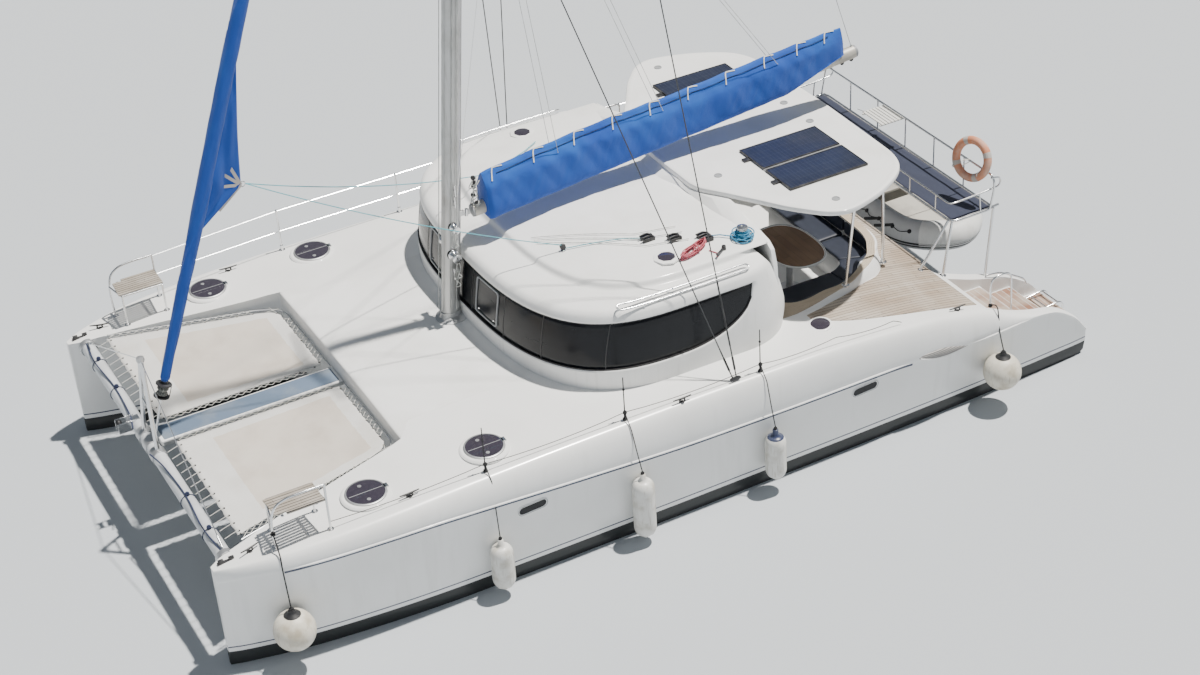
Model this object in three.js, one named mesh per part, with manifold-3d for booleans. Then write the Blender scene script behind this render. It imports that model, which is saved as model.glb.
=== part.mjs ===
// A cruising sailing catamaran: two slender hulls, a bridge deck between them, a coachroof with
// wraparound windows, a rigid cockpit roof, forward nets, one mast and a covered mainsail.
// Millimetres. +X is forward, +Y is port, +Z is up. The origin is on the waterline, amidships,
// on the centreline.
import * as THREE from 'three';
import { mergeVertices } from 'three/addons/utils/BufferGeometryUtils.js';
import Module from 'manifold-3d';

const wasm = await Module();
wasm.setup();

// Driving dimensions
const BOW_X = 5790;
const GAP = 0.4;
const DECK_INNER_Y = 1600;
const UNDERSIDE_Z = 700;
const NET_FRONT_X = 5455;
const NET_AFT_X = 3225;
const NET_CORNER_Y = 1849;
const NET_AFT_LEG_X = 3000;
const AFT_DECK_X = -4050;
const SALOON_FRONT_X = 1250;
const SALOON_AFT_X = -1500;
const SALOON_SOLE_Z = 850;
const COCKPIT_SOLE_Z = 950;
const COCKPIT_AFT_X = -3750;
const COCKPIT_CORNER_R = 600;
const ROOF_WALL = 45;
const HARDTOP_UNDER_Z = 2880;
const HARDTOP_TOP_Z = 2950;
const MAST_FOOT = new THREE.Vector3(1710, 0, 1600);
const MAST_RAKE = THREE.MathUtils.degToRad(6);
const MAST_TOP_Z = 16600;
const HOUNDS_Z = 15100;
const GOOSENECK = new THREE.Vector3(1360, 0, 3010);
const BOOM_RISE = 0.1;
const BOOM_RADIUS = 75;
const RUDDER_X = -4700;
const DRIVE_X = -3150;
const HULL_CENTRE_Y = 2440;

const COLOURS = {
  gelcoat: [0xf0f1f0, 0.35, 0],
  antifoul: [0x101215, 0.8, 0],
  glass: [0x14181c, 0.1, 0],
  stainless: [0xb9bdc0, 0.3, 0.9],
  spar: [0xaeb0b0, 0.45, 0.6],
  bluecloth: [0x0b4fa8, 0.8, 0],
  net: [0xe0dbd0, 0.9, 0],
  panel: [0x10182c, 0.2, 0.2],
  teak: [0xa78868, 0.8, 0],
  cushion: [0xd8d4ca, 0.9, 0],
  rubber: [0xc9cac6, 0.7, 0],
  bronze: [0x9a8350, 0.4, 0.9],
  orange: [0xd98b6a, 0.7, 0],
  black: [0x1b1c1e, 0.7, 0],
};

function material(name) {
  const [color, roughness, metalness] = COLOURS[name];
  return new THREE.MeshStandardMaterial({ color, roughness, metalness });
}

// Closed solids and the joins and cuts between them

function solidOf(geometry) {
  const bare = geometry.index ? geometry.toNonIndexed() : geometry.clone();
  for (const name of Object.keys(bare.attributes)) {
    if (name !== 'position') bare.deleteAttribute(name);
  }
  const merged = mergeVertices(bare, 1e-3);
  const mesh = new wasm.Mesh({
    numProp: 3,
    vertProperties: new Float32Array(merged.attributes.position.array),
    triVerts: new Uint32Array(merged.index.array),
  });
  return new wasm.Manifold(mesh);
}

function geometryOf(solid) {
  const mesh = solid.getMesh();
  const geometry = new THREE.BufferGeometry();
  geometry.setAttribute('position', new THREE.BufferAttribute(mesh.vertProperties, 3));
  geometry.setIndex(new THREE.BufferAttribute(mesh.triVerts, 1));
  return geometry;
}

function join(solids) {
  return solids.reduce((whole, solid) => whole.add(solid));
}

// A skin over rings of equal length, closed by a flat cap at each end
function loft(rings) {
  const count = rings[0].length;
  const positions = rings.flat(2);
  const faces = [];
  for (let r = 0; r < rings.length - 1; r++) {
    for (let i = 0; i < count; i++) {
      const a = r * count + i;
      const b = r * count + ((i + 1) % count);
      faces.push([a, b, b + count], [a, b + count, a + count]);
    }
  }
  const last = (rings.length - 1) * count;
  for (const start of [0, last]) {
    const ring = rings[start / count];
    const spans = [0, 1, 2].map((k) => {
      const values = ring.map((p) => p[k]);
      return Math.max(...values) - Math.min(...values);
    });
    const drop = spans.indexOf(Math.min(...spans));
    const [u, v] = [0, 1, 2].filter((k) => k !== drop);
    const flat = ring.map((p) => new THREE.Vector2(p[u], p[v]));
    const turn = THREE.ShapeUtils.isClockWise(flat);
    const order = ring.map((_, i) => (turn ? count - 1 - i : i));
    const cap = THREE.ShapeUtils.triangulateShape(order.map((i) => flat[i]), []);
    for (const face of cap) faces.push(face.map((i) => start + order[i]));
  }
  return solidOf(oriented(positions, faces, count, last));
}

// Sets each cap's winding to match the skin, and the whole skin's to point outwards
function oriented(positions, faces, count, last) {
  const edges = new Map();
  const side = faces.filter((f) => !isCap(f, count, last));
  for (const [a, b, c] of side) {
    for (const [p, q] of [[a, b], [b, c], [c, a]]) edges.set(`${p},${q}`, true);
  }
  for (const start of [0, last]) {
    const cap = faces.filter((f) => isCap(f, count, last) && f.every((i) => i >= start && i < start + count));
    const wrong = edges.has(`${start},${start + 1}`)
      === cap.some((f) => hasEdge(f, start, start + 1));
    if (wrong) cap.forEach((f) => f.reverse());
  }
  const at = (i) => new THREE.Vector3(positions[3 * i], positions[3 * i + 1], positions[3 * i + 2]);
  const volume = faces.reduce((sum, [a, b, c]) => sum + at(a).dot(at(b).cross(at(c))), 0);
  if (volume < 0) faces.forEach((f) => f.reverse());
  const geometry = new THREE.BufferGeometry();
  geometry.setAttribute('position', new THREE.BufferAttribute(new Float32Array(positions), 3));
  geometry.setIndex(faces.flat());
  return geometry;
}

function isCap(face, count, last) {
  return face.every((i) => i < count) || face.every((i) => i >= last);
}

function hasEdge([a, b, c], p, q) {
  return (a === p && b === q) || (b === p && c === q) || (c === p && a === q);
}

function box(x0, x1, y0, y1, z0, z1) {
  const geometry = new THREE.BoxGeometry(x1 - x0, y1 - y0, z1 - z0);
  geometry.translate((x0 + x1) / 2, (y0 + y1) / 2, (z0 + z1) / 2);
  return solidOf(geometry);
}

// A round bar between two points
function rod(from, to, radius, sides = 8, endRadius = radius) {
  const a = new THREE.Vector3(...from);
  const b = new THREE.Vector3(...to);
  const along = b.clone().sub(a);
  const geometry = new THREE.CylinderGeometry(endRadius, radius, along.length(), sides);
  geometry.translate(0, along.length() / 2, 0);
  const turn = new THREE.Quaternion().setFromUnitVectors(new THREE.Vector3(0, 1, 0), along.normalize());
  geometry.applyQuaternion(turn);
  geometry.translate(a.x, a.y, a.z);
  return solidOf(geometry);
}

// A bent tube through a few points
function tube(points, radius, steps = 16, sides = 8) {
  const curve = new THREE.CatmullRomCurve3(points.map((p) => new THREE.Vector3(...p)), false, 'centripetal');
  const section = new THREE.Shape();
  section.absarc(0, 0, radius, 0, Math.PI * 2);
  const outline = section.getPoints(sides / 4);
  const shape = new THREE.Shape(outline.slice(0, -1));
  return solidOf(new THREE.ExtrudeGeometry(shape, { steps, extrudePath: curve, bevelEnabled: false }));
}

// A plate with a plan outline in X and Y, between two heights
function plate(outline, z0, z1, holes = []) {
  const shape = new THREE.Shape(outline.map(([x, y]) => new THREE.Vector2(x, y)));
  for (const hole of holes) shape.holes.push(new THREE.Path(hole.map(([x, y]) => new THREE.Vector2(x, y))));
  const geometry = new THREE.ExtrudeGeometry(shape, { depth: z1 - z0, bevelEnabled: false });
  geometry.translate(0, 0, z0);
  return solidOf(geometry);
}

// A plate standing across the boat: outline in Y and Z, between two places along X
function crossPlate(outline, x0, x1, holes = []) {
  const shape = new THREE.Shape(outline.map(([y, z]) => new THREE.Vector2(y, z)));
  for (const hole of holes) shape.holes.push(new THREE.Path(hole.map(([y, z]) => new THREE.Vector2(y, z))));
  const geometry = new THREE.ExtrudeGeometry(shape, { depth: x1 - x0, bevelEnabled: false });
  geometry.applyMatrix4(new THREE.Matrix4().set(0, 0, 1, x0, 1, 0, 0, 0, 0, 1, 0, 0, 0, 0, 0, 1));
  return solidOf(geometry);
}

// A plate standing along the boat: outline in X and Z, between two places along Y
function sidePlate(outline, y0, y1) {
  const shape = new THREE.Shape(outline.map(([x, z]) => new THREE.Vector2(x, z)));
  const geometry = new THREE.ExtrudeGeometry(shape, { depth: y1 - y0, bevelEnabled: false });
  geometry.applyMatrix4(new THREE.Matrix4().set(1, 0, 0, 0, 0, 0, -1, y1, 0, 1, 0, 0, 0, 0, 0, 1));
  return solidOf(geometry);
}

function arc(cx, cy, rx, ry, from, to, steps) {
  return Array.from({ length: steps + 1 }, (_, i) => {
    const angle = THREE.MathUtils.degToRad(from + ((to - from) * i) / steps);
    return [cx + rx * Math.cos(angle), cy + ry * Math.sin(angle)];
  });
}

// Cuts a piece back so that it keeps the gap to a pair of pieces on either side of it
function between(piece, port, starboard) {
  return piece.subtract(port.translate([0, -GAP, 0])).subtract(starboard.translate([0, GAP, 0]));
}

function mirrored(solid) {
  return solid.mirror([0, 1, 0]);
}

// Trims a piece to the surfaces under it and lifts it clear of them
function seated(piece, ...supports) {
  return supports.reduce((rest, support) => rest.subtract(support), piece).translate([0, 0, GAP]);
}

// Hulls
// x, keel z, inner and outer waterline y, knuckle y and z, deck edge y and z, inner deck edge y and z,
// inner side y at the height of the bridge deck's underside
const HULL_STATIONS = [
  [BOW_X, -120, 2568, 2612, 2640, 1180, 2622, 1335, 2548, 1335, 2562],
  [5650, -260, 2520, 2655, 2730, 1215, 2690, 1360, 2475, 1358, 2500],
  [5400, -370, 2450, 2715, 2830, 1235, 2765, 1388, 2405, 1388, 2430],
  [5000, -460, 2340, 2800, 2950, 1245, 2840, 1425, 2290, 1430, 2320],
  [4300, -560, 2170, 2890, 3040, 1250, 2875, 1470, 2110, 1480, 2150],
  [3600, -620, 2040, 2950, 3075, 1240, 2885, 1500, 1940, 1530, 1990],
  [NET_AFT_X, -640, 1970, 2970, 3080, 1225, 2885, 1512, NET_CORNER_Y, 1565, NET_CORNER_Y],
  [NET_AFT_LEG_X, -650, 1940, 2978, 3083, 1212, 2885, 1518, DECK_INNER_Y, 1595, DECK_INNER_Y],
  [1500, -690, 1830, 3000, 3085, 1110, 2885, 1535, DECK_INNER_Y, 1625, DECK_INNER_Y],
  [0, -690, 1805, 3010, 3085, 1030, 2900, 1540, DECK_INNER_Y, 1630, DECK_INNER_Y],
  [SALOON_AFT_X, -630, 1810, 3010, 3085, 1005, 2935, 1530, DECK_INNER_Y, 1590, DECK_INNER_Y],
  [-2600, -520, 1840, 3005, 3083, 1000, 2935, 1470, DECK_INNER_Y, 1490, DECK_INNER_Y],
  [-3300, -430, 1880, 2995, 3080, 960, 2915, 1400, DECK_INNER_Y, 1400, DECK_INNER_Y],
  [AFT_DECK_X, -320, 1930, 2980, 3068, 925, 2895, 1262, DECK_INNER_Y, 1262, DECK_INNER_Y],
  [-4110, -310, 1935, 2978, 3066, 925, 2895, 1245, 1900, 1245, 1915],
  [-4560, -230, 1985, 2965, 3050, 935, 2915, 1050, 1930, 1080, 1950],
  [-4880, -170, 2015, 2955, 3035, 930, 2940, 945, 1950, 985, 1965],
  [-5140, -120, 2040, 2945, 3015, 880, 2950, 890, 1975, 900, 1985],
  [-5500, -50, 2080, 2930, 2985, 660, 2945, 680, 2030, 690, 2040],
  [-5750, 40, 2120, 2910, 2950, 380, 2925, 395, 2080, 400, 2090],
];
const SHOULDER_STEPS = 4;
const BOTTOM_STEPS = 8;
const RAIL_Z = 450;

function hullRing([x, keelZ, wlIn, wlOut, knuckleY, knuckleZ, edgeY, edgeZ, innerY, innerZ, underY]) {
  const ring = [[x, innerY, innerZ], [x, edgeY, edgeZ]];
  for (const [y, z] of arc(edgeY, knuckleZ, knuckleY - edgeY, edgeZ - knuckleZ, 90, 0, SHOULDER_STEPS).slice(1)) {
    ring.push([x, y, z]);
  }
  const centre = (wlOut + wlIn) / 2;
  const bottomZ = Math.min(keelZ, 0);
  const base = Math.max(keelZ, 0);
  for (const [y, z] of arc(centre, base, (wlOut - wlIn) / 2, -bottomZ + 1, 0, -180, BOTTOM_STEPS)) {
    ring.push([x, y, z]);
  }
  const low = Math.min(RAIL_Z, innerZ * 0.5);
  const high = Math.min(UNDERSIDE_Z, innerZ * 0.8);
  ring.push([x, wlIn + (underY - wlIn) * 0.35, low], [x, underY, high]);
  return ring;
}

// Height of the hull's deck at a place along and across the boat
function deckAt(x, y) {
  const i = HULL_STATIONS.findIndex((row) => row[0] < x) - 1;
  const [fore, aft] = [HULL_STATIONS[i], HULL_STATIONS[i + 1]];
  const part = (x - fore[0]) / (aft[0] - fore[0]);
  const [edgeY, edgeZ, innerY, innerZ] = [6, 7, 8, 9].map((k) => fore[k] + (aft[k] - fore[k]) * part);
  return innerZ + ((edgeZ - innerZ) * (y - innerY)) / (edgeY - innerY);
}

// Height of the deck where the hull meets the bridge deck
function deckTop(x) {
  return deckAt(x, x > NET_AFT_LEG_X ? NET_CORNER_Y : DECK_INNER_Y);
}

// Round deck hatches: x, y, radius
const HATCHES = { fore: [3940, 2500, 235], mid: [2500, 2520, 235] };
const HATCH_FRAME_H = 28;
const LID_THICK = 14;

function hatchFrame([x, y, radius]) {
  const z = deckAt(x, y);
  return plate(arc(x, y, radius + 28, radius + 28, 0, 345, 23), z - 60, z + HATCH_FRAME_H);
}

// Steps cut into the stern: forward x, aft x, tread z
const STERN_STEPS = [
  [-4180, -4700, 930],
  [-4700, -5180, 760],
  [-5180, -5660, 520],
];
const STEP_INNER_Y = 2075;
const STEP_OUTER_Y = 2880;
const RUDDER_STOCK_R = 28;
const RUDDER_BORE_R = 34;

// Recess in each side deck that widens the cockpit's seat: x and y of its outer wall
const RECESS_WALL = [
  [-1850, 1860], [-1960, 1960], [-2100, 1990], [-2400, 1960], [-2700, 1935], [-2900, 1870], [-3080, 1760],
  [-3150, 1700],
];
const RECESS_FLOOR_Z = 1290;
// Outer edge of the coaming round the recess: x and y
const COAMING_EDGE = [[-3150, 1755], [-2900, 1905], [-2720, 1960], [-2440, 2030], [-2170, 2095], [-1850, 2150]];
const COAMING_TOP_Z = 1555;

function hull() {
  let solid = loft(HULL_STATIONS.map(hullRing));
  for (const [front, aft, tread] of STERN_STEPS) {
    solid = solid.subtract(box(aft, front, STEP_INNER_Y, STEP_OUTER_Y, tread, 2000));
  }
  const bore = rod([RUDDER_X, HULL_CENTRE_Y, -600], [RUDDER_X, HULL_CENTRE_Y, 60], RUDDER_BORE_R, 16);
  const [recessFront] = RECESS_WALL[0];
  const [recessAft] = RECESS_WALL.at(-1);
  const recess = plate([[recessFront, 1500], ...RECESS_WALL, [recessAft, 1500]], RECESS_FLOOR_Z, 1700);
  const coaming = plate([...RECESS_WALL, ...COAMING_EDGE], 1300, COAMING_TOP_Z);
  solid = solid.subtract(bore).subtract(recess).add(coaming);
  return join([solid, keel(), ...Object.values(HATCHES).map(hatchFrame)]);
}

// Bridge deck between the hulls, in three mouldings
function foredeck() {
  const y0 = DECK_INNER_Y - GAP;
  const y1 = NET_CORNER_Y - 2 * GAP;
  const crown = 62;
  const stations = [
    [SALOON_FRONT_X, y0], [1500, y0], [NET_AFT_LEG_X - GAP, y0], [NET_AFT_X, y1],
  ];
  const rings = stations.map(([x, y]) => {
    const edge = deckTop(x) - 1;
    return [
      [x, -y, UNDERSIDE_Z], [x, y, UNDERSIDE_Z], [x, y, edge],
      [x, y / 2, edge + crown * 0.75], [x, 0, edge + crown], [x, -y / 2, edge + crown * 0.75], [x, -y, edge],
    ];
  });
  return loft(rings);
}

function cockpitOutline(inset) {
  const y = DECK_INNER_Y - inset;
  const x = COCKPIT_AFT_X + inset;
  const r = COCKPIT_CORNER_R - inset;
  const cx = COCKPIT_AFT_X + COCKPIT_CORNER_R;
  const cy = DECK_INNER_Y - COCKPIT_CORNER_R;
  return [...arc(cx, cy, r, r, 90, 180, 6), ...arc(cx, -cy, r, r, 180, 270, 6)].map(([px, py]) => [
    Math.max(px, x), Math.min(Math.max(py, -y), y),
  ]);
}

function aftCrossdeck() {
  const y = DECK_INNER_Y - GAP;
  const front = COCKPIT_AFT_X + COCKPIT_CORNER_R;
  const inner = cockpitOutline(0).map(([px, py]) => [px, Math.min(Math.max(py, -y), y)]);
  const outline = [[AFT_DECK_X + GAP, -y], [AFT_DECK_X + GAP, y], ...inner];
  const top = deckTop(AFT_DECK_X + 1);
  const blank = plate(outline, UNDERSIDE_Z, 1600);
  const slope = sidePlate([
    [AFT_DECK_X - 100, top - 1], [front + 100, deckTop(front) + 15], [front + 100, 1700], [AFT_DECK_X - 100, 1700],
  ], -2000, 2000);
  return blank.subtract(slope);
}

function bridgedeck() {
  const y = DECK_INNER_Y - GAP;
  const saloon = box(SALOON_AFT_X, SALOON_FRONT_X - GAP, -y, y, UNDERSIDE_Z, SALOON_SOLE_Z);
  const corner = cockpitOutline(GAP);
  const cockpit = plate([[SALOON_AFT_X, -y], ...corner.slice().reverse(), [SALOON_AFT_X, y]], UNDERSIDE_Z, COCKPIT_SOLE_Z);
  return saloon.add(cockpit);
}

// Coachroof: level z, front x, half width, x where the side straightens, roundness
const ROOF_LEVELS = [
  [1450, 1560, 2500, -200, 3.0],
  [1850, 1565, 2505, -180, 2.9],
  [2450, 1480, 2440, -300, 3.1],
  [2560, 1400, 2385, -350, 3.1],
  [2630, 1240, 2290, -450, 3.1],
  [2665, 985, 2160, -600, 3.1],
  [2715, 905, 2100, -650, 3.1],
  [2790, 350, 1500, -800, 3.0],
  [2825, -150, 800, -900, 3.0],
];
const ROOF_ARC_STEPS = 9;
const WINDOW_LOW_Z = 1850;
const WINDOW_HIGH_Z = 2440;
const WINDOW_TIP_X = -1120;

function roofSolid(inset, aftX) {
  return loft(ROOF_LEVELS.map(([z, front, half, straight, n], level) => {
    const w = half - inset;
    const xf = front - inset;
    const half1 = Array.from({ length: ROOF_ARC_STEPS + 1 }, (_, i) => {
      const t = (Math.PI / 2) * (1 - i / ROOF_ARC_STEPS);
      return [straight + (xf - straight) * Math.cos(t) ** (2 / n), w * Math.sin(t) ** (2 / n)];
    });
    const side = [[aftX, w], ...half1];
    const other = side.slice(0, -1).reverse().map(([x, y]) => [x, -y]);
    const height = level === 0 ? z - inset : z - (level > 1 ? inset : 0);
    return [...side, ...other].map(([x, y]) => [x, y, height]);
  }));
}

const WINDOW_POST_Y = [-1640, -420, 420, 1640];
const WINDOW_POST_HALF = 28;
const GLASS_DEPTH = 26;
const GLASS_THICK = 10;

// The band of windows round the front and sides, swept up at its aft ends; inset shrinks it all round
function windowBand(inset) {
  const low = WINDOW_LOW_Z + inset;
  const high = WINDOW_HIGH_Z - inset;
  const sweep = arc(-160, high, -(WINDOW_TIP_X + 160) - inset, high - low, 270, 180, 6);
  return sidePlate([[1900, low], [1900, high], ...sweep.reverse()], -2700, 2700);
}

// Sloped step from the coachroof up to the cockpit roof: outlines of its port half, x and y
const RISER_FOOT = [[-830, 0], [-920, 400], [-1190, 1090], [-1260, 1780], [-1340, 1980]];
const RISER_HEAD = [[-1225, 0], [-1230, 400], [-1240, 880], [-1330, 1150], [-1440, 1400]];

function roofRiser() {
  return loft([[RISER_FOOT, 2700], [RISER_HEAD, HARDTOP_UNDER_Z]].map(([half, z]) => {
    const port = [[SALOON_AFT_X, half.at(-1)[1]], ...half.slice().reverse()];
    return [...port, ...port.slice(0, -1).reverse().map(([x, y]) => [x, -y])].map(([x, y]) => [x, y, z]);
  }));
}

// Side walls of the coachroof where they turn in behind the saloon, sloped off at their aft edge
const WING_PLAN = [
  [SALOON_AFT_X + 10, 2470], [SALOON_AFT_X - 90, 2405], [-1660, 2270], [-1720, 2120], [-1755, 1900],
  [-1695, 1880], [-1655, 2060], [-1600, 2200], [SALOON_AFT_X - 60, 2330], [SALOON_AFT_X + 10, 2400],
];
const WING_SIDE = [[-1400, 1400], [-1400, 2520], [-1560, 2450], [-1700, 2100], [-1760, 1750], [-1760, 1400]];

function coachWing() {
  return plate(WING_PLAN, 1450, 2520).intersect(sidePlate(WING_SIDE, 1700, 2600));
}

function coachroof(supports) {
  const cavity = roofSolid(ROOF_WALL, SALOON_AFT_X - 200);
  const wing = coachWing();
  const blank = roofSolid(0, SALOON_AFT_X).add(roofRiser());
  const shell = join([blank.subtract(cavity).subtract(windowBand(0)), wing, mirrored(wing)]);
  const skin = roofSolid(0, SALOON_AFT_X).subtract(roofSolid(GLASS_DEPTH - 3, SALOON_AFT_X - 200));
  const posts = WINDOW_POST_Y.map((y) => skin.intersect(
    box(900, 1900, y - WINDOW_POST_HALF, y + WINDOW_POST_HALF, WINDOW_LOW_Z - 5, WINDOW_HIGH_Z + 5),
  ));
  return seated(join([shell, ...posts]), ...supports);
}

function saloonWindows() {
  const outer = roofSolid(GLASS_DEPTH, SALOON_AFT_X);
  const inner = roofSolid(GLASS_DEPTH + GLASS_THICK, SALOON_AFT_X - 200);
  return outer.subtract(inner).intersect(windowBand(2)).translate([0, 0, GAP]);
}

const DOOR_HALF = 440;
const DOOR_TOP_Z = 2420;
const BULKHEAD_WALL = 50;

function aftBulkhead(supports) {
  const x1 = SALOON_AFT_X - GAP;
  const half = ROOF_LEVELS.map(([z, , w]) => [z > 2500 ? w - 6 : Math.min(w, 2345), z - 2]).slice(1);
  const low = DECK_INNER_Y - 2;
  const deck = 1500;
  const outline = [
    [-low, COCKPIT_SOLE_Z], [low, COCKPIT_SOLE_Z], [low, deck], [half[0][0], deck], ...half,
    ...half.slice().reverse().map(([y, z]) => [-y, z]), [-half[0][0], deck], [-low, deck],
  ];
  const door = [
    [-DOOR_HALF, COCKPIT_SOLE_Z + 60], [DOOR_HALF, COCKPIT_SOLE_Z + 60], [DOOR_HALF, DOOR_TOP_Z], [-DOOR_HALF, DOOR_TOP_Z],
  ];
  const windows = [-1, 1].map((side) => [[620, 1750], [1350, 1750], [1500, 2000], [1350, 2330], [620, 2330]]
    .map(([y, z]) => [side * y, z]));
  const slab = crossPlate(outline, x1 - BULKHEAD_WALL, x1, [door, ...windows]);
  const rail = box(DOOR_RAIL_X - 45, x1 - BULKHEAD_WALL + 5, -1450, 520, 2447, 2490);
  const wing = coachWing();
  const spaces = [wing, mirrored(wing)].flatMap((piece) => [
    piece.translate([-GAP, 0, 0]), piece.translate([0, GAP, 0]), piece.translate([0, -GAP, 0]),
  ]);
  return seated(slab.add(rail).subtract(join(spaces)), ...supports);
}

const DOOR_RAIL_X = SALOON_AFT_X - BULKHEAD_WALL - 10;

function saloonDoor() {
  const half = DOOR_HALF + 30;
  const outline = [[-half, 1030], [half, 1030], [half, 2440], [-half, 2440]];
  return crossPlate(outline, DOOR_RAIL_X - 30, DOOR_RAIL_X);
}

// Cockpit roof: plan outline of the port half, from the middle of the front edge to the aft edge
const HARDTOP_HALF = [
  [-1230, 0], [-1240, 900], [-1700, 1610], [-2060, 2120], [-2230, 2320], [-2430, 2390],
  [-2650, 2375], [-3070, 2230], [-3450, 1990], [-3620, 1760], [-3690, 1500], [-3730, 0],
];

// Posts of the cockpit roof, the first pair on the coaming: x, y and z of the foot, x and y of the head
const ROOF_POSTS = [[-2745, 1938, COAMING_TOP_Z - 2, -2740, 2130], [-3560, 1560, 1200, -3500, 1600]];

function hardtop(supports) {
  const other = HARDTOP_HALF.slice(1, -1).reverse().map(([x, y]) => [x, -y]);
  const slab = plate([...HARDTOP_HALF, ...other], HARDTOP_UNDER_Z, HARDTOP_TOP_Z);
  const posts = [1, -1].flatMap((side) => ROOF_POSTS.map(([x, y, z, headX, headY]) => rod(
    [x, side * y, z], [headX, side * headY, HARDTOP_UNDER_Z + 5], 20, 10,
  )));
  return seated(join([slab, ...posts]), ...supports);
}

// Solar panels on the cockpit roof: two modules on each side
function solarPanel(side) {
  const z0 = HARDTOP_TOP_Z + GAP;
  const modules = [[485, 1040], [1085, 1650]].map(([y0, y1]) => {
    const [a, b] = side > 0 ? [y0, y1] : [-y1, -y0];
    return box(-3250, -2140, a, b, z0, z0 + 30);
  });
  const bar = side > 0 ? box(-3250, -2140, 1039, 1086, z0, z0 + 12) : box(-3250, -2140, -1086, -1039, z0, z0 + 12);
  return join([...modules, bar]);
}

// Low keels, rudders, drive legs and propellers
// Keel: z, half length, half width of its plan at that height
const KEEL_LEVELS = [[-1080, 950, 55], [-300, 1150, 75]];

function keel() {
  return loft(KEEL_LEVELS.map(([z, halfLength, halfWidth]) => arc(
    -100, HULL_CENTRE_Y, halfLength, halfWidth, 0, 345, 23,
  ).map(([x, y]) => [x, y, z])));
}

function rudder() {
  const blade = [[-980, 150, 230, 18], [-262, 190, 270, 27]].map(([z, front, aft, half]) => [
    [RUDDER_X + front, 0], [RUDDER_X + front - 60, half], [RUDDER_X - 20, half], [RUDDER_X - aft, 2],
    [RUDDER_X - aft, -2], [RUDDER_X - 20, -half], [RUDDER_X + front - 60, -half],
  ].map(([x, y]) => [x, HULL_CENTRE_Y + y, z]));
  const stock = rod([RUDDER_X, HULL_CENTRE_Y, -700], [RUDDER_X, HULL_CENTRE_Y, 40], RUDDER_STOCK_R, 12);
  return loft(blade).add(stock);
}

function saildrive(hullSolid) {
  const leg = [[-800, 110, 30], [-350, 160, 45]].map(([z, halfLength, halfWidth]) => arc(
    DRIVE_X, HULL_CENTRE_Y, halfLength, halfWidth, 0, 330, 11,
  ).map(([x, y]) => [x, y, z]));
  const pod = rod([DRIVE_X + 170, HULL_CENTRE_Y, -800], [DRIVE_X - 170, HULL_CENTRE_Y, -800], 62, 12, 50);
  const nose = rod([DRIVE_X + 169, HULL_CENTRE_Y, -800], [DRIVE_X + 250, HULL_CENTRE_Y, -800], 62, 12, 20);
  return join([loft(leg), pod, nose]).subtract(hullSolid).translate([0, 0, -GAP]);
}

const PROPELLER_X = DRIVE_X - 176;
const PROPELLER_Z = -800 - GAP;

function propeller() {
  const hub = rod([PROPELLER_X, HULL_CENTRE_Y, PROPELLER_Z], [PROPELLER_X - 90, HULL_CENTRE_Y, PROPELLER_Z], 46, 12, 30);
  const blades = [0, 120, 240].map((angle) => {
    const outline = arc(0, 118, 62, 100, 0, 330, 11).map(([x, y]) => new THREE.Vector2(x, y));
    const geometry = new THREE.ExtrudeGeometry(new THREE.Shape(outline), { depth: 9, bevelEnabled: false });
    geometry.rotateY(Math.PI / 2 + 0.5);
    geometry.rotateX(THREE.MathUtils.degToRad(angle));
    geometry.translate(PROPELLER_X - 42, HULL_CENTRE_Y, PROPELLER_Z);
    return solidOf(geometry);
  });
  return join([hub, ...blades]);
}

// Forward beam, walkway, striker and nets
const BEAM_X = 5580;
const BEAM_Z = 1280;
const WALKWAY_HALF = 175;

const BEAM_R = 85;

function crossbeam(port, starboard) {
  const bar = rod([BEAM_X, -2480, BEAM_Z], [BEAM_X, 2480, BEAM_Z], BEAM_R, 16);
  const roller = box(BEAM_X, BEAM_X + 250, -620, -420, BEAM_Z - 20, BEAM_Z + 110);
  return between(bar.add(roller), port, starboard);
}

function walkway(beam) {
  return seated(box(NET_AFT_X + 2 * GAP, BEAM_X + 70, -WALKWAY_HALF, WALKWAY_HALF, 1330, 1405), beam);
}

function striker(beam) {
  const apex = [5510, 0, 2480];
  const feet = [[BEAM_X, -235, 1300], [BEAM_X, 235, 1300]];
  return seated(join(feet.map((foot) => rod(foot, apex, 28, 10, 24))), beam);
}

function trampoline(side) {
  const z = 1405;
  const outline = [
    [NET_FRONT_X - 60, 265], [NET_FRONT_X - 60, 2388 - 100], [NET_AFT_X + 330, NET_CORNER_Y - 60],
    [NET_AFT_X + 130, NET_CORNER_Y - 130], [NET_AFT_X + 90, NET_CORNER_Y - 280], [NET_AFT_X + 90, 265],
  ];
  return plate(outline.map(([x, y]) => [x, side * y]), z, z + 15);
}

// Bow rails with seats
const RAIL_R = 14;

function pulpit(hullSolid) {
  const hoop = tube([[5100, 2720, 1300], [5110, 2745, 1800], [5000, 2790, 2040], [4750, 2800, 2060], [4490, 2800, 2060]], RAIL_R, 18);
  const post = rod([4490, 2800, 1350], [4490, 2800, 2065], RAIL_R);
  const innerPost = rod([5040, 2420, 1300], [5040, 2420, 1842], RAIL_R);
  const innerAft = rod([4520, 2420, 1300], [4520, 2420, 1842], RAIL_R);
  const seat = box(4490, 5110, 2400, 2815, 1835, 1862);
  return seated(join([hoop, post, innerPost, innerAft, seat]), hullSolid);
}

// Guard-rail posts: x, y; the port ones are thin dark bars, the starboard ones full steel posts
const POSTS_PORT = [[2660, 2870], [900, 2880], [-890, 2905]];
const POSTS_STARBOARD = [[2780, -2870], [1100, -2880], [-900, -2905], [-2300, -2925], [-3500, -2895]];
const POST_HEIGHT = 590;
const GUARD_WIRE_R = 4;

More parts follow.
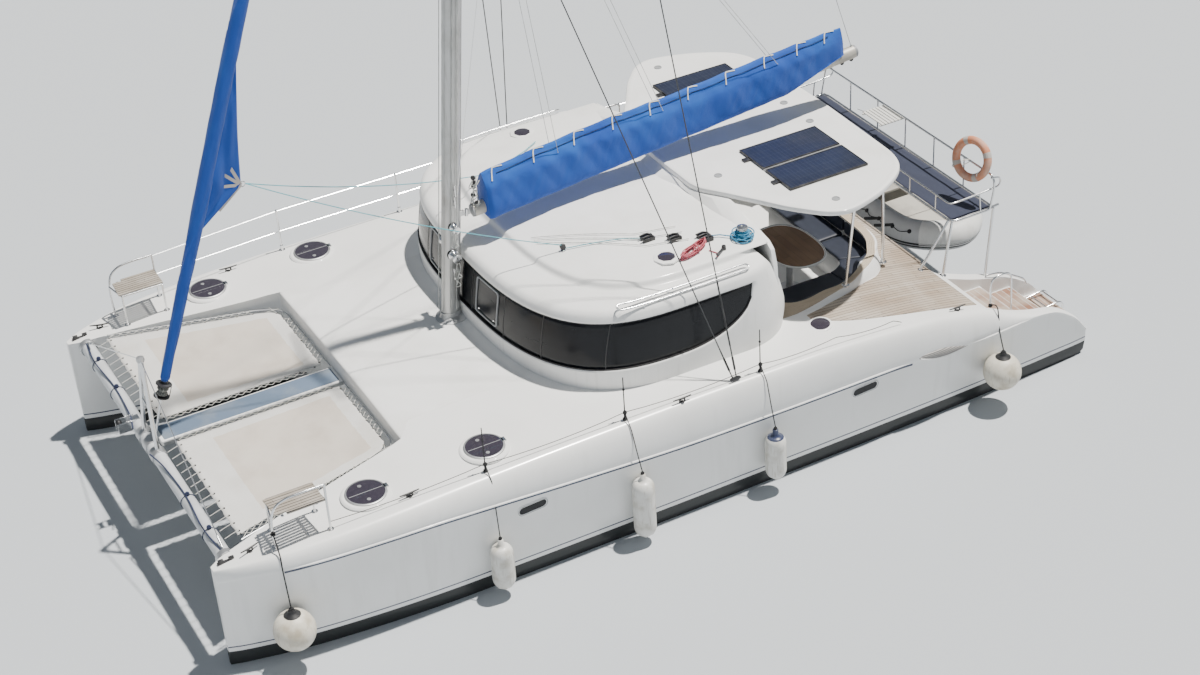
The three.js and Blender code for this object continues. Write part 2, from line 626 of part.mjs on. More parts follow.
function guardPosts(rows, radius, hullSolid) {
  const posts = rows.map(([x, y]) => rod([x, y, 1250], [x, y, 1530 + POST_HEIGHT], radius));
  const wires = rows.slice(1).flatMap(([x, y], i) => [1800, 2110].map((z) => rod(
    [rows[i][0], rows[i][1], z], [x, y, z], GUARD_WIRE_R, 5,
  )));
  return seated(join([...posts, ...wires]), hullSolid);
}

// Mast, stays and furled headsail
function mastPoint(z, forward = 0) {
  const rise = z - MAST_FOOT.z;
  return [MAST_FOOT.x - rise * Math.tan(MAST_RAKE) + forward, 0, z];
}

const SPREADER_Z = 8600;
const PIVOT_R = 28;

function mast(supports) {
  const length = (MAST_TOP_Z - MAST_FOOT.z) / Math.cos(MAST_RAKE);
  const geometry = new THREE.CylinderGeometry(100, 100, length, 16);
  geometry.rotateX(Math.PI / 2);
  geometry.translate(0, 0, length / 2);
  geometry.scale(1.15, 0.75, 1);
  geometry.rotateY(-MAST_RAKE);
  geometry.translate(MAST_FOOT.x, 0, MAST_FOOT.z);
  const bracket = box(GOOSENECK.x + PIVOT_R + 4, GOOSENECK.x + 130, -14, 14, 2990, 3050);
  const [x] = mastPoint(SPREADER_Z);
  const arms = [1, -1].map((side) => rod([x, side * 20, SPREADER_Z], [x - 180, side * 850, SPREADER_Z + 60], 26, 8, 16));
  return seated(join([solidOf(geometry), bracket, ...arms]), ...supports);
}

const STAY_FOOT = [5340, 0, 1940];

function stayPoint(fraction) {
  const top = mastPoint(HOUNDS_Z, 125);
  return STAY_FOOT.map((value, i) => value + (top[i] - value) * fraction);
}

function furledHeadsail() {
  const rows = [[0.012, 60], [0.06, 66], [0.2, 92], [0.3, 88], [0.6, 62], [0.93, 34], [0.935, 8], [0.998, 8]];
  const length = new THREE.Vector3(...stayPoint(1)).distanceTo(new THREE.Vector3(...STAY_FOOT));
  const profile = [[0, rows[0][0]], ...rows.map(([t, r]) => [r, t]), [0, rows.at(-1)[0]]];
  const geometry = new THREE.LatheGeometry(profile.map(([r, t]) => new THREE.Vector2(r, t * length)), 12);
  const along = new THREE.Vector3(...stayPoint(1)).sub(new THREE.Vector3(...STAY_FOOT)).normalize();
  geometry.applyQuaternion(new THREE.Quaternion().setFromUnitVectors(new THREE.Vector3(0, 1, 0), along));
  geometry.translate(...STAY_FOOT);
  return solidOf(geometry);
}

function furlerDrum(support) {
  const drum = rod(stayPoint(-0.004), stayPoint(0.0115), 95, 16);
  const link = rod([BEAM_X - 60, 0, 1380], stayPoint(-0.003), 14, 8);
  return seated(drum.add(link), support).translate([0, 0, -GAP / 2]);
}

const CHAINPLATE = [-560, 2925, 1545];

function shrouds(side) {
  const [x, , z] = mastPoint(HOUNDS_Z);
  const foot = [CHAINPLATE[0], side * CHAINPLATE[1], CHAINPLATE[2] + 6];
  const cap = rod(foot, [x - 40, side * 78, z], 7, 6);
  const [lx, , lz] = mastPoint(SPREADER_Z - 300);
  const lower = rod([foot[0] + 40, foot[1], foot[2]], [lx - 30, side * 78, lz], 7, 6);
  const plateY = [side * CHAINPLATE[1] - 10, side * CHAINPLATE[1] + 10];
  const chainplate = box(foot[0] - 60, foot[0] + 90, ...plateY, foot[2], foot[2] + 60);
  return join([cap, lower, chainplate]);
}

// Boom and the mainsail under its cover: x, height of the cover
const COVER_ROWS = [[1130, 555], [400, 580], [-400, 585], [-1600, 550], [-3000, 540], [-3950, 520]];
const BOOM_START_X = 1310;
const BOOM_END_X = -4200;

function boomUnderside(x) {
  return 2935 + (1000 - x) * BOOM_RISE;
}

function boom() {
  const [from, to] = [BOOM_START_X, BOOM_END_X].map((x) => [x, 0, boomUnderside(x) + BOOM_RADIUS + 25]);
  const tilt = Math.tan(MAST_RAKE) * 35;
  const knuckle = rod(
    [GOOSENECK.x + tilt, 0, GOOSENECK.z - 35], [GOOSENECK.x - tilt, 0, GOOSENECK.z + 35], PIVOT_R, 12,
  );
  const fork = box(BOOM_START_X - 20, GOOSENECK.x, -22, 22, GOOSENECK.z - 30, GOOSENECK.z + 30);
  return join([rod(from, to, BOOM_RADIUS, 16), knuckle, fork]);
}

function sailCover() {
  const notch = BOOM_RADIUS + 2;
  const notchTop = 2 * BOOM_RADIUS + 25 + 4;
  return loft(COVER_ROWS.map(([x, height]) => {
    const half = [
      [notch, notchTop], [notch, -15], [165, -15], [205, 140], [175, 330], [70, height - 25], [0, height],
    ];
    const left = half.slice(0, -1).reverse().map(([y, z]) => [-y, z]);
    return [...half, ...left].map(([y, z]) => [x, y, boomUnderside(x) + z]);
  }));
}

function hatchLid([x, y, radius]) {
  const z = deckAt(x, y) + HATCH_FRAME_H + GAP * 3;
  const disc = plate(arc(x, y, radius, radius, 0, 345, 23), z, z + LID_THICK);
  const knuckle = box(x - radius - 40, x - radius + 25, y - 40, y + 40, z, z + LID_THICK);
  return disc.add(knuckle);
}

// Saloon furniture that shows through the windows
function saloonSettee() {
  const z0 = SALOON_SOLE_Z + GAP;
  const outer = [[-600, 1560], [700, 1560], [1050, 1150], [1050, -350], [430, -350], [430, 780], [-600, 780]];
  const back = [
    [-600, 1560], [700, 1560], [1050, 1150], [1050, -350], [900, -350], [900, 1080], [640, 1400], [-600, 1400],
  ];
  return plate(outer, z0, 1300).add(plate(back, 1290, 1560));
}

function saloonTable() {
  const top = box(-500, 330, -250, 680, 1520, 1555);
  return top.add(box(-150, -20, 150, 280, SALOON_SOLE_Z + GAP, 1530));
}

// Cockpit furniture
const SEAT_FRONT_X = -1855;
const SEAT_END_Y = -600;
const SEAT_Z = 1330;
const SEAT_BACK_Z = 1560;

// Plan of the horseshoe seat: its outer edge, then the inner edges of its back and of its base
function cockpitSeat() {
  const corner = (inset) => cockpitOutline(inset).filter(([, y]) => y > SEAT_END_Y);
  const end = (inset) => [COCKPIT_AFT_X + inset, SEAT_END_Y];
  const wall = (inset) => RECESS_WALL.slice(1).map(([x, y]) => [x + 2, y - inset]);
  const front = [SEAT_FRONT_X, RECESS_WALL[0][1] - 12];
  const outer = [front, ...wall(8), [-3148, 1596], ...corner(8), end(8)];
  const back = [
    end(95), ...corner(95).reverse(), [-3060, 1580], ...wall(80).slice(0, -2).reverse(), [SEAT_FRONT_X, front[1] - 70],
  ];
  const base = [end(520), [-3230, 980], [-3200, 1100], [-3120, 1190], [-2980, 1250], [SEAT_FRONT_X, 1250]];
  const well = [[SEAT_FRONT_X, DECK_INNER_Y - 8], ...corner(8), end(8)];
  return join([
    plate([...well, ...base], COCKPIT_SOLE_Z + GAP, SEAT_Z),
    plate([...outer, ...base], RECESS_FLOOR_Z + GAP, SEAT_Z),
    plate([...outer, ...back], SEAT_Z - 10, SEAT_BACK_Z),
  ]);
}

const TABLE = { x: -2660, y: 800, halfX: 370, halfY: 560, z: 1560, thick: 30 };

function cockpitTable() {
  const { x, y, halfX, halfY, z, thick } = TABLE;
  const sole = COCKPIT_SOLE_Z + GAP;
  const top = plate(arc(x, y, halfX, halfY, 0, 345, 23), z, z + thick);
  return join([top, rod([x, y, sole], [x, y, z + 10], 45, 12), rod([x, y, sole], [x, y, sole + 30], 160, 16)]);
}

const WHEEL = [-1900, -1180, 1780];
const PEDESTAL_AFT_X = -1830;
const WHEEL_R = 330;

function helmPedestal() {
  return box(PEDESTAL_AFT_X, PEDESTAL_AFT_X + 220, -1450, -900, COCKPIT_SOLE_Z + GAP, 1950);
}

function steeringWheel() {
  const ring = new THREE.TorusGeometry(WHEEL_R, 16, 8, 28);
  ring.rotateY(Math.PI / 2);
  ring.translate(...WHEEL);
  const spokes = [0, 60, 120].map((angle) => {
    const c = WHEEL_R * Math.cos(THREE.MathUtils.degToRad(angle));
    const s = WHEEL_R * Math.sin(THREE.MathUtils.degToRad(angle));
    return rod([WHEEL[0], WHEEL[1] - c, WHEEL[2] - s], [WHEEL[0], WHEEL[1] + c, WHEEL[2] + s], 9, 8);
  });
  const hub = rod([WHEEL[0] - 25, WHEEL[1], WHEEL[2]], [PEDESTAL_AFT_X - GAP, WHEEL[1], WHEEL[2]], 38, 12);
  return join([solidOf(ring), hub, ...spokes]);
}

function helmSeat() {
  const base = box(-2750, -2420, -1480, -880, COCKPIT_SOLE_Z + GAP, 1400);
  const back = box(-2800, -2749, -1480, -880, 1000, 1700);
  return base.add(back);
}

// Stern frame that carries the tender, and the tender itself
const FRAME_FRONT_X = -4350;
const FRAME_AFT_X = -5000;
const FRAME_PORT_Y = 1900;
const FRAME_Z = 1900;
const FRAME_RAIL_Z = 2340;
const INNER_RAIL_Z = 2140;
const FRAME_TUBE_R = 19;
const TENDER = { x: -5030, bowY: 1330, sternY: -1350, half: 540, tubeR: 195, z: 1080 };

function sternFrame(supports, tender) {
  const low = (x, y) => [x, y, FRAME_Z];
  const y0 = -FRAME_PORT_Y;
  const corners = [
    low(FRAME_FRONT_X, FRAME_PORT_Y), low(FRAME_FRONT_X, y0), low(FRAME_AFT_X, y0), low(FRAME_AFT_X, FRAME_PORT_Y),
  ];
  const rails = corners.map((corner, i) => rod(corner, corners[(i + 1) % 4], FRAME_TUBE_R));
  const top = [[FRAME_AFT_X, -FRAME_PORT_Y], [FRAME_AFT_X, 0], [FRAME_AFT_X, FRAME_PORT_Y]]
    .map(([x, y]) => rod([x, y, FRAME_Z], [x, y, FRAME_RAIL_Z], 14));
  const rail = rod([FRAME_AFT_X, -FRAME_PORT_Y - 14, FRAME_RAIL_Z], [FRAME_AFT_X, FRAME_PORT_Y + 14, FRAME_RAIL_Z], 14);
  const inner = [-FRAME_PORT_Y, -1150, 0, 1150, FRAME_PORT_Y].map((y) => rod(
    [FRAME_FRONT_X, y, FRAME_Z], [FRAME_FRONT_X, y, INNER_RAIL_Z], 14,
  ));
  inner.push(rod([FRAME_FRONT_X, -FRAME_PORT_Y - 14, INNER_RAIL_Z], [FRAME_FRONT_X, FRAME_PORT_Y + 14, INNER_RAIL_Z], 14));
  for (const y of [-FRAME_PORT_Y, FRAME_PORT_Y]) {
    inner.push(rod([FRAME_FRONT_X, y, INNER_RAIL_Z], [FRAME_AFT_X, y, INNER_RAIL_Z], 14));
  }
  const legs = [1, -1].flatMap((side) => [
    rod([FRAME_AFT_X + 190, side * 2010, 700], [FRAME_AFT_X + 5, side * FRAME_PORT_Y, FRAME_Z], FRAME_TUBE_R),
    rod([-4180, side * 1985, 1000], [FRAME_FRONT_X - 5, side * FRAME_PORT_Y, FRAME_Z], FRAME_TUBE_R),
    rod([-3960, side * 1800, 1150], [FRAME_FRONT_X + 4, side * (FRAME_PORT_Y - 60), FRAME_Z], FRAME_TUBE_R),
  ]);
  const hangers = [300, TENDER.sternY + 300].flatMap((y) => [
    [TENDER.x + TENDER.half, FRAME_FRONT_X], [TENDER.x - TENDER.half, FRAME_AFT_X],
  ].map(([x, railX]) => rod([x, y, TENDER.z + TENDER.tubeR - 30], [railX, y, FRAME_Z], 8, 6)));
  const frame = seated(join([...rails, ...top, rail, ...inner, ...legs, ...hangers]), ...supports);
  return frame.subtract(tender.translate([0, 0, GAP]));
}

function tenderTube() {
  const { x, bowY, sternY, half, tubeR, z } = TENDER;
  return tube([
    [x + half, sternY, z], [x + half, 0, z], [x + half * 0.85, bowY - 600, z + 15], [x, bowY - 190, z + 60],
    [x - half * 0.85, bowY - 600, z + 15], [x - half, 0, z], [x - half, sternY, z],
  ], tubeR, 30, 12);
}

function tenderFloor(tubeSolid) {
  const { x, bowY, sternY, half, z } = TENDER;
  const floor = plate([
    [x + half - 60, sternY + 60], [x + half - 60, 100], [x + 200, bowY - 480], [x - 200, bowY - 480],
    [x - half + 60, 100], [x - half + 60, sternY + 60],
  ], z - 110, z - 60);
  const transom = box(x - half + 60, x + half - 60, sternY + 60, sternY + 105, z - 110, z + 200);
  const trimmed = floor.add(transom).subtract(tubeSolid);
  return trimmed.decompose().sort((a, b) => b.volume() - a.volume())[0].scale([0.9985, 1, 1]).translate([x * 0.0015, 0, 0]);
}

// Cloth platform stretched in the frame
function sternPlatform() {
  const edge = FRAME_TUBE_R + 6;
  return box(
    FRAME_AFT_X + edge, FRAME_FRONT_X - edge, edge - FRAME_PORT_Y, FRAME_PORT_Y - edge, FRAME_Z + 2, FRAME_Z + 8,
  );
}

const LIFE_RING = { x: -4895, y: 1555, z: 2475, radius: 240, tubeR: 55, lean: 15, turn: 15 };

function lifeRing() {
  const { x, y, z, radius, tubeR, lean, turn } = LIFE_RING;
  const geometry = new THREE.TorusGeometry(radius, tubeR, 10, 28);
  geometry.rotateY(Math.PI / 2 - THREE.MathUtils.degToRad(lean));
  geometry.rotateZ(THREE.MathUtils.degToRad(turn));
  geometry.translate(x, y, z);
  return solidOf(geometry);
}

// Fenders along the port side: x, centre z, radius, half length
const FENDERS = [
  [2700, 420, 135, 330], [890, 500, 135, 430], [-900, 500, 130, 340], [5150, 550, 238, 238], [-4160, 510, 238, 238],
];
const TOPSIDE_CLEAR = 12;

// Half breadth of the hull's outer side between the waterline and the knuckle
function topsideAt(x, z) {
  const i = HULL_STATIONS.findIndex((row) => row[0] < x) - 1;
  const [fore, aft] = [HULL_STATIONS[i], HULL_STATIONS[i + 1]];
  const part = (x - fore[0]) / (aft[0] - fore[0]);
  const [low, wide, top] = [3, 4, 5].map((k) => fore[k] + (aft[k] - fore[k]) * part);
  return low + ((wide - low) * Math.min(z, top)) / top;
}

function fender([x, z, radius, half], hullSolid) {
  const side = topsideAt(x, z + half - radius) + radius + TOPSIDE_CLEAR;
  const steps = 5;
  const profile = [[0, -half]];
  for (let i = 1; i <= steps; i++) {
    const angle = -Math.PI / 2 + (Math.PI / 2) * (i / steps);
    profile.push([radius * Math.cos(angle), -half + radius + radius * Math.sin(angle)]);
  }
  for (let i = half > radius ? 0 : 1; i < steps; i++) {
    const angle = (Math.PI / 2) * (i / steps);
    profile.push([radius * Math.cos(angle), half - radius + radius * Math.sin(angle)]);
  }
  profile.push([34, half - 3], [34, half + 45], [0, half + 45]);
  const geometry = new THREE.LatheGeometry(profile.map(([r, h]) => new THREE.Vector2(r, h)), 16);
  geometry.rotateX(Math.PI / 2);
  geometry.translate(x, side, z);
  return solidOf(geometry).subtract(hullSolid.translate([0, 1, 0]));
}

// Assembly
const boat = new THREE.Group();

function add(name, solid, colour) {
  const mesh = new THREE.Mesh(geometryOf(solid), material(colour));
  mesh.name = name;
  boat.add(mesh);
  return solid;
}

const hullPort = add('hull_port', hull(), 'gelcoat');
const hullStarboard = add('hull_starboard', mirrored(hullPort), 'gelcoat');
const foredeckSolid = add('foredeck', between(foredeck(), hullPort, hullStarboard), 'gelcoat');
add('bridgedeck', bridgedeck(), 'gelcoat');
const aftDeck = add('aft_crossdeck', aftCrossdeck(), 'gelcoat');
const decks = [hullPort, hullStarboard, foredeckSolid, aftDeck];

const coachroofSolid = add('coachroof', coachroof(decks), 'gelcoat');
add('saloon_windows', saloonWindows(), 'glass');
add('aft_bulkhead', aftBulkhead([hullPort, hullStarboard]), 'gelcoat');
add('saloon_door', saloonDoor(), 'glass');
add('saloon_settee', saloonSettee(), 'cushion');
add('saloon_table', saloonTable(), 'teak');
add('hardtop', hardtop([...decks, coachroofSolid]), 'gelcoat');
add('solar_panel_port', solarPanel(1), 'panel');
add('solar_panel_starboard', solarPanel(-1), 'panel');

const driveSolid = saildrive(hullPort);
const rudderSolid = rudder();
const propellerSolid = propeller();
for (const [side, place] of [['port', (s) => s], ['starboard', mirrored]]) {
  add(`rudder_${side}`, place(rudderSolid), 'antifoul');
  add(`saildrive_${side}`, place(driveSolid), 'antifoul');
  add(`propeller_${side}`, place(propellerSolid), 'bronze');
}

const beamSolid = add('crossbeam', crossbeam(hullPort, hullStarboard), 'spar');
const walkwaySolid = add('walkway', walkway(beamSolid), 'gelcoat');
add('striker', striker(beamSolid), 'spar');
add('trampoline_port', trampoline(1), 'net');
add('trampoline_starboard', trampoline(-1), 'net');
const pulpitSolid = pulpit(hullPort);
add('pulpit_port', pulpitSolid, 'stainless');
add('pulpit_starboard', mirrored(pulpitSolid), 'stainless');
add('guard_posts_port', guardPosts(POSTS_PORT, 9, hullPort), 'black');
add('guard_posts_starboard', guardPosts(POSTS_STARBOARD, 13, hullStarboard), 'stainless');

add('mast', mast([foredeckSolid]), 'spar');
add('furled_headsail', furledHeadsail(), 'bluecloth');
add('furler_drum', furlerDrum(walkwaySolid), 'black');
add('shrouds_port', shrouds(1), 'stainless');
add('shrouds_starboard', shrouds(-1), 'stainless');
add('boom', boom(), 'spar');
add('sail_cover', sailCover(), 'bluecloth');

for (const [place, row] of Object.entries(HATCHES)) {
  const lid = hatchLid(row);
  add(`hatch_lid_${place}_port`, lid, 'glass');
  add(`hatch_lid_${place}_starboard`, mirrored(lid), 'glass');
}

add('cockpit_seat', cockpitSeat(), 'gelcoat');
add('cockpit_table', cockpitTable(), 'gelcoat');
add('helm_pedestal', helmPedestal(), 'gelcoat');
add('steering_wheel', steeringWheel(), 'stainless');
add('helm_seat', helmSeat(), 'cushion');

const tenderTubeSolid = add('tender_tube', tenderTube(), 'rubber');
add('stern_frame', sternFrame(decks, tenderTubeSolid), 'stainless');
add('stern_platform', sternPlatform(), 'bluecloth');
add('tender_floor', tenderFloor(tenderTubeSolid), 'cushion');
add('life_ring', lifeRing(), 'orange');
FENDERS.forEach((row, i) => add(`fender_${i + 1}`, fender(row, hullPort), 'rubber'));

export default boat;
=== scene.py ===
"""A cruising sailing catamaran afloat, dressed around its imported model: mouldings, decks, rig and gear."""
import random
from math import copysign, cos, exp, pi, radians, sin, sqrt, tan

import bmesh
import bpy
import numpy as np
from mathutils import Matrix, Vector, noise


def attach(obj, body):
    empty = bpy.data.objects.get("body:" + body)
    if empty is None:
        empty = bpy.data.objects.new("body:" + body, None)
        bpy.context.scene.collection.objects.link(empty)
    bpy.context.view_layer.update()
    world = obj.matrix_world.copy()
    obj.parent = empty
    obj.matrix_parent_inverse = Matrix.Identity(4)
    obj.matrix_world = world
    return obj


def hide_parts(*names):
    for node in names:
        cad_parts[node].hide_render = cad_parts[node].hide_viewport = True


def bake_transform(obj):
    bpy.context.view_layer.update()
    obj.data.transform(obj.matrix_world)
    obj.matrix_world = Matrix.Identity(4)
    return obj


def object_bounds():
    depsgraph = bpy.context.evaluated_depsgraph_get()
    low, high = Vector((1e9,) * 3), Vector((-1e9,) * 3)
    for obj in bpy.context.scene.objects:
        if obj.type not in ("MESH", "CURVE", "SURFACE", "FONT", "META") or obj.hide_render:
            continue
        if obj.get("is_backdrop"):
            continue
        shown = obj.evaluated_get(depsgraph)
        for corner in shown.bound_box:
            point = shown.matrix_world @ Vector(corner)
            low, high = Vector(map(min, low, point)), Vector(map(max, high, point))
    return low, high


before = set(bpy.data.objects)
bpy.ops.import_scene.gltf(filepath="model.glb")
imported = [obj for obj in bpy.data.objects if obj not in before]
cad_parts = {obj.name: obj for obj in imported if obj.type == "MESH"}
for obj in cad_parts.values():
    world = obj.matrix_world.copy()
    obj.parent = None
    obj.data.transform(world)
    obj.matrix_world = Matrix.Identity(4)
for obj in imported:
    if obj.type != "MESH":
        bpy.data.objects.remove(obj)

cad_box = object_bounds()


# Camera. It looks down on the port bow quarter from about a mast's height above the water,
# rolled a few degrees, at the angle of the photograph.
def vec(*numbers):
    return Vector(numbers)


EYE = vec(10.01, 20.5, 15.8)
YAW, PITCH, ROLL = (radians(angle) for angle in (-116.7, -33.5, -3.8))
LENS_MM = 64.7
ahead = vec(cos(YAW) * cos(PITCH), sin(YAW) * cos(PITCH), sin(PITCH))
level_right = ahead.cross(vec(0, 0, 1)).normalized()
level_up = level_right.cross(ahead)
right = level_right * cos(ROLL) + level_up * sin(ROLL)
up = level_up * cos(ROLL) - level_right * sin(ROLL)
camera = bpy.data.objects.new("camera", bpy.data.cameras.new("camera"))
camera.data.lens = LENS_MM
camera.data.clip_end = 500
camera.matrix_world = Matrix((right, up, -ahead)).transposed().to_4x4()
camera.location = EYE
bpy.context.collection.objects.link(camera)
bpy.context.scene.camera = camera

# Light. A broad warm key from high over the stern, as the shadows of the mast and the spreaders
# show, a large pale fill from the port bow and an even sky.
SUN_FROM = vec(-0.35, 0.04, 1.0)
sun = bpy.data.objects.new("key_light", bpy.data.lights.new("key_light", "SUN"))
sun.data.energy = 7.5
sun.data.angle = radians(1.4)
sun.data.color = (1.0, 0.965, 0.91)
sun.rotation_euler = SUN_FROM.to_track_quat("Z", "Y").to_euler()
fill = bpy.data.objects.new("fill_light", bpy.data.lights.new("fill_light", "AREA"))
fill.data.energy = 520
fill.data.size = 14
fill.data.color = (0.86, 0.93, 1.0)
fill.location = (12, 18, 9)
fill.rotation_euler = (fill.location - vec(0, 0, 1)).to_track_quat("Z", "Y").to_euler()
for lamp in (sun, fill):
    bpy.context.collection.objects.link(lamp)
sky = bpy.data.worlds.new("sky")
sky.use_nodes = True
sky.node_tree.nodes["Background"].inputs["Color"].default_value = (0.72, 0.8, 0.9, 1)
sky.node_tree.nodes["Background"].inputs["Strength"].default_value = 0.27
bpy.context.scene.world = sky


# Floor. One plain pale plane that lies at the waterline, where the part's mount is, and reaches
# far beyond the view on every side.


def finish(name, colour, roughness, **sockets):
    """A material with one Principled shader; returns the material, its tree and the shader."""
    made = bpy.data.materials.new(name)
    made.use_nodes = True
    shader = made.node_tree.nodes["Principled BSDF"]
    shader.inputs["Base Color"].default_value = (*colour, 1)
    shader.inputs["Roughness"].default_value = roughness
    for key, value in sockets.items():
        shader.inputs[key.replace("_", " ")].default_value = value
    return made, made.node_tree, shader


FLOOR_HALF = 150
floor_finish = finish("floor_finish", (0.5, 0.53, 0.56), 0.9)[0]
mesh = bpy.data.meshes.new("floor")
mesh.from_pydata([(x, y, 0) for x, y in ((-1, -1), (1, -1), (1, 1), (-1, 1))], [], [(0, 1, 2, 3)])
mesh.transform(Matrix.Diagonal((FLOOR_HALF, FLOOR_HALF, 1, 1)))
mesh.materials.append(floor_finish)
floor = bpy.data.objects.new("floor", mesh)
bpy.context.collection.objects.link(floor)
floor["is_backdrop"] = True

# Hulls. Two mirrored glass-fibre mouldings of white gelcoat, black bottom paint below the boot
# top, a thin navy line at the knuckle, and planked steps moulded into each stern.


def feed(made, values):
    """The node, its sockets filled with values or with links from other nodes' sockets."""
    for key, value in values.items():
        if isinstance(value, bpy.types.NodeSocket):
            made.id_data.links.new(value, made.inputs[key])
        else:
            made.inputs[key].default_value = value
    return made


def node(tree, kind, inputs=None, **settings):
    """A shader node with its settings and its sockets."""
    made = tree.nodes.new(kind)
    for key, value in settings.items():
        setattr(made, key, value)
    return feed(made, inputs or {})


def effect(name, inputs, outputs):
    """An empty shader node group with named sockets; returns its tree, input and output nodes."""
    group = bpy.data.node_groups.new(name, "ShaderNodeTree")
    for socket, kind, value in inputs:
        made = group.interface.new_socket(socket, in_out="INPUT", socket_type=f"NodeSocket{kind}")
        made.default_value = value
    for socket, kind in outputs:
        group.interface.new_socket(socket, in_out="OUTPUT", socket_type=f"NodeSocket{kind}")
    return group, node(group, "NodeGroupInput"), node(group, "NodeGroupOutput")


def placed(tree, group, **values):
    """The group in a material, with values or links for its named inputs."""
    return feed(node(tree, "ShaderNodeGroup", node_tree=group), values)


def ramp(value, low, high):
    """0 below low, 1 above high, smooth between."""
    limits = {"Value": value, "From Min": low, "From Max": high}
    return node(value.id_data, "ShaderNodeMapRange", limits, interpolation_type="SMOOTHSTEP").outputs[0]


def mixed(factor, a, b):
    """Two colours mixed by a factor."""
    a, b = (c if isinstance(c, bpy.types.NodeSocket) else (*c, 1)[:4] for c in (a, b))
    return node(factor.id_data, "ShaderNodeMix", {0: factor, 6: a, 7: b}, data_type="RGBA").outputs[2]


def maths(operation, *values):
    """One Math node beside the sockets that it works on."""
    tree = next(value.id_data for value in values if isinstance(value, bpy.types.NodeSocket))
    return node(tree, "ShaderNodeMath", dict(enumerate(values)), operation=operation).outputs[0]


# Sun-bleached blotches, faint run marks down upright faces and a little dust on level ones
weathered, given, result = effect("weathered",
    [("Clean", "Color", (0.8, 0.8, 0.8, 1)), ("Stain", "Color", (0.5, 0.48, 0.42, 1)),
    ("Amount", "Float", 0.2), ("Scale", "Float", 1.0)],
    [("Color", "Color"), ("Mask", "Float"), ("Height", "Float")])
place = node(weathered, "ShaderNodeTexCoord").outputs["Object"]
patches = node(weathered, "ShaderNodeTexNoise",
    {"Vector": place, "Scale": given.outputs["Scale"], "Detail": 6.0})
drawn_down = node(weathered, "ShaderNodeMapping", {"Vector": place, "Scale": (9.0, 9.0, 0.7)})
runs = node(weathered, "ShaderNodeTexNoise",
    {"Vector": drawn_down.outputs[0], "Scale": given.outputs["Scale"], "Detail": 4.0})
facing = node(weathered, "ShaderNodeSeparateXYZ",
    {0: node(weathered, "ShaderNodeNewGeometry").outputs["Normal"]})
upright = maths("SUBTRACT", 1.0, maths("ABSOLUTE", facing.outputs["Z"]))
run_mask = maths("MULTIPLY", ramp(runs.outputs[0], 0.5, 0.75), upright)
patch_mask = ramp(patches.outputs[0], 0.42, 0.72)
mask = maths("MULTIPLY", maths("MAXIMUM", run_mask, patch_mask), given.outputs["Amount"])
feed(result,
    {"Mask": mask, "Height": patches.outputs[0],
    "Color": mixed(mask, given.outputs["Clean"], given.outputs["Stain"])})

WHITE = (0.89, 0.89, 0.875)
SHADOW_DIRT = (0.5, 0.49, 0.45, 1)
BOOT_TOP_Z = 0.19
BOOT_STRIPE_Z = (0.245, 0.262)


def gelcoat(name, colour, amount=0.16, scale=0.9, roughness=0.3):
    """White gelcoat with faint staining; returns the material, its tree, shader and colour."""
    made, tree, shader = finish(name, colour, roughness, Coat_Weight=0.35, Coat_Roughness=0.12)
    wear = placed(tree, weathered, Clean=(*colour, 1), Stain=SHADOW_DIRT, Amount=amount, Scale=scale)
    feed(shader, {"Base Color": wear.outputs["Color"], "Roughness": ramp(wear.outputs["Mask"], -0.9, 0.6)})
    return made, tree, shader, wear.outputs["Color"]


topsides, tree, shader, white = gelcoat("topsides", WHITE)
height = node(tree, "ShaderNodeSeparateXYZ",
    {0: node(tree, "ShaderNodeTexCoord").outputs["Object"]}).outputs["Z"]
below = maths("LESS_THAN", height, BOOT_TOP_Z)
stripe = maths("MULTIPLY", maths("GREATER_THAN", height, BOOT_STRIPE_Z[0]),
    maths("LESS_THAN", height, BOOT_STRIPE_Z[1]))
scum = node(tree, "ShaderNodeTexNoise", {"Scale": 7.0, "Detail": 8.0})
paint = mixed(scum.outputs[0], (0.006, 0.007, 0.008), (0.03, 0.034, 0.034))
striped = mixed(stripe, white, (0.02, 0.03, 0.07))
feed(shader,
    {"Base Color": mixed(below, striped, paint),
    "Roughness": maths("ADD", maths("MULTIPLY", below, 0.5), 0.3)})


# Shapes are pairs of a vertex array and a list of faces; a piece is made of shapes and materials
def skin(rings, closed=True, ends=(True, True)):
    """A surface through rings of equal length, each end closed by one face."""
    rings = np.asarray(rings, float)
    count, size = rings.shape[:2]
    last = size if closed else size - 1
    faces = [(r * size + i, r * size + (i + 1) % size, (r + 1) * size + (i + 1) % size, (r + 1) * size + i)
        for r in range(count - 1) for i in range(last)]
    if closed and ends[0]:
        faces.append(tuple(reversed(range(size))))
    if closed and ends[1]:
        faces.append(tuple(range((count - 1) * size, count * size)))
    return rings.reshape(-1, 3), faces


def together(shapes):
    """Several shapes as one."""
    vertices, faces, start = [], [], 0
    for points, polygons in shapes:
        vertices.append(points)
        faces += [tuple(i + start for i in polygon) for polygon in polygons]
        start += len(points)
    return np.concatenate(vertices), faces


def flipped(shape):
    """The shape, or each shape in a list, mirrored to the other side of the boat."""
    if isinstance(shape, list):
        return [flipped(one) for one in shape]
    points, faces = shape
    return points * (1, -1, 1), [tuple(reversed(face)) for face in faces]


SIDES = (("port", lambda shape: shape), ("starboard", flipped))


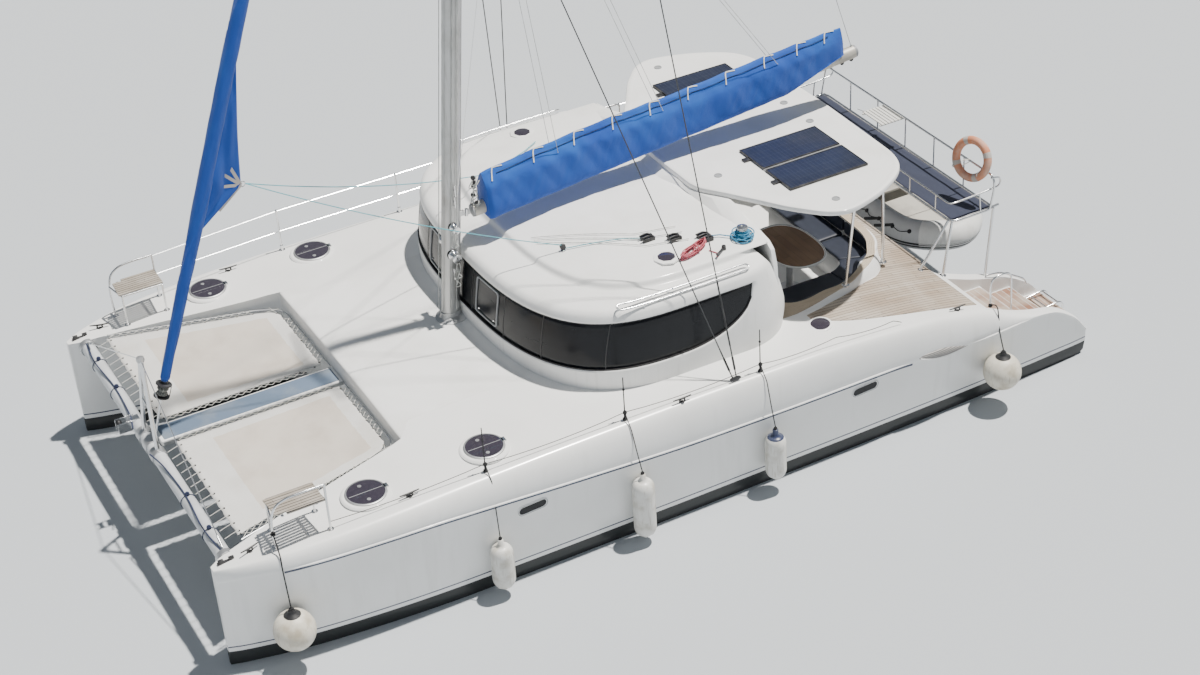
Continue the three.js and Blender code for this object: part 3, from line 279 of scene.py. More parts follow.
def piece(name, shapes, body="boat", stands_for=(), smooth=35, soften=0, merge=0):
    """One object from shapes or lists of shapes, each with a material, and its place on a body."""
    mesh = bpy.data.meshes.new(name)
    parts = [(part, m) for shape, m in shapes for part in (shape if isinstance(shape, list) else [shape])]
    vertices, faces = together([part for part, _ in parts])
    mesh.from_pydata(vertices.tolist(), [], faces)
    materials = list(dict.fromkeys(material for _, material in parts))
    for material in materials:
        mesh.materials.append(material)
    slots = [materials.index(m) for part, m in parts for _ in part[1]]
    mesh.polygons.foreach_set("material_index", slots)
    mesh.update()

    work = bmesh.new()
    work.from_mesh(mesh)
    if merge:
        bmesh.ops.remove_doubles(work, verts=work.verts, dist=merge)
    bmesh.ops.recalc_face_normals(work, faces=work.faces)
    work.to_mesh(mesh)
    work.free()
    mesh.shade_smooth()
    mesh.set_sharp_from_angle(angle=radians(smooth))
    made = bpy.data.objects.new(name, mesh)
    bpy.context.collection.objects.link(made)
    if soften:
        bevel = made.modifiers.new("soft_edges", "BEVEL")
        bevel.width = soften
        bevel.segments = 2
        bevel.limit_method = "ANGLE"
        bevel.angle_limit = radians(40)
    if body:
        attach(made, body)
    if stands_for:
        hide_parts(*stands_for)
    return made


def eased(x, xs, ys):
    """Smooth values through a table without overshoot: a monotone cubic."""
    xs, ys = np.asarray(xs, float), np.asarray(ys, float)
    if xs[0] > xs[-1]:
        xs, ys = xs[::-1], ys[::-1]
    step = np.diff(xs)
    slope = np.diff(ys) / step
    total = slope[1:] + slope[:-1]
    product = slope[1:] * slope[:-1]
    middle = np.where(product > 0, 2 * slope[1:] * slope[:-1] / np.where(total == 0, 1, total), 0)
    tangent = np.concatenate([[slope[0]], middle, [slope[-1]]])
    i = np.clip(np.searchsorted(xs, x) - 1, 0, len(step) - 1)
    t = np.clip((x - xs[i]) / step[i], 0, 1)
    start = ys[i] * (1 + 2 * t) * (1 - t) ** 2 + tangent[i] * step[i] * t * (1 - t) ** 2
    return start + ys[i + 1] * t * t * (3 - 2 * t) + tangent[i + 1] * step[i] * t * t * (t - 1)


def around(steps):
    """Angles all the way round, the last one left out."""
    return np.linspace(0, 2 * pi, steps + 1)[:-1]


# Stations, all in millimetres: x, keel z, inner and outer waterline y, knuckle y and z, deck edge y and z,
# inner deck edge y and z, inner side y at the height of the bridge deck's underside
HULL_STATIONS = np.array([
    [5790, -120, 2568, 2612, 2640, 1180, 2622, 1335, 2548, 1335, 2562],
    [5650, -260, 2520, 2655, 2730, 1215, 2690, 1360, 2475, 1358, 2500],
    [5400, -370, 2450, 2715, 2830, 1235, 2765, 1388, 2405, 1388, 2430],
    [5000, -460, 2340, 2800, 2950, 1245, 2840, 1425, 2290, 1430, 2320],
    [4300, -560, 2170, 2890, 3040, 1250, 2875, 1470, 2110, 1480, 2150],
    [3600, -620, 2040, 2950, 3075, 1240, 2885, 1500, 1940, 1530, 1990],
    [3225, -640, 1970, 2970, 3080, 1225, 2885, 1512, 1849, 1565, 1849],
    [3000, -650, 1940, 2978, 3083, 1212, 2885, 1518, 1600, 1595, 1600],
    [1500, -690, 1830, 3000, 3085, 1110, 2885, 1535, 1600, 1625, 1600],
    [0, -690, 1805, 3010, 3085, 1030, 2900, 1540, 1600, 1630, 1600],
    [-1500, -630, 1810, 3010, 3085, 1005, 2935, 1530, 1600, 1590, 1600],
    [-2600, -520, 1840, 3005, 3083, 1000, 2935, 1470, 1600, 1490, 1600],
    [-3300, -430, 1880, 2995, 3080, 960, 2915, 1400, 1600, 1400, 1600],
    [-4050, -320, 1930, 2980, 3068, 925, 2895, 1262, 1600, 1262, 1600],
    [-4110, -310, 1935, 2978, 3066, 925, 2895, 1245, 1900, 1245, 1915],
    [-4560, -230, 1985, 2965, 3050, 935, 2915, 1050, 1930, 1080, 1950],
    [-4880, -170, 2015, 2955, 3035, 930, 2940, 945, 1950, 985, 1965],
    [-5140, -120, 2040, 2945, 3015, 880, 2950, 890, 1975, 900, 1985],
    [-5500, -50, 2080, 2930, 2985, 660, 2945, 680, 2030, 690, 2040],
    [-5750, 40, 2120, 2910, 2950, 380, 2925, 395, 2080, 400, 2090],
]) / 1000
STEPS = [(-4.18, -4.7, 0.93), (-4.7, -5.18, 0.76), (-5.18, -5.66, 0.52)]
STEP_INNER_Y, STEP_OUTER_Y = 2.075, 2.88
UNDERSIDE_Z = 0.7
# The cockpit's recess in each deck: its outer wall in plan, and its floor
RECESS_WALL = ((-1.85, 1.86), (-1.96, 1.96), (-2.1, 1.99), (-2.4, 1.96), (-2.7, 1.935), (-2.9, 1.87),
    (-3.08, 1.76), (-3.15, 1.7))
RECESS_Z = 1.29
HULL_CENTRE_Y = 2.44


def station(x):
    """The hull's measures at a place along the boat, smooth between the stations."""
    return [x] + [float(eased(x, HULL_STATIONS[:, 0], HULL_STATIONS[:, k])) for k in range(1, 11)]


def deck_height(x, y):
    """Height of the cambered deck: highest on the centreline, through both edges of the hull's deck."""
    row = station(x)
    edge_y, edge_z, inner_y, inner_z = row[6:10]
    crown = (inner_z - edge_z) / (1 - (inner_y / edge_y) ** 2)
    return edge_z + crown * (1 - (abs(y) / edge_y) ** 2)


def hull_ring(x, tread):
    """One section of the port hull, from its inner deck edge outwards and round the bottom."""
    _, keel_z, in_y, out_y, knuckle_y, knuckle_z, edge_y, edge_z, inner_y, inner_z, under_y = station(x)
    well = [STEP_INNER_Y, STEP_INNER_Y + 0.004, STEP_OUTER_Y - 0.004, STEP_OUTER_Y]
    if tread is None:
        well = [inner_y + (edge_y - inner_y) * t for t in (0.1, 0.37, 0.63, 0.9)]
    ring = [(inner_y, inner_z)]
    for k, y in enumerate(well):
        y = min(max(y, inner_y + 0.01 * (k + 1)), edge_y - 0.01 * (4 - k))
        top = deck_height(x, y)
        ring.append((y, min(top, tread) if tread is not None and k in (1, 2) else top))
    if RECESS_WALL[-1][0] < x < RECESS_WALL[0][0]:
        wall = float(eased(x, *zip(*RECESS_WALL)))
        ring = [(inner_y, RECESS_Z), (wall - 0.002, RECESS_Z)]
        ring += [(y, deck_height(x, y))
            for y in (wall, wall + (edge_y - wall) * 0.35, wall + (edge_y - wall) * 0.75)]
    ring.append((edge_y, edge_z))
    for k in range(1, 9):
        turn = radians(90 * k / 8)
        ring.append((edge_y + (knuckle_y - edge_y) * sin(turn) ** 0.9,
            knuckle_z + (edge_z - knuckle_z) * cos(turn) ** 0.9))
    ring += [(knuckle_y - 0.004, knuckle_z - 0.012), (knuckle_y - 0.012, knuckle_z - 0.016)]
    foot = max(keel_z, 0)
    for t in (0.3, 0.6, 0.85):
        ring.append((knuckle_y - 0.012 + (out_y - knuckle_y + 0.012) * t + 0.012 * sin(pi * t),
            knuckle_z - 0.016 + (foot - knuckle_z + 0.016) * t))
    centre, half = (in_y + out_y) / 2, (out_y - in_y) / 2
    for k in range(17):
        turn = radians(-180 * k / 16)
        ring.append((centre + half * cos(turn), foot + (min(keel_z, 0) - 0.001) * -sin(turn)))
    low, high = min(0.45, inner_z * 0.5), min(UNDERSIDE_Z, inner_z * 0.8)
    ring += [(in_y + (under_y - in_y) * 0.2, (foot + low) / 2), (in_y + (under_y - in_y) * 0.35, low),
        (under_y, high), (inner_y, (high + inner_z) / 2)]
    return [(x, y, z) for y, z in ring]


places = [(float(x), None)
    for x in np.unique(np.concatenate([np.linspace(5.79, 5.0, 14), np.linspace(5.0, -4.05, 62),
    [3.225, 3.0, -1.849, -1.851, -3.149, -3.151, -4.11, -4.179]]))[::-1]]
for front, aft, tread in STEPS:
    places += [(x, tread) for x in np.linspace(front, aft + 0.001, 10)]
places += [(-5.6601, None), (-5.71, None), (-5.75, None)]
port_hull = skin([hull_ring(x, tread) for x, tread in places])
KEEL_LEVELS = ((-1.08, 0.95, 0.055), (-1.02, 1.0, 0.06), (-0.3, 1.15, 0.075))
keel = skin([[(-0.1 + half * cos(a), HULL_CENTRE_Y + width * sin(a), z) for a in around(48)]
    for z, half, width in KEEL_LEVELS])
for side, turn_side in SIDES:
    piece(f"hull_moulding_{side}", [(turn_side([port_hull, keel]), topsides)], stands_for=[f"hull_{side}"],
        smooth=32, soften=0.004)

# Foredeck. One cambered glass-fibre deck between the hulls, from the nets back to the coachroof,
# with a rounded front edge above the net's lashing rail.
NET_AFT_X = 3.225
NET_CORNER_Y = 1.849
DECK_INNER_Y = 1.6
GAP = 0.0006


def bumped(shader, height, strength, distance):
    """Feeds a height to the shader's normal through a Bump node."""
    relief = {"Height": height, "Strength": strength, "Distance": distance}
    feed(shader, {"Normal": node(shader.id_data, "ShaderNodeBump", relief).outputs["Normal"]})


# Deck mouldings have fields of fine raised dots for grip on their level parts
deck_white, tree, shader, white = gelcoat("deck_white", WHITE, amount=0.2, scale=1.6, roughness=0.42)
dots = node(tree, "ShaderNodeTexVoronoi", {"Vector": node(tree, "ShaderNodeTexCoord").outputs["Object"],
    "Scale": 95.0, "Randomness": 0.15})
level = node(tree, "ShaderNodeSeparateXYZ", {0: node(tree, "ShaderNodeNewGeometry").outputs["Normal"]})
grip = maths("MULTIPLY", ramp(dots.outputs["Distance"], 0.45, 0.2), ramp(level.outputs["Z"], 0.97, 0.99))
bumped(shader, grip, 0.5, 0.0015)


def deck_half_width(x):
    return DECK_INNER_Y + (NET_CORNER_Y - DECK_INNER_Y) * max(0, (x - 3.0) / (NET_AFT_X - 3.0)) - GAP


def foredeck_ring(x, lift=0.0):
    half = deck_half_width(x)
    top = [(x, y, deck_height(x, y) - lift) for y in np.linspace(half, -half, 25)]
    return top + [(x, -half, UNDERSIDE_Z), (x, half, UNDERSIDE_Z)]


ROUNDING = ((-0.03, 0.0), (-0.012, 0.003), (-0.004, 0.009), (0.0, 0.024))
deck_places = [(x, 0.0) for x in np.linspace(1.2, NET_AFT_X - 0.06, 24)]
deck_places += [(NET_AFT_X + back, drop) for back, drop in ROUNDING]
piece("foredeck_moulding", [(skin([foredeck_ring(x, drop) for x, drop in deck_places]), deck_white)],
    stands_for=["foredeck"], smooth=40)

# Coachroof. A white shell with a brow over its wraparound windows, a soft raised panel on top,
# and side walls that curl inwards behind the saloon.
# Height, front x, half width, x where the side straightens, roundness of the plan
ROOF_LEVELS = np.array([
    (1.45, 1.575, 2.5, -0.2, 2.9), (1.6, 1.568, 2.5, -0.2, 2.9), (1.85, 1.565, 2.505, -0.18, 2.9),
    (2.45, 1.48, 2.44, -0.3, 3.0), (2.52, 1.46, 2.425, -0.32, 3.0), (2.56, 1.425, 2.4, -0.34, 3.0),
    (2.585, 1.36, 2.355, -0.4, 3.0), (2.602, 1.25, 2.29, -0.45, 3.0), (2.625, 1.06, 2.2, -0.56, 3.0),
    (2.632, 1.01, 2.175, -0.59, 3.1), (2.655, 0.985, 2.155, -0.6, 3.1), (2.69, 0.965, 2.14, -0.6, 3.1),
    (2.706, 0.935, 2.118, -0.62, 3.1), (2.715, 0.88, 2.07, -0.65, 3.1), (2.75, 0.64, 1.82, -0.72, 3.0),
    (2.785, 0.36, 1.5, -0.8, 3.0), (2.812, -0.05, 1.0, -0.88, 3.0), (2.825, -0.5, 0.4, -1.0, 2.8),
])
ROOF_AFT_X = -1.5
CURL_START_X = -1.0
FRONT_STEPS, SIDE_STEPS, CURL_STEPS = 40, 12, 14


def roof_level(z):
    return [float(eased(z, ROOF_LEVELS[:, 0], ROOF_LEVELS[:, k])) for k in range(1, 5)]


# Where the coachroof's aft corner ends at each height, and how far in from the side
FIN_Z = (1.45, 1.6, 1.75, 1.88, 2.0, 2.15, 2.35, 2.68)
FIN_X = (-1.755, -1.745, -1.74, -1.73, -1.7, -1.66, -1.56, -1.3)
FIN_IN = (0.62, 0.566, 0.505, 0.475, 0.45, 0.44, 0.34, 0.1)


def roof_outline(z, inset=0.0):
    """The port half of the coachroof's plan at a height, from its aft end to the middle of its front."""
    front, half, straight, n = roof_level(z)
    front, half = front - inset, half - inset
    points = []
    if z < 2.68:
        end_x, end_y = float(eased(z, FIN_Z, FIN_X)), half - float(eased(z, FIN_Z, FIN_IN))
        for k in range(CURL_STEPS):
            turn = pi / 2 * (1 - k / CURL_STEPS)
            points.append((CURL_START_X + (end_x - CURL_START_X) * sin(turn),
                end_y + (half - end_y) * cos(turn)))
    else:
        points = [(ROOF_AFT_X + (CURL_START_X - ROOF_AFT_X) * k / CURL_STEPS, half)
            for k in range(CURL_STEPS)]
    points += [(CURL_START_X + (straight - CURL_START_X) * k / SIDE_STEPS, half) for k in range(SIDE_STEPS)]
    for k in range(FRONT_STEPS + 1):
        turn = pi / 2 * (1 - k / FRONT_STEPS)
        points.append((straight + (front - straight) * cos(turn) ** (2 / n), half * sin(turn) ** (2 / n)))
    return points


COLUMNS = len(roof_outline(2.0))
WINDOW_LOW_Z, WINDOW_HIGH_Z = 1.85, 2.44
WINDOW_TIP_X, WINDOW_SWEEP_X = -1.12, -0.16
sill_x = [x for x, _ in roof_outline(2.15)]


def window_low(x):
    """Height of the window's lower edge, which sweeps up to meet the upper one at its aft tip."""
    along = min(max((WINDOW_SWEEP_X - x) / (WINDOW_SWEEP_X - WINDOW_TIP_X), 0), 1)
    return WINDOW_HIGH_Z - (WINDOW_HIGH_Z - WINDOW_LOW_Z) * sqrt(1 - along * along)


def roof_rows(heights_of, inset=0.0):
    """Rows of points over both sides; heights_of gives each column's heights from bottom to top."""
    columns = [heights_of(x) for x in sill_x]
    rows = []
    for r in range(len(columns[0])):
        half = [(*roof_outline(columns[c][r], inset)[c], columns[c][r]) for c in range(COLUMNS)]
        rows.append(half + [(x, -y, z) for x, y, z in reversed(half[:-1])])
    return rows


def spread(low, high, count):
    return [low + (high - low) * k / (count - 1) for k in range(count)]


def crown_heights(x):
    own = [z for z in ROOF_LEVELS[:, 0] if z > 2.53]
    return spread(WINDOW_HIGH_Z, 2.53, 6) + [z for a, b in zip(own, own[1:])
        for z in (a, (a + b) / 2)] + own[-1:]


lower_wall = skin(roof_rows(lambda x: spread(1.46, window_low(x), 14)), closed=False)
upper_roof = skin(roof_rows(crown_heights), closed=False)
top_ring = roof_rows(lambda x: [ROOF_LEVELS[-1, 0]])[0]
roof_cap = (np.array(top_ring), [tuple(range(len(top_ring)))])
coachroof = piece("coachroof_shell",
    [(lower_wall, deck_white), (upper_roof, deck_white), (roof_cap, deck_white)], stands_for=["coachroof"],
    smooth=38, merge=0.0015)


def thickened(made, name, thickness, offset=-1):
    """Gives a surface its thickness, inwards unless an offset says otherwise."""
    solid = made.modifiers.new(name, "SOLIDIFY")
    solid.thickness = thickness
    solid.offset = offset
    return solid


thickened(coachroof, "wall", 0.042).use_even_offset = True


# Windows. One band of dark tinted acrylic, bonded in a rebate behind the openings and dark round
# its edges, with fine joints and one framed pane that opens beside the mast.
def texture(tree, kind, scale, detail=None, bands=None):
    """The value of a noise, wave or cell texture; bands run along a direction of the object itself."""
    values = {"Scale": scale}
    if detail is not None:
        values[{"Noise": "Detail", "Wave": "Distortion", "Voronoi": "Randomness"}[kind]] = detail
    if bands:
        values["Vector"] = node(tree, "ShaderNodeTexCoord").outputs["Object"]
        return node(tree, "ShaderNodeTexWave", values, bands_direction=bands).outputs[0]
    return node(tree, f"ShaderNodeTex{kind}", values).outputs[0]


def surface(name, colour, roughness, worn=None, tones=None, gloss=None, relief=None, **sockets):
    """A material. worn: clean and stained colour, amount and scale of the weathering; tones: two
    colours, the texture between them and its limits; gloss: a texture and limits for the
    roughness; relief: a texture, strength and distance for the bump."""
    made, tree, shader = finish(name, colour, roughness, **sockets)
    if worn:
        wear = placed(tree, weathered, Clean=(*worn[0], 1), Stain=(*worn[1], 1), Amount=worn[2],
            Scale=worn[3])
        feed(shader, {"Base Color": wear.outputs["Color"]})
    if tones:
        dark, pale, pattern, *limits = tones
        share = texture(tree, *pattern)
        feed(shader, {"Base Color": mixed(ramp(share, *limits) if limits else share, dark, pale)})
    if gloss:
        pattern, low, high = gloss
        feed(shader, {"Roughness": ramp(texture(tree, *pattern), low, high)})
    if relief:
        pattern, strength, distance = relief
        height = wear.outputs["Height"] if pattern == "worn" else texture(tree, *pattern)
        bumped(shader, height, strength, distance)
    return made


tinted = surface("tinted_acrylic", (0.004, 0.005, 0.008), 0.05, gloss=(("Noise", 9.0, 7.0), -0.6, 3.2),
    tones=((0.003, 0.004, 0.006), (0.012, 0.013, 0.016), ("Noise", 2.2, 5.0)), Specular_IOR_Level=0.28,
    Alpha=0.94)


def glass_heights(x):
    return spread(window_low(x) - 0.012 * (x > WINDOW_TIP_X), WINDOW_HIGH_Z + 0.006, 9)


first = next(c for c, x in enumerate(sill_x) if x > WINDOW_TIP_X) - 1
glass_rows = [row[first:len(row) - first] for row in roof_rows(glass_heights, inset=0.02)]
glass = piece("saloon_glass", [(skin(glass_rows, closed=False), tinted)], stands_for=["saloon_windows"],
    smooth=50)
thickened(glass, "pane", 0.008)

# Roof step. A sloped white face that joins the coachroof to the cockpit roof above it, moulded in
# one bent sheet across the boat.
RISER_FOOT = ((-0.83, 0.0), (-0.92, 0.4), (-1.19, 1.09), (-1.26, 1.78), (-1.34, 1.98))
RISER_HEAD = ((-1.225, 0.0), (-1.23, 0.4), (-1.24, 0.88), (-1.33, 1.15), (-1.44, 1.4))
HARDTOP_UNDER_Z = 2.88


def riser_line(points, z):
    port = [(ROOF_AFT_X, points[-1][1], z)] + [(x, y, z) for x, y in reversed(points)]
    return port + [(x, -y, z) for x, y, z in reversed(port[:-1])]


piece("roof_step",
    [(skin([riser_line(RISER_FOOT, 2.7), riser_line(RISER_HEAD, HARDTOP_UNDER_Z)]), deck_white)],
    smooth=30, soften=0.012)

# Aft bulkhead. A moulded panel across the back of the saloon with windows either side of a
# dark sliding door, which runs on a rail towards starboard.
BULKHEAD_X = (-1.55, -1.5)


def rectangle(a0, a1, b0, b1):
    return [(a0, b0), (a1, b0), (a1, b1), (a0, b1)]


def rounded(outline, radius, steps=4):
    """The outline with its corners rounded."""
    made = []
    count = len(outline)
    for i in range(count):
        before, corner, after = (Vector(outline[(i + k) % count]) for k in (-1, 0, 1))
        r = min(radius, (before - corner).length * 0.45, (after - corner).length * 0.45)
        a = corner + (before - corner).normalized() * r
        b = corner + (after - corner).normalized() * r
        for k in range(steps + 1):
            t = k / steps
            made.append(tuple(a * (1 - t) ** 2 + corner * 2 * t * (1 - t) + b * t * t))
    return made


DOOR_HALF = 0.44
half_wall = [(2.3, 1.6), (2.29, 2.1), (2.26, 2.45), (2.2, 2.62), (2.1, 2.69), (1.8, 2.745), (1.4, 2.785),
    (0.9, 2.81), (0.0, 2.822)]
wall_outline = [(-1.598, 0.952), (1.598, 0.952), (1.598, 1.6)] + half_wall
wall_outline += [(-y, z) for y, z in reversed(half_wall[:-1])] + [(-1.598, 1.6)]
bulkhead_window = rounded([(0.6, 1.72), (1.34, 1.72), (1.5, 2.0), (1.36, 2.34), (0.6, 2.34)], 0.09)
door_hole = rectangle(-DOOR_HALF, DOOR_HALF, 1.01, 2.42)


def holed_plate(outline, holes, x0, x1):
    """A plate across the boat with holes, filled by a flat curve."""
    flat = bpy.data.curves.new("plate", "CURVE")
    flat.dimensions = "2D"
    flat.fill_mode = "BOTH"
    flat.extrude = (x1 - x0) / 2
    for loop in [outline] + holes:
        spline = flat.splines.new("POLY")
        spline.points.add(len(loop) - 1)
        for point, (y, z) in zip(spline.points, loop):
            point.co = (y, z, 0, 1)
        spline.use_cyclic_u = True
    holder = bpy.data.objects.new("plate", flat)
    made = holder.to_mesh()
    points = np.array([((x0 + x1) / 2 + v.co.z, v.co.x, v.co.y) for v in made.vertices])
    faces = [tuple(p.vertices) for p in made.polygons]
    holder.to_mesh_clear()
    bpy.data.objects.remove(holder)
    bpy.data.curves.remove(flat)
    return points, faces


mirror_window = [(-y, z) for y, z in reversed(bulkhead_window)]
piece("saloon_bulkhead",
    [(holed_plate(wall_outline, [door_hole, bulkhead_window, mirror_window], *BULKHEAD_X), deck_white)],
    stands_for=["aft_bulkhead"], smooth=30, merge=0.0005)

# Cockpit roof. A flat white moulding with rounded edges and a grey liner below, on four steel
# posts, with round blanks and a solar panel of two modules on either side.
HARDTOP_HALF = ((-1.23, 0.0), (-1.235, 0.5), (-1.26, 0.9), (-1.46, 1.22), (-1.7, 1.59), (-1.9, 1.91),
    (-2.06, 2.11), (-2.23, 2.29), (-2.43, 2.385), (-2.65, 2.37), (-3.07, 2.225), (-3.45, 1.985),
    (-3.62, 1.76), (-3.69, 1.45), (-3.73, 0.0))


def block(x0, x1, y0, y1, z0, z1):
    return skin([[(x, y, z) for x, y in rectangle(x0, x1, y0, y1)] for z in (z0, z1)])


def bar(a, b, radius, sides=12, end_radius=None):
    """A round bar between two points."""
    a, b = Vector(a), Vector(b)
    turn = (b - a).to_track_quat("Z", "X")
    rings = []
    for centre, r in ((a, radius), (b, radius if end_radius is None else end_radius)):
        rings.append([centre + turn @ vec(r * cos(t), r * sin(t), 0) for t in around(sides)])
    return skin(rings)


def curved(points, steps):
    """Points along a smooth curve through the given ones."""
    p = np.array([points[0]] + list(points) + [points[-1]], float)
    spans = np.linalg.norm(np.diff(p, axis=0), axis=1)
    tangents = (p[2:] - p[:-2]) / 2
    reach = np.minimum(spans[:-1], spans[1:])
    reach[0], reach[-1] = spans[1], spans[-2]
    tangents *= np.minimum(1, reach / np.maximum(np.linalg.norm(tangents, axis=1), 1e-9))[:, None]
    p = p[1:-1]
    made = []
    for i in range(len(p) - 1):
        for t in np.linspace(0, 1, steps, endpoint=False):
            start = p[i] * (1 + 2 * t) * (1 - t) ** 2 + tangents[i] * t * (1 - t) ** 2
            made.append(start + p[i + 1] * t * t * (3 - 2 * t) + tangents[i + 1] * t * t * (t - 1))
    return made + [p[-1]]


def turned(profile, centre, axis=(0, 0, 1), steps=32):
    """A shape turned from a profile of radius and height about an axis through a centre."""
    turn = Vector(axis).to_track_quat("Z", "Y")
    rings = []
    for r, h in profile:
        rings.append([Vector(centre) + turn @ vec(max(r, 1e-4) * cos(t), max(r, 1e-4) * sin(t), h)
            for t in around(steps)])
    return skin(rings)


def mirrored_outline(half):
    return list(half) + [(x, -y) for x, y in reversed(half[1:-1])]


def inset(outline, distance):
    """A plan outline moved inwards by a distance."""
    p = np.array([tuple(q)[:2] for q in outline])
    along = np.roll(p, -1, 0) - np.roll(p, 1, 0)
    along /= np.linalg.norm(along, axis=1)[:, None]
    area = np.sum(p[:, 0] * np.roll(p[:, 1], -1) - p[:, 1] * np.roll(p[:, 0], -1))
    inward = np.stack([-along[:, 1], along[:, 0]], 1) * copysign(1, area)
    return [tuple(q) for q in p + inward * distance]


def slab(outline, profile):
    """A plate from its outline and an edge profile of inset and height."""
    return skin([[(x, y, z) for x, y in inset(outline, d)] for d, z in profile])


roof_plan = mirrored_outline([tuple(p)[:2] for p in curved([(x, y, 0) for x, y in HARDTOP_HALF], 4)])
EDGE = ((0.1, 2.884), (0.012, 2.88), (0.003, 2.885), (0.0, 2.895), (0.0, 2.928), (0.006, 2.942),
    (0.018, 2.949), (0.06, 2.9495), (0.075, 2.9465), (0.1, 2.946))
liner = surface("roof_liner", (0.5, 0.51, 0.52), 0.7,
    tones=((0.38, 0.39, 0.4), (0.6, 0.61, 0.62), ("Noise", 260.0, 3.0)))
under = slab(roof_plan, ((0.11, 2.8835), (0.11, 2.8815)))
steel = surface("polished_steel", (0.72, 0.73, 0.74), 0.16, gloss=(("Noise", 28.0, 6.0), -1.2, 4.6),
    Metallic=1.0)
grey_plastic = surface("grey_plastic", (0.3, 0.31, 0.32), 0.5, relief=(("Noise", 900.0, 2.0), 0.25, 0.0008))
POST_HEAD_Z = 2.884
# Foot and head of each post: x, y, z, then x, y
ROOF_POSTS = ((-2.74, 1.93, 1.556, -2.74, 2.13), (-3.56, 1.56, 1.42, -3.5, 1.6))
posts = []
for x, y, z, head_x, head_y in ROOF_POSTS:
    foot, head = vec(x, y, z), vec(head_x, head_y, POST_HEAD_Z)
    posts.append(bar(foot, head, 0.019, 16))
    posts.append(turned(((0, 0), (0.05, 0), (0.05, 0.006), (0.026, 0.012), (0.024, 0.05), (0, 0.05)), foot))
    posts.append(turned(((0, 0), (0.026, 0), (0.026, 0.035), (0.055, 0.041), (0.055, 0.048), (0, 0.048)),
        head - vec(0, 0, 0.048)))
BLANKS = ((-1.62, 0.84), (-3.3, 0.3), (-2.48, 2.1))
blanks = [turned(((0, -0.004), (0.052, -0.004), (0.05, 0.006), (0.036, 0.008), (0.034, 0.003), (0, 0.003)),
    (x, side * y, 2.9475)) for x, y in BLANKS for side in (1, -1)]
piece("cockpit_roof", [(slab(roof_plan, EDGE), deck_white), (under, liner), (posts, steel),
    (flipped(posts), steel), (blanks, grey_plastic)], stands_for=["hardtop"], smooth=35)

cells, tree, shader = finish("solar_cells", (0.012, 0.016, 0.04), 0.3, Coat_Weight=0.25, Coat_Roughness=0.12)


def grid_lines(coordinate, pitch, width):
    """1 on lines across one coordinate at a pitch."""
    share = maths("FRACT", maths("DIVIDE", coordinate, pitch))
    return maths("GREATER_THAN", maths("ABSOLUTE", maths("SUBTRACT", share, 0.5)), 0.5 - width / pitch / 2)


spot = node(tree, "ShaderNodeSeparateXYZ", {0: node(tree, "ShaderNodeTexCoord").outputs["Object"]})
seams = maths("MAXIMUM", grid_lines(spot.outputs["X"], 0.157, 0.004),
    grid_lines(spot.outputs["Y"], 0.1345, 0.004))
fingers = maths("MULTIPLY", grid_lines(spot.outputs["X"], 0.052, 0.0022), 0.35)
tint = node(tree, "ShaderNodeTexNoise", {"Scale": 3.0, "Detail": 3.0})
base = mixed(tint.outputs[0], (0.008, 0.011, 0.026), (0.018, 0.024, 0.052))
grid = maths("MAXIMUM", maths("MULTIPLY", seams, 0.16), fingers)
feed(shader, {"Base Color": mixed(grid, base, (0.22, 0.24, 0.28))})
PANEL_X = (-3.25, -2.14)
MODULES_Y = ((0.485, 1.04), (1.085, 1.65))
MODULE_Z, CELL_Z = (2.9515, 2.978), (2.953, 2.973)
RIM = 0.014
alloy = surface("satin_alloy", (0.56, 0.57, 0.58), 0.42, Metallic=0.85,
    worn=((0.58, 0.59, 0.6), (0.36, 0.36, 0.36), 0.5, 3.0))
black_plastic = surface("black_plastic", (0.016, 0.016, 0.018), 0.45,
    worn=((0.014, 0.014, 0.016), (0.09, 0.09, 0.09), 0.6, 8.0))
for side_name, side in (("port", 1), ("starboard", -1)):
    frames, faces = [], []
    for y0, y1 in MODULES_Y:
        y0, y1 = sorted((side * y0, side * y1))
        faces.append(block(PANEL_X[0] + RIM, PANEL_X[1] - RIM, y0 + RIM, y1 - RIM, *CELL_Z))
        frames += [block(*PANEL_X, y0, y0 + RIM, *MODULE_Z), block(*PANEL_X, y1 - RIM, y1, *MODULE_Z)]
        frames += [block(x, x + RIM, y0 + RIM, y1 - RIM, *MODULE_Z) for x in (PANEL_X[0], PANEL_X[1] - RIM)]
    bridge = block(*PANEL_X, *sorted((side * 1.041, side * 1.084)), 2.9515, 2.964)
    boxes = [block(-2.135, -2.05, side * y - 0.04, side * y + 0.04, 2.951, 2.968) for y in (0.72, 1.38)]
    piece(f"solar_modules_{side_name}",
        [(faces, cells), (frames, black_plastic), (bridge, alloy), (boxes, black_plastic)],
        stands_for=[f"solar_panel_{side_name}"], soften=0.0015)

# Mast. A tall oval alloy section raked aft, with a sail track, spreaders, winches, rope clutches,
# a foot plate and its stays.
MAST_FOOT = vec(1.71, 0, 1.6)
MAST_RAKE = radians(6)
MAST_TOP_Z = 16.6
HOUNDS_Z = 15.1
SPREADER_Z = 8.6
MAST_HALF = (0.115, 0.075)


def mast_point(z, forward=0.0, y=0.0):
    return vec(MAST_FOOT.x - (z - MAST_FOOT.z) * tan(MAST_RAKE) + forward, y, z)


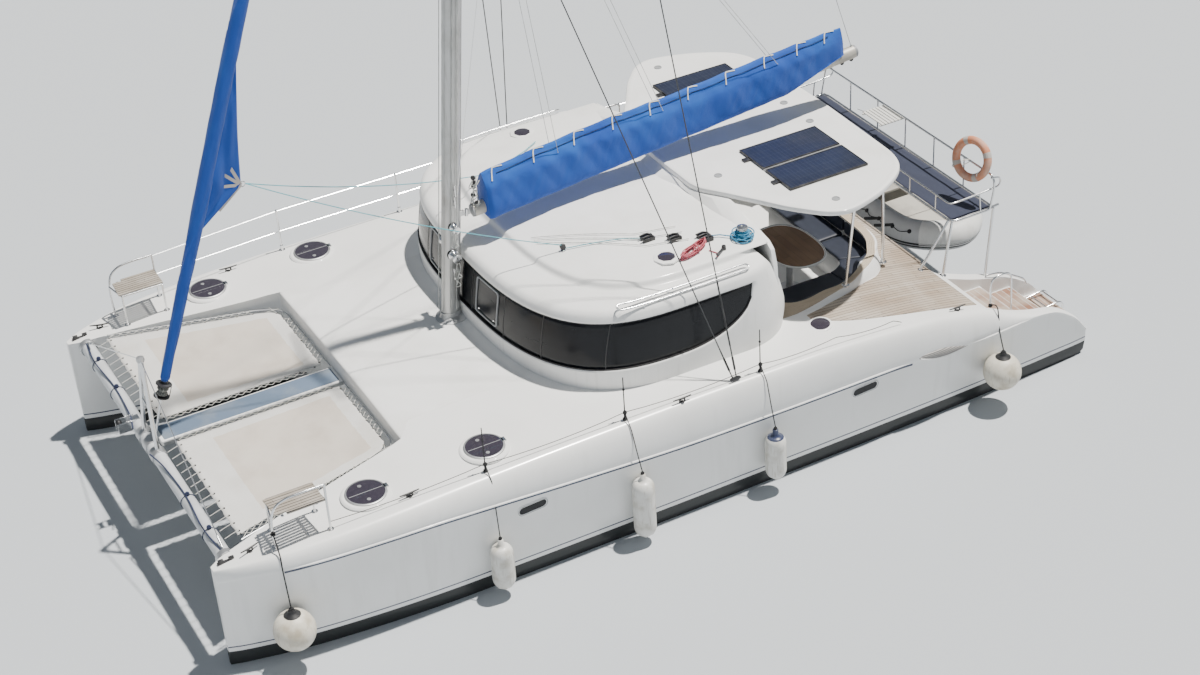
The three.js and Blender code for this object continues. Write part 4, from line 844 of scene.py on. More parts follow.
anodised, tree, shader = finish("anodised_mast", (0.52, 0.53, 0.53), 0.38, Metallic=0.7)
wear = placed(tree, weathered, Clean=(0.56, 0.565, 0.56, 1), Stain=(0.33, 0.32, 0.3, 1), Amount=0.75,
    Scale=2.2)
drawn = node(tree, "ShaderNodeMapping", {"Vector": node(tree, "ShaderNodeTexCoord").outputs["Object"],
    "Scale": (120.0, 120.0, 1.5)})
along_lines = node(tree, "ShaderNodeTexNoise",
    {"Vector": drawn.outputs[0], "Scale": 1.0, "Detail": 2.0}).outputs[0]
feed(shader,
    {"Base Color": mixed(maths("MULTIPLY", along_lines, 0.5), wear.outputs["Color"], (0.36, 0.36, 0.36))})
bumped(shader, along_lines, 0.12, 0.002)


def mast_ring(z):
    a, b = MAST_HALF
    ring = []
    for turn in around(40):
        x, y = a * cos(turn), b * sin(turn)
        if abs(turn - pi) < 0.05:
            x += 0.016
        ring.append(mast_point(z, x, y))
    return ring


column = skin([mast_ring(z) for z in (1.655, 1.9, 2.6, 4.0, SPREADER_Z, 12.0, HOUNDS_Z, MAST_TOP_Z - 0.002)])
TRACK = ((-0.004, -0.012), (0.006, -0.012), (0.006, 0.012), (-0.004, 0.012))
track = skin([[mast_point(z, -MAST_HALF[0] - dx, y) for dx, y in TRACK] for z in (2.2, MAST_TOP_Z - 0.3)])
arms = []
for side in (1, -1):
    root = mast_point(SPREADER_Z, 0, side * 0.06)
    tip = root + vec(-0.18, side * 0.78, 0.06)
    rings = []
    for t in np.linspace(0, 1, 7):
        half = (0.052 * (1 - t) + 0.03 * t, 0.017 * (1 - t) + 0.012 * t)
        rings.append([root.lerp(tip, t) + vec(half[0] * cos(a), 0, half[1] * sin(a)) for a in around(16)])
    arms.append(skin(rings))
foot_plate = turned(((0, 0), (0.2, 0), (0.2, 0.008), (0.175, 0.016), (0.15, 0.03), (0, 0.03)),
    (MAST_FOOT.x - 0.02, 0, deck_height(1.7, 0) + 0.001))
mast_boot = skin([[mast_point(z, 1.12 * MAST_HALF[0] * cos(t) * k, 1.12 * MAST_HALF[1] * sin(t) * k)
    for t in around(32)] for z, k in ((1.66, 1.25), (1.72, 1.04), (1.75, 1.0))])
light = turned(((0, 0), (0.028, 0), (0.03, 0.03), (0.026, 0.06), (0, 0.065)),
    mast_point(9.4, MAST_HALF[0] - 0.02), axis=(1, 0, 0.1))
piece("mast_section", [(column, anodised), (arms, anodised), (track, black_plastic), (foot_plate, alloy),
    (mast_boot, anodised), (light, black_plastic)], stands_for=["mast"], smooth=40)


def winch(centre, axis, scale=1.0):
    """A drum winch: base, waisted drum with ribs, and a self-tailing jaw on top."""
    profile = ((0, 0), (0.075, 0), (0.075, 0.012), (0.062, 0.02), (0.05, 0.045), (0.047, 0.075), (0.052, 0.1),
        (0.062, 0.112), (0.066, 0.118), (0.066, 0.126), (0.05, 0.13), (0.05, 0.137), (0.066, 0.141),
        (0.066, 0.15), (0.04, 0.156), (0.02, 0.157), (0.018, 0.15), (0, 0.15))
    return turned([(r * scale, h * scale) for r, h in profile], centre, axis, 36)


mast_gear, dark_gear = [], []
for side, z, scale in ((1, 2.55, 0.85), (-1, 2.62, 0.85), (1, 2.92, 0.7)):
    at = mast_point(z, 0.01, side * (MAST_HALF[1] - 0.012))
    dark_gear.append(turned(((0, 0), (0.085 * scale, 0), (0.07 * scale, 0.03), (0, 0.03)), at, (0, side, 0)))
    mast_gear.append(winch(at + vec(0, side * 0.022, 0), (0, side, 0), scale))
for side, z in ((1, 3.25), (1, 3.4), (-1, 3.3), (1, 2.3)):
    at = mast_point(z, 0.0, side * MAST_HALF[1])
    mast_gear.append(
        together([bar(at, at + vec(0, side * 0.035, 0.0), 0.012),
        bar(at + vec(0, side * 0.032, -0.075), at + vec(0, side * 0.032, 0.075), 0.009)]))
piece("mast_winches", [(mast_gear, steel), (dark_gear, black_plastic)], soften=0.001)

# Gooseneck. An alloy bracket riveted on the mast's aft face, with a cheek on either side of the
# fork at the boom's end.
neck = [block(1.392, 1.5, y, y + 0.008, 2.985, 3.055) for y in (-0.016, 0.008)]
neck.append(block(1.455, 1.5, -0.045, 0.045, 2.95, 3.09))
piece("gooseneck_bracket", [(neck, alloy)], soften=0.003)

# Boom and covered mainsail. A beige alloy boom under a blue acrylic cover that is zipped along its
# ridge, pulled into folds between its ties, with white lacing hooks and a black line.
BOOM_RISE = 0.1
BOOM_RADIUS = 0.0825


def boom_under(x):
    return 2.935 + (1 - x) * BOOM_RISE


boom_paint = surface("boom_paint", (0.58, 0.55, 0.47), 0.5, Metallic=0.2,
    worn=((0.6, 0.57, 0.5), (0.36, 0.34, 0.3), 0.7, 3.0))
boom_shapes = [(bar((1.27, 0, boom_under(1.27) + 0.1), (-4.15, 0, boom_under(-4.15) + 0.1), BOOM_RADIUS, 28),
    boom_paint)]
cap_axis = vec(-1, 0, BOOM_RISE).normalized()
boom_shapes.append((turned(((0, 0), (0.078, 0), (0.079, 0.05), (0.062, 0.065), (0, 0.066)),
    (-4.13, 0, boom_under(-4.13) + 0.1), cap_axis), grey_plastic))
boom_shapes.append((turned(((0, 0), (0.078, 0), (0.078, 0.07), (0.04, 0.085), (0, 0.085)),
    (1.22, 0, boom_under(1.22) + 0.1), -cap_axis), grey_plastic))
boom_shapes.append((block(1.285, 1.375, -0.006, 0.006, 2.975, 3.045), alloy))
boom_shapes.append((turned(((0, -0.045), (0.022, -0.045), (0.022, 0.045), (0, 0.045)), (1.36, 0, 3.01),
    (-sin(MAST_RAKE), 0, cos(MAST_RAKE))), steel))
for x in (-3.98, -4.12):
    boom_shapes.append((turned(((0, -0.014), (0.03, -0.014), (0.022, 0), (0.03, 0.014), (0, 0.014)),
        (x, 0, boom_under(x) + 0.01), (0, 1, 0)), black_plastic))
piece("boom_spar", boom_shapes, body="boom_and_sail", stands_for=["boom"], smooth=40)

sail_blue, tree, shader = finish("blue_acrylic_cloth", (0.0, 0.12, 0.42), 0.82, Sheen_Weight=0.25,
    Sheen_Roughness=0.5)
grid_place = node(tree, "ShaderNodeTexCoord").outputs["Object"]
# Paler blue on faces that point up, in patches from a noise: painted sunlight on the top of the cover and of
# the furled roll, with the sides kept darker as painted shade.
top_light_patches = node(tree, "ShaderNodeTexNoise", {"Vector": grid_place, "Scale": 2.4, "Detail": 6.0})
facing_up = node(tree, "ShaderNodeSeparateXYZ", {0: node(tree, "ShaderNodeNewGeometry").outputs["Normal"]})
painted_top_light = maths("MULTIPLY", ramp(facing_up.outputs["Z"], -0.2, 1.0), ramp(top_light_patches.outputs[0], 0.3, 0.8))
feed(shader, {"Base Color": mixed(painted_top_light, (0.001, 0.062, 0.37), (0.004, 0.125, 0.5))})
warp = node(tree, "ShaderNodeTexWave", {"Vector": grid_place, "Scale": 260.0, "Distortion": 0.6},
    bands_direction="X")
weft = node(tree, "ShaderNodeTexWave", {"Vector": grid_place, "Scale": 260.0, "Distortion": 0.6},
    bands_direction="Z")
creases = node(tree, "ShaderNodeTexNoise",
    {"Vector": grid_place, "Scale": 14.0, "Detail": 8.0, "Roughness": 0.6})
woven = maths("ADD", maths("MULTIPLY", maths("ADD", warp.outputs[0], weft.outputs[0]), 0.06),
    creases.outputs[0])
bumped(shader, woven, 0.35, 0.008)

COVER_RISE = ((1.12, 0.552), (0.4, 0.578), (-0.4, 0.583), (-1.6, 0.548), (-3.0, 0.538), (-3.94, 0.518))
# Half of the cover's section, from the ridge: half width in metres and share of the height
COVER_HALF = ((0.004, 1.0), (0.022, 0.992), (0.045, 0.95), (0.078, 0.88), (0.112, 0.8), (0.14, 0.72),
    (0.155, 0.63), (0.168, 0.5), (0.182, 0.36), (0.194, 0.22), (0.199, 0.1), (0.19, 0.02), (0.165, -0.025),
    (0.12, -0.028))
TIES_X = [0.98, 0.42, -0.13, -0.66, -1.18, -1.72, -2.26, -2.82, -3.3, -3.72]


def cover_point(x, s, side):
    """A point of the cover, s from 0 at the ridge to 1 at its lower edge."""
    k = s * (len(COVER_HALF) - 1)
    i = min(int(k), len(COVER_HALF) - 2)
    (y0, h0), (y1, h1) = COVER_HALF[i], COVER_HALF[i + 1]
    y, h = y0 + (y1 - y0) * (k - i), h0 + (h1 - h0) * (k - i)
    table = COVER_RISE[::-1]
    rise = float(eased(x, [p[0] for p in table], [p[1] for p in table]))
    gap = min(abs(x - t) for t in TIES_X)
    middle = sin(pi * min(max(s, 0), 1))
    body = noise.fractal(vec(x * 1.7, s * 2.1, side * 4.0), 1.0, 2.0, 3)
    slanted = noise.noise(vec((x + 0.55 * s) * 7.0, s * 1.2, side * 9.0))
    fine = noise.noise(vec((x - 0.5 * s) * 17.0, s * 3.0, side * 5.0))
    pull = -0.01 * exp(-(gap / 0.06) ** 2) * (1 - s) + 0.008 * middle * cos(gap * 9)
    out = middle * (0.014 * body + 0.011 * slanted + 0.0045 * fine) + pull * middle
    ends = min(1, (1.13 - x) / 0.05 + 0.15, (x + 3.96) / 0.1 + 0.4)
    y = max((y + out) * (0.82 + 0.18 * max(ends, 0)), 0.002)
    droop = -0.012 * (1 - s) * (1 - exp(-(gap / 0.12) ** 2)) + 0.012 * noise.noise(vec(x * 3, side, 2.0)) * s
    bare = min(max((-3.0 - x) / 0.94, 0), 1)
    lift = 0.178 * bare
    return (x, side * min(y, 0.205) * (1 - 0.45 * bare), boom_under(x) + max(h * rise, lift) + droop)


cover_x = np.concatenate([[1.13, 1.126, 1.118], np.linspace(1.1, -3.93, 300), [-3.942, -3.948]])
half_steps = np.linspace(0, 1, 34)
cover_rings = []
for x in cover_x:
    ring = [cover_point(x, s, 1) for s in half_steps]
    ring += [cover_point(x, s, -1) for s in half_steps[::-1]]
    cover_rings.append(ring)
cover_shape = skin(cover_rings)
piece("mainsail_cover", [(cover_shape, sail_blue)], body="boom_and_sail", stands_for=["sail_cover"],
    smooth=70)

white_webbing = surface("white_webbing", (0.74, 0.73, 0.69), 0.8,
    relief=(("Wave", 150.0, None, "X"), 0.4, 0.001))
black_rope = surface("black_rope", (0.02, 0.02, 0.022), 0.8,
    relief=(("Wave", 90.0, 2.0, "DIAGONAL"), 0.5, 0.002))


def pipe(points, radius, sides=10, steps=8, loop=False):
    """A round tube along a smooth curve; radius may be a function of the share of the way along."""
    if loop:
        path = curved(list(points) * 2, steps)[steps:(len(points) + 1) * steps]
    else:
        path = curved(points, steps) if steps > 1 else [np.array(p, float) for p in points]
    path = [Vector(p) for p in path]
    rings, side = [], None
    for i, here in enumerate(path):
        before = path[i - 1] if i or loop else here
        after = path[(i + 1) % len(path)] if i + 1 < len(path) or loop else here
        along = (after - before).normalized()
        if side is None:
            side = along.orthogonal().normalized()
        side = (side - along * side.dot(along)).normalized()
        other = along.cross(side)
        r = radius(i / (len(path) - 1)) if callable(radius) else radius
        rings.append([here + (side * cos(t) + other * sin(t)) * r for t in around(sides)])
    if loop:
        rings.append(rings[0])
        return skin(rings, ends=(False, False))
    return skin(rings)


def ribbon(points, across, width, thickness=0.003):
    """A flat strap along points; across gives its width direction."""
    across = Vector(across).normalized()
    rings = []
    for i, p in enumerate(points):
        p = Vector(p)
        along = (Vector(points[min(i + 1, len(points) - 1)]) - Vector(points[max(i - 1, 0)])).normalized()
        up_ = along.cross(across).normalized()
        side = up_.cross(along).normalized()
        rings.append([p + side * a * width / 2 + up_ * b * thickness / 2
            for a, b in ((-1, -1), (1, -1), (1, 1), (-1, 1))])
    return skin(rings)


hooks, line = [], []
for i, x in enumerate(TIES_X):
    over = [Vector(cover_point(x + 0.01 * k, s, 1)) + vec(0, 0.005, 0.007)
        for k, s in enumerate(np.linspace(0.02, 0.3, 7))]
    hooks.append(pipe(over, 0.0085, 8, 3))
    back = [Vector(cover_point(x - 0.03 * k, 0.03 + 0.016 * k, 1)) + vec(0, 0.003, 0.01) for k in range(5)]
    hooks.append(ribbon(back, (0, 0.6, -0.8), 0.016))
    line.append(Vector(cover_point(x - 0.02, 0.2, 1)) + vec(0, 0.006, 0.006))
    if i + 1 < len(TIES_X):
        for t in (0.25, 0.5, 0.75):
            mid = x + (TIES_X[i + 1] - x) * t
            line.append(Vector(cover_point(mid, 0.2, 1)) + vec(0, 0.007, 0.006))
piece("cover_lacing", [(hooks, white_webbing), (pipe(line, 0.004, 6, 2), black_rope)], body="boom_and_sail")

# Furled headsail. A blue strip of sun cloth wound up the forestay, with its clew standing out
# on five grey webbing fingers, above a drum with its line.
STAY_FOOT = vec(5.34, 0, 1.94)
stay_head = mast_point(HOUNDS_Z, 0.125)
stay = stay_head - STAY_FOOT
STAY_LENGTH = stay.length
stay_axis = stay.normalized()
stay_side = vec(0, 1, 0)
stay_fore = stay_axis.cross(stay_side).normalized()
ROLL_RADII = ((0.01, 0.03), (0.013, 0.056), (0.05, 0.062), (0.1, 0.072), (0.2, 0.086), (0.3, 0.084),
    (0.6, 0.058), (0.93, 0.03), (0.9335, 0.007))
rings = []
for t in np.concatenate([np.linspace(0.01, 0.05, 14), np.linspace(0.052, 0.93, 330), [0.9335]]):
    radius = float(eased(t, [r[0] for r in ROLL_RADII], [r[1] for r in ROLL_RADII]))
    ring = []
    for k in range(36):
        turn = 2 * pi * k / 36
        wrap = ((turn + t * STAY_LENGTH * 2.1) / (2 * pi)) % 1
        step = 0.011 * (wrap - 0.5) * min(radius / 0.06, 1)
        crease = 0.006 * noise.noise(vec(cos(turn) * 2, sin(turn) * 2, t * STAY_LENGTH * 3.2))
        r = radius + step + crease
        ring.append(STAY_FOOT + stay * t + (stay_fore * cos(turn) + stay_side * sin(turn)) * max(r, 0.006))
    rings.append(ring)
roll_shape = skin(rings)
wire = bar(STAY_FOOT + stay * 0.002, STAY_FOOT + stay * 0.998, 0.006, 8)
piece("headsail_roll", [(roll_shape, sail_blue), (wire, steel)], stands_for=["furled_headsail"],
    smooth=60)

# Headsail clew. The last turn of the roll stands out as a flat triangle, sewn with five grey
# webbing fingers that meet at a steel ring with two blue sheets.
CLEW = vec(4.02, 0.0, 4.24)


def stay_at(z, off=0.0):
    t = (z - STAY_FOOT.z) / stay.z
    return STAY_FOOT + stay * t - stay_fore * off


LEECH_TOP_Z, LEECH_FOOT_Z = 6.3, 3.75
flap = []
for k in range(40):
    t = k / 39
    z = LEECH_TOP_Z + (LEECH_FOOT_Z - LEECH_TOP_Z) * t
    root = stay_at(z, 0.03) + vec(0, 0.05, 0)
    clew_share = (LEECH_TOP_Z - CLEW.z) / (LEECH_TOP_Z - LEECH_FOOT_Z)
    reach = (t / clew_share) ** 1.25 if t < clew_share else (1 - t) / (1 - clew_share)
    at_clew = stay_at(CLEW.z, 0.03)
    edge = root + (CLEW - at_clew) * reach
    edge.y = 0.05 * (1 - reach)
    row = []
    for s in np.linspace(0, 1, 18):
        p = root.lerp(edge, s)
        p.y += (0.012 + 0.03 * reach) * sin(s * pi) * noise.noise(vec(t * 6, s * 3, 3))
        p.y += 0.006 * sin(s * 9 + t * 14) * s
        row.append(p)
    flap.append(row)
flap_piece = piece("headsail_clew", [(skin(flap, closed=False), sail_blue)], smooth=60)
thickened(flap_piece, "cloth", 0.004)
grey_webbing = surface("grey_webbing", (0.52, 0.48, 0.44), 0.85,
    relief=(("Wave", 140.0, None, "X"), 0.5, 0.001))
fingers = []
for dx, dz in ((0.165, 0.46), (0.31, 0.33), (0.4, 0.09), (0.4, -0.13), (0.3, -0.23)):
    tip = CLEW + vec(dx, 0.012, dz)
    for off in (0.009, -0.009):
        fingers.append(ribbon([CLEW.lerp(tip, t) + vec(0, off, 0) for t in np.linspace(0, 1, 6)],
            vec(dz, 0, -dx), 0.036))
ring_points = [CLEW + vec(-0.02 + 0.032 * cos(a), 0, 0.032 * sin(a)) for a in around(16)]
piece("clew_fingers", [(fingers, grey_webbing), (pipe(ring_points, 0.006, 8, 2, loop=True), steel)])

# Furler. A black drum in its cage under the headsail, with a turned line guard and a link plate
# down to the beam.
drum_at = STAY_FOOT + stay * -0.004
spool = ((0, 0), (0.092, 0), (0.094, 0.012), (0.04, 0.018), (0.036, 0.05), (0.036, 0.12), (0.04, 0.15),
    (0.093, 0.157), (0.094, 0.17), (0.045, 0.178), (0.03, 0.2), (0, 0.2))
wound = []
for k in range(240):
    out = stay_fore * cos(k * 0.42) + stay_side * sin(k * 0.42)
    wound.append(drum_at + stay_axis * (0.03 + 0.105 * k / 239) + out * (0.052 + 0.012 * sin(k / 23)))
link = bar((5.522, 0, 1.375), STAY_FOOT + stay * -0.003, 0.013, 12)
cage = []
for a in (0.4, 2.5, 4.6):
    stave = drum_at + (stay_fore * cos(a) + stay_side * sin(a)) * 0.09
    cage.append(bar(stave + stay_axis * 0.005, stave + stay_axis * 0.165, 0.005, 8))
green_rope = surface("line_fleck", (0.12, 0.13, 0.12), 0.8,
    tones=((0.05, 0.06, 0.06), (0.5, 0.5, 0.46), ("Noise", 60.0, 2.0), 0.45, 0.6))
piece("furler_gear",
    [(turned(spool, drum_at, stay_axis, 40), black_plastic), (pipe(wound, 0.0045, 6, 1), green_rope),
    (link, steel), (cage, black_plastic)], stands_for=["furler_drum"], smooth=40)

# Forward beam. A painted alloy tube between the bows in end collars, with a bow roller, the
# striker's steel legs over it, its wires to the beam's ends, and the anchor bridle below.
BEAM_X, BEAM_Z, BEAM_R, BEAM_END = 5.58, 1.28, 0.085, 2.462
beam_paint = surface("beam_paint", (0.62, 0.64, 0.66), 0.4, Metallic=0.15,
    worn=((0.66, 0.68, 0.7), (0.38, 0.39, 0.4), 0.6, 1.8))
tube = bar((BEAM_X, -BEAM_END, BEAM_Z), (BEAM_X, BEAM_END, BEAM_Z), BEAM_R, 40)
collars = [turned(((0.0855, -0.05), (0.104, -0.05), (0.108, -0.04), (0.108, 0.03), (0.0855, 0.03)),
    (BEAM_X, side * (BEAM_END - 0.03), BEAM_Z), (0, side, 0)) for side in (1, -1)]
roller = [block(5.6, 5.825, y, y + 0.008, 1.25, 1.385) for y in (-0.585, -0.463)]
roller.append(block(5.55, 5.7, -0.577, -0.463, 1.365, 1.373))
roller_wheel = turned(((0, -0.052), (0.04, -0.052), (0.026, -0.02), (0.026, 0.02), (0.04, 0.052), (0, 0.052)),
    (5.785, -0.52, 1.325), (0, 1, 0))
pads = [turned(((0.0855, -0.07), (0.098, -0.07), (0.098, 0.07), (0.0855, 0.07)), (BEAM_X, y, BEAM_Z),
    (0, 1, 0)) for y in (-0.235, 0.235, 0)]
piece("forward_beam", [(tube, beam_paint), (collars, alloy), (roller, steel), (roller_wheel, black_plastic),
    (pads, alloy)], stands_for=["crossbeam"], smooth=40, soften=0.0015)
STRIKER_TOP = vec(5.51, 0, 2.46)
LEG_FEET = [vec(BEAM_X, side * 0.235, 1.37) for side in (1, -1)]
legs = [bar(foot, STRIKER_TOP + vec(0, side * 0.02, 0), 0.026, 20) for foot, side in zip(LEG_FEET, (1, -1))]
legs.append(bar(LEG_FEET[0].lerp(STRIKER_TOP, 0.45), LEG_FEET[1].lerp(STRIKER_TOP, 0.45), 0.014))
knob = turned(((0, 0), (0.045, 0), (0.05, 0.02), (0.045, 0.05), (0, 0.055)), STRIKER_TOP - vec(0, 0, 0.03))
wires = []
for side in (1, -1):
    wire_end = vec(BEAM_X, side * 2.4, BEAM_Z + 0.09)
    wires.append(bar(STRIKER_TOP, wire_end, 0.006, 8))
    wires.append(bar(STRIKER_TOP.lerp(wire_end, 0.93), STRIKER_TOP.lerp(wire_end, 0.985), 0.013, 12))
piece("striker_frame", [(legs, steel), (knob, alloy), (wires, steel)], stands_for=["striker"],
    smooth=40)


def knot(centre, size, turns=3):
    """A lump of rope: a few tight loops round a point."""
    path = []
    for k in range(turns * 12 + 1):
        a = 2 * pi * k / 12
        tilt = 0.9 * k / 12
        p = vec(cos(a), sin(a) * cos(tilt), sin(a) * sin(tilt))
        path.append(Vector(centre) + p * size)
    return path


bridle = []
for side in (1, -1):
    bridle.append(pipe([(5.6, side * 2.38, 1.36), (5.64, side * 1.9, 1.372), (5.6, side * 1.25, 1.374),
        (5.63, side * 0.6, 1.373), (5.68, -0.35 if side < 0 else 0.25, 1.35)], 0.009, 8, 6))
    for y in (1.25, 1.95):
        bridle.append(pipe(knot((5.58, side * y, 1.385), 0.022), 0.007, 8, 2))
        bridle.append(pipe([(BEAM_X + (BEAM_R + 0.006) * cos(a), side * y, BEAM_Z + (BEAM_R + 0.006) * sin(a))
            for a in around(16)], 0.005, 8, 2, loop=True))
navy_rope = surface("navy_rope", (0.03, 0.04, 0.09), 0.85,
    relief=(("Wave", 80.0, 2.0, "DIAGONAL"), 0.6, 0.002))
piece("bridle_lashings", [(bridle, navy_rope)])

# Walkway. A white glass-fibre panel between the nets from foredeck to beam, with a sanded
# blue-grey tread whose colour is painted shade, the blue-grey of shade on white, and an alloy edge on either
# side.
# The tread's blue-grey stands in for shade lying on the white walkway: painted shade.
painted_shade_tread = surface("painted_shade_tread", (0.13, 0.18, 0.25), 0.8, relief=(("Noise", 350.0, 2.0), 0.5, 0.002),
    worn=((0.12, 0.17, 0.245), (0.22, 0.25, 0.28), 0.7, 3.0))
walk_outline = rectangle(3.232, 5.5, -0.172, 0.172)
walk = slab(rounded(walk_outline, 0.02), ((0.01, 1.332), (0.0, 1.338), (0.0, 1.395), (0.006, 1.402),
    (0.02, 1.4035)))
edges = [block(3.24, 5.48, y, y + 0.014, 1.345, 1.392) for y in (-0.187, 0.173)]
tread = slab(rounded(rectangle(3.27, 5.46, -0.15, 0.15), 0.03), ((0.0, 1.402), (0.0, 1.405), (0.002, 1.4058)))
piece("walkway_panel", [(walk, deck_white), (tread, painted_shade_tread), (edges, alloy)], stands_for=["walkway"],
    soften=0.001)

# Nets. Two stretched cloths between the bows, beige in the middle with wide white borders, laced
# with white cord through eyelets to rails round their openings.
NET_FRONT_X, NET_BACK_X = 5.37, 3.33
NET_Z = 1.408
net_weave, given, result = effect("net_weave",
    [("Clean", "Color", (0.7, 0.7, 0.7, 1)), ("Dirt", "Color", (0.5, 0.5, 0.5, 1))],
    [("Color", "Color"), ("Height", "Float")])
where = node(net_weave, "ShaderNodeTexCoord").outputs["Object"]
threads = [node(net_weave, "ShaderNodeTexWave", {"Vector": where, "Scale": 95.0},
    bands_direction=axis).outputs[0] for axis in ("X", "Y")]
weave_height = maths("MAXIMUM", *threads)
clouds = node(net_weave, "ShaderNodeTexNoise",
    {"Vector": where, "Scale": 1.7, "Detail": 7.0, "Roughness": 0.6})
soiled = mixed(ramp(clouds.outputs[0], 0.38, 0.75), given.outputs["Clean"], given.outputs["Dirt"])
holes = maths("MULTIPLY", maths("SUBTRACT", 1.0, weave_height), 0.35)
feed(result, {"Color": mixed(holes, soiled, (0.16, 0.15, 0.14)), "Height": weave_height})
net_cloths = {}
for cloth_name, clean, dirt in (("beige_net", (0.72, 0.66, 0.58, 1), (0.6, 0.53, 0.45, 1)),
        ("white_net", (0.8, 0.79, 0.76, 1), (0.68, 0.66, 0.61, 1))):
    cloth, tree, shader = finish(cloth_name, clean[:3], 0.85, Sheen_Weight=0.15)
    wear = placed(tree, net_weave, Clean=clean, Dirt=dirt)
    feed(shader, {"Base Color": wear.outputs["Color"]})
    bumped(shader, wear.outputs["Height"], 0.5, 0.002)
    net_cloths[cloth_name] = cloth


def net_outer_y(x):
    straight = 1.735 + (2.288 - 1.735) * (x - 3.4) / (5.37 - 3.4)
    corner = min(max((3.56 - x) / 0.23, 0), 1)
    return straight - 0.16 * (1 - sqrt(1 - corner * corner * 0.96))


net_x = np.concatenate([np.linspace(NET_FRONT_X, 4.98, 9), np.linspace(4.97, 3.52, 34),
    np.linspace(3.5, NET_BACK_X, 8)])
net_u = np.concatenate([np.linspace(0, 0.075, 4), np.linspace(0.08, 0.9, 30), np.linspace(0.91, 1, 5)])


def net_point(x, u, side):
    inner, outer = 0.265, net_outer_y(x)
    along = (NET_FRONT_X - x) / (NET_FRONT_X - NET_BACK_X)
    sag = -0.035 * sin(pi * along) * sin(pi * u)
    tight = 0.006 * noise.noise(vec(x * 5, u * 7, side * 3)) + 0.003 * noise.noise(vec(x * 14, u * 18, side))
    scallop_y = 0.01 * sin(x * pi / 0.19) ** 2
    scallop_x = 0.01 * sin(u * pi * 10) ** 2
    y = inner + (outer - inner) * u + scallop_y * (1 - 2 * u)
    edge = min(u, 1 - u, along, 1 - along) * 12
    return (x + scallop_x * (2 * along - 1), side * y, NET_Z + sag + tight * min(edge, 1))


cord_white = surface("white_cord", (0.7, 0.69, 0.64), 0.8,
    relief=(("Wave", 120.0, None, "DIAGONAL"), 0.5, 0.001))
for side_name, side in (("port", 1), ("starboard", -1)):
    grid = [[net_point(x, u, side) for u in net_u] for x in net_x]
    points = np.array(grid).reshape(-1, 3)
    parts = {"beige_net": [], "white_net": []}
    for i in range(len(net_x) - 1):
        for j in range(len(net_u) - 1):
            middle = 9 <= i < len(net_x) - 8 and 4 <= j < len(net_u) - 5
            w = len(net_u)
            face = (i * w + j, (i + 1) * w + j, (i + 1) * w + j + 1, i * w + j + 1)
            parts["beige_net" if middle else "white_net"].append(face)
    net = piece(f"net_cloth_{side_name}", [((points, parts[k]), net_cloths[k]) for k in parts],
        stands_for=[f"trampoline_{side_name}"], smooth=80, merge=0.0004)
    thickened(net, "cloth", 0.003, 0)
    eyelets, laces = [], []
    inner_side = [((x, 0.265), (x, 0.186)) for x in np.arange(3.42, 5.34, 0.095)]
    outer_side = [((x, net_outer_y(x)), (x, net_outer_y(x) + 0.085)) for x in np.arange(3.62, 5.34, 0.095)]
    aft_side = [((NET_BACK_X, y), (NET_BACK_X - 0.085, y)) for y in np.arange(0.33, 1.52, 0.095)]
    corner_side = [((x, net_outer_y(x)), (x - 0.06, net_outer_y(x) + 0.07)) for x in (3.36, 3.46)]
    for row in (inner_side, outer_side, aft_side, corner_side):
        path = []
        for k, (eye, rail_at) in enumerate(row):
            p = eye if k % 2 == 0 else rail_at
            lift = 0.006 if k % 2 == 0 else 0.012
            path.append(vec(p[0], side * p[1], NET_Z + lift))
            if k % 2 == 0:
                eyelets.append(turned(((0.005, -0.003), (0.013, -0.003), (0.013, 0.004), (0.005, 0.004)),
                    (eye[0], side * eye[1], NET_Z), steps=14))
        other = [vec(b[0], side * b[1], NET_Z + 0.01) if k % 2 == 0 else vec(a[0], side * a[1], NET_Z + 0.004)
            for k, (a, b) in enumerate(row)]
        laces += [pipe(path, 0.0038, 6, 1), pipe(other, 0.0038, 6, 1)]
    for y in np.arange(0.36, 2.24, 0.155):
        laces.append(
            pipe([(NET_FRONT_X - 0.04, side * y, NET_Z + 0.006), (NET_FRONT_X, side * y, NET_Z + 0.004),
            (5.5, side * y, 1.372)], 0.0045, 6, 2))
        eyelets.append(turned(((0.005, -0.003), (0.014, -0.003), (0.014, 0.004), (0.005, 0.004)),
            (NET_FRONT_X - 0.04, side * y, NET_Z + 0.002), steps=14))
    outer_rail = [vec(x, side * (net_outer_y(x) + 0.083), 1.4) for x in np.linspace(5.36, 3.56, 12)]
    outer_rail += [vec(3.4, side * 1.78, 1.4), vec(3.3, side * 1.7, 1.4), vec(3.248, side * 1.56, 1.4)]
    outer_rail += [vec(3.244, side * y, 1.4) for y in (1.0, 0.5, 0.2)]
    rail = pipe(outer_rail, 0.009, 8, 4)
    piece(f"net_lacing_{side_name}", [(laces, cord_white), (eyelets, black_plastic), (rail, alloy)])


# Topside trim. White rub strakes at the knuckles with a navy line under them, oval portlights in
# raised rings, and a grey vent scoop near each stern.
def side_y(x, z):
    """Half breadth of the hull's outer side below the knuckle."""
    _, keel_z, _, out_y, knuckle_y, knuckle_z = station(x)[:6]
    foot = max(keel_z, 0)
    t = (knuckle_z - 0.016 - z) / (knuckle_z - 0.016 - foot)
    return knuckle_y - 0.012 + (out_y - knuckle_y + 0.012) * t + 0.012 * sin(pi * min(max(t, 0), 1))


def knuckle_z(x):
    return station(x)[5]


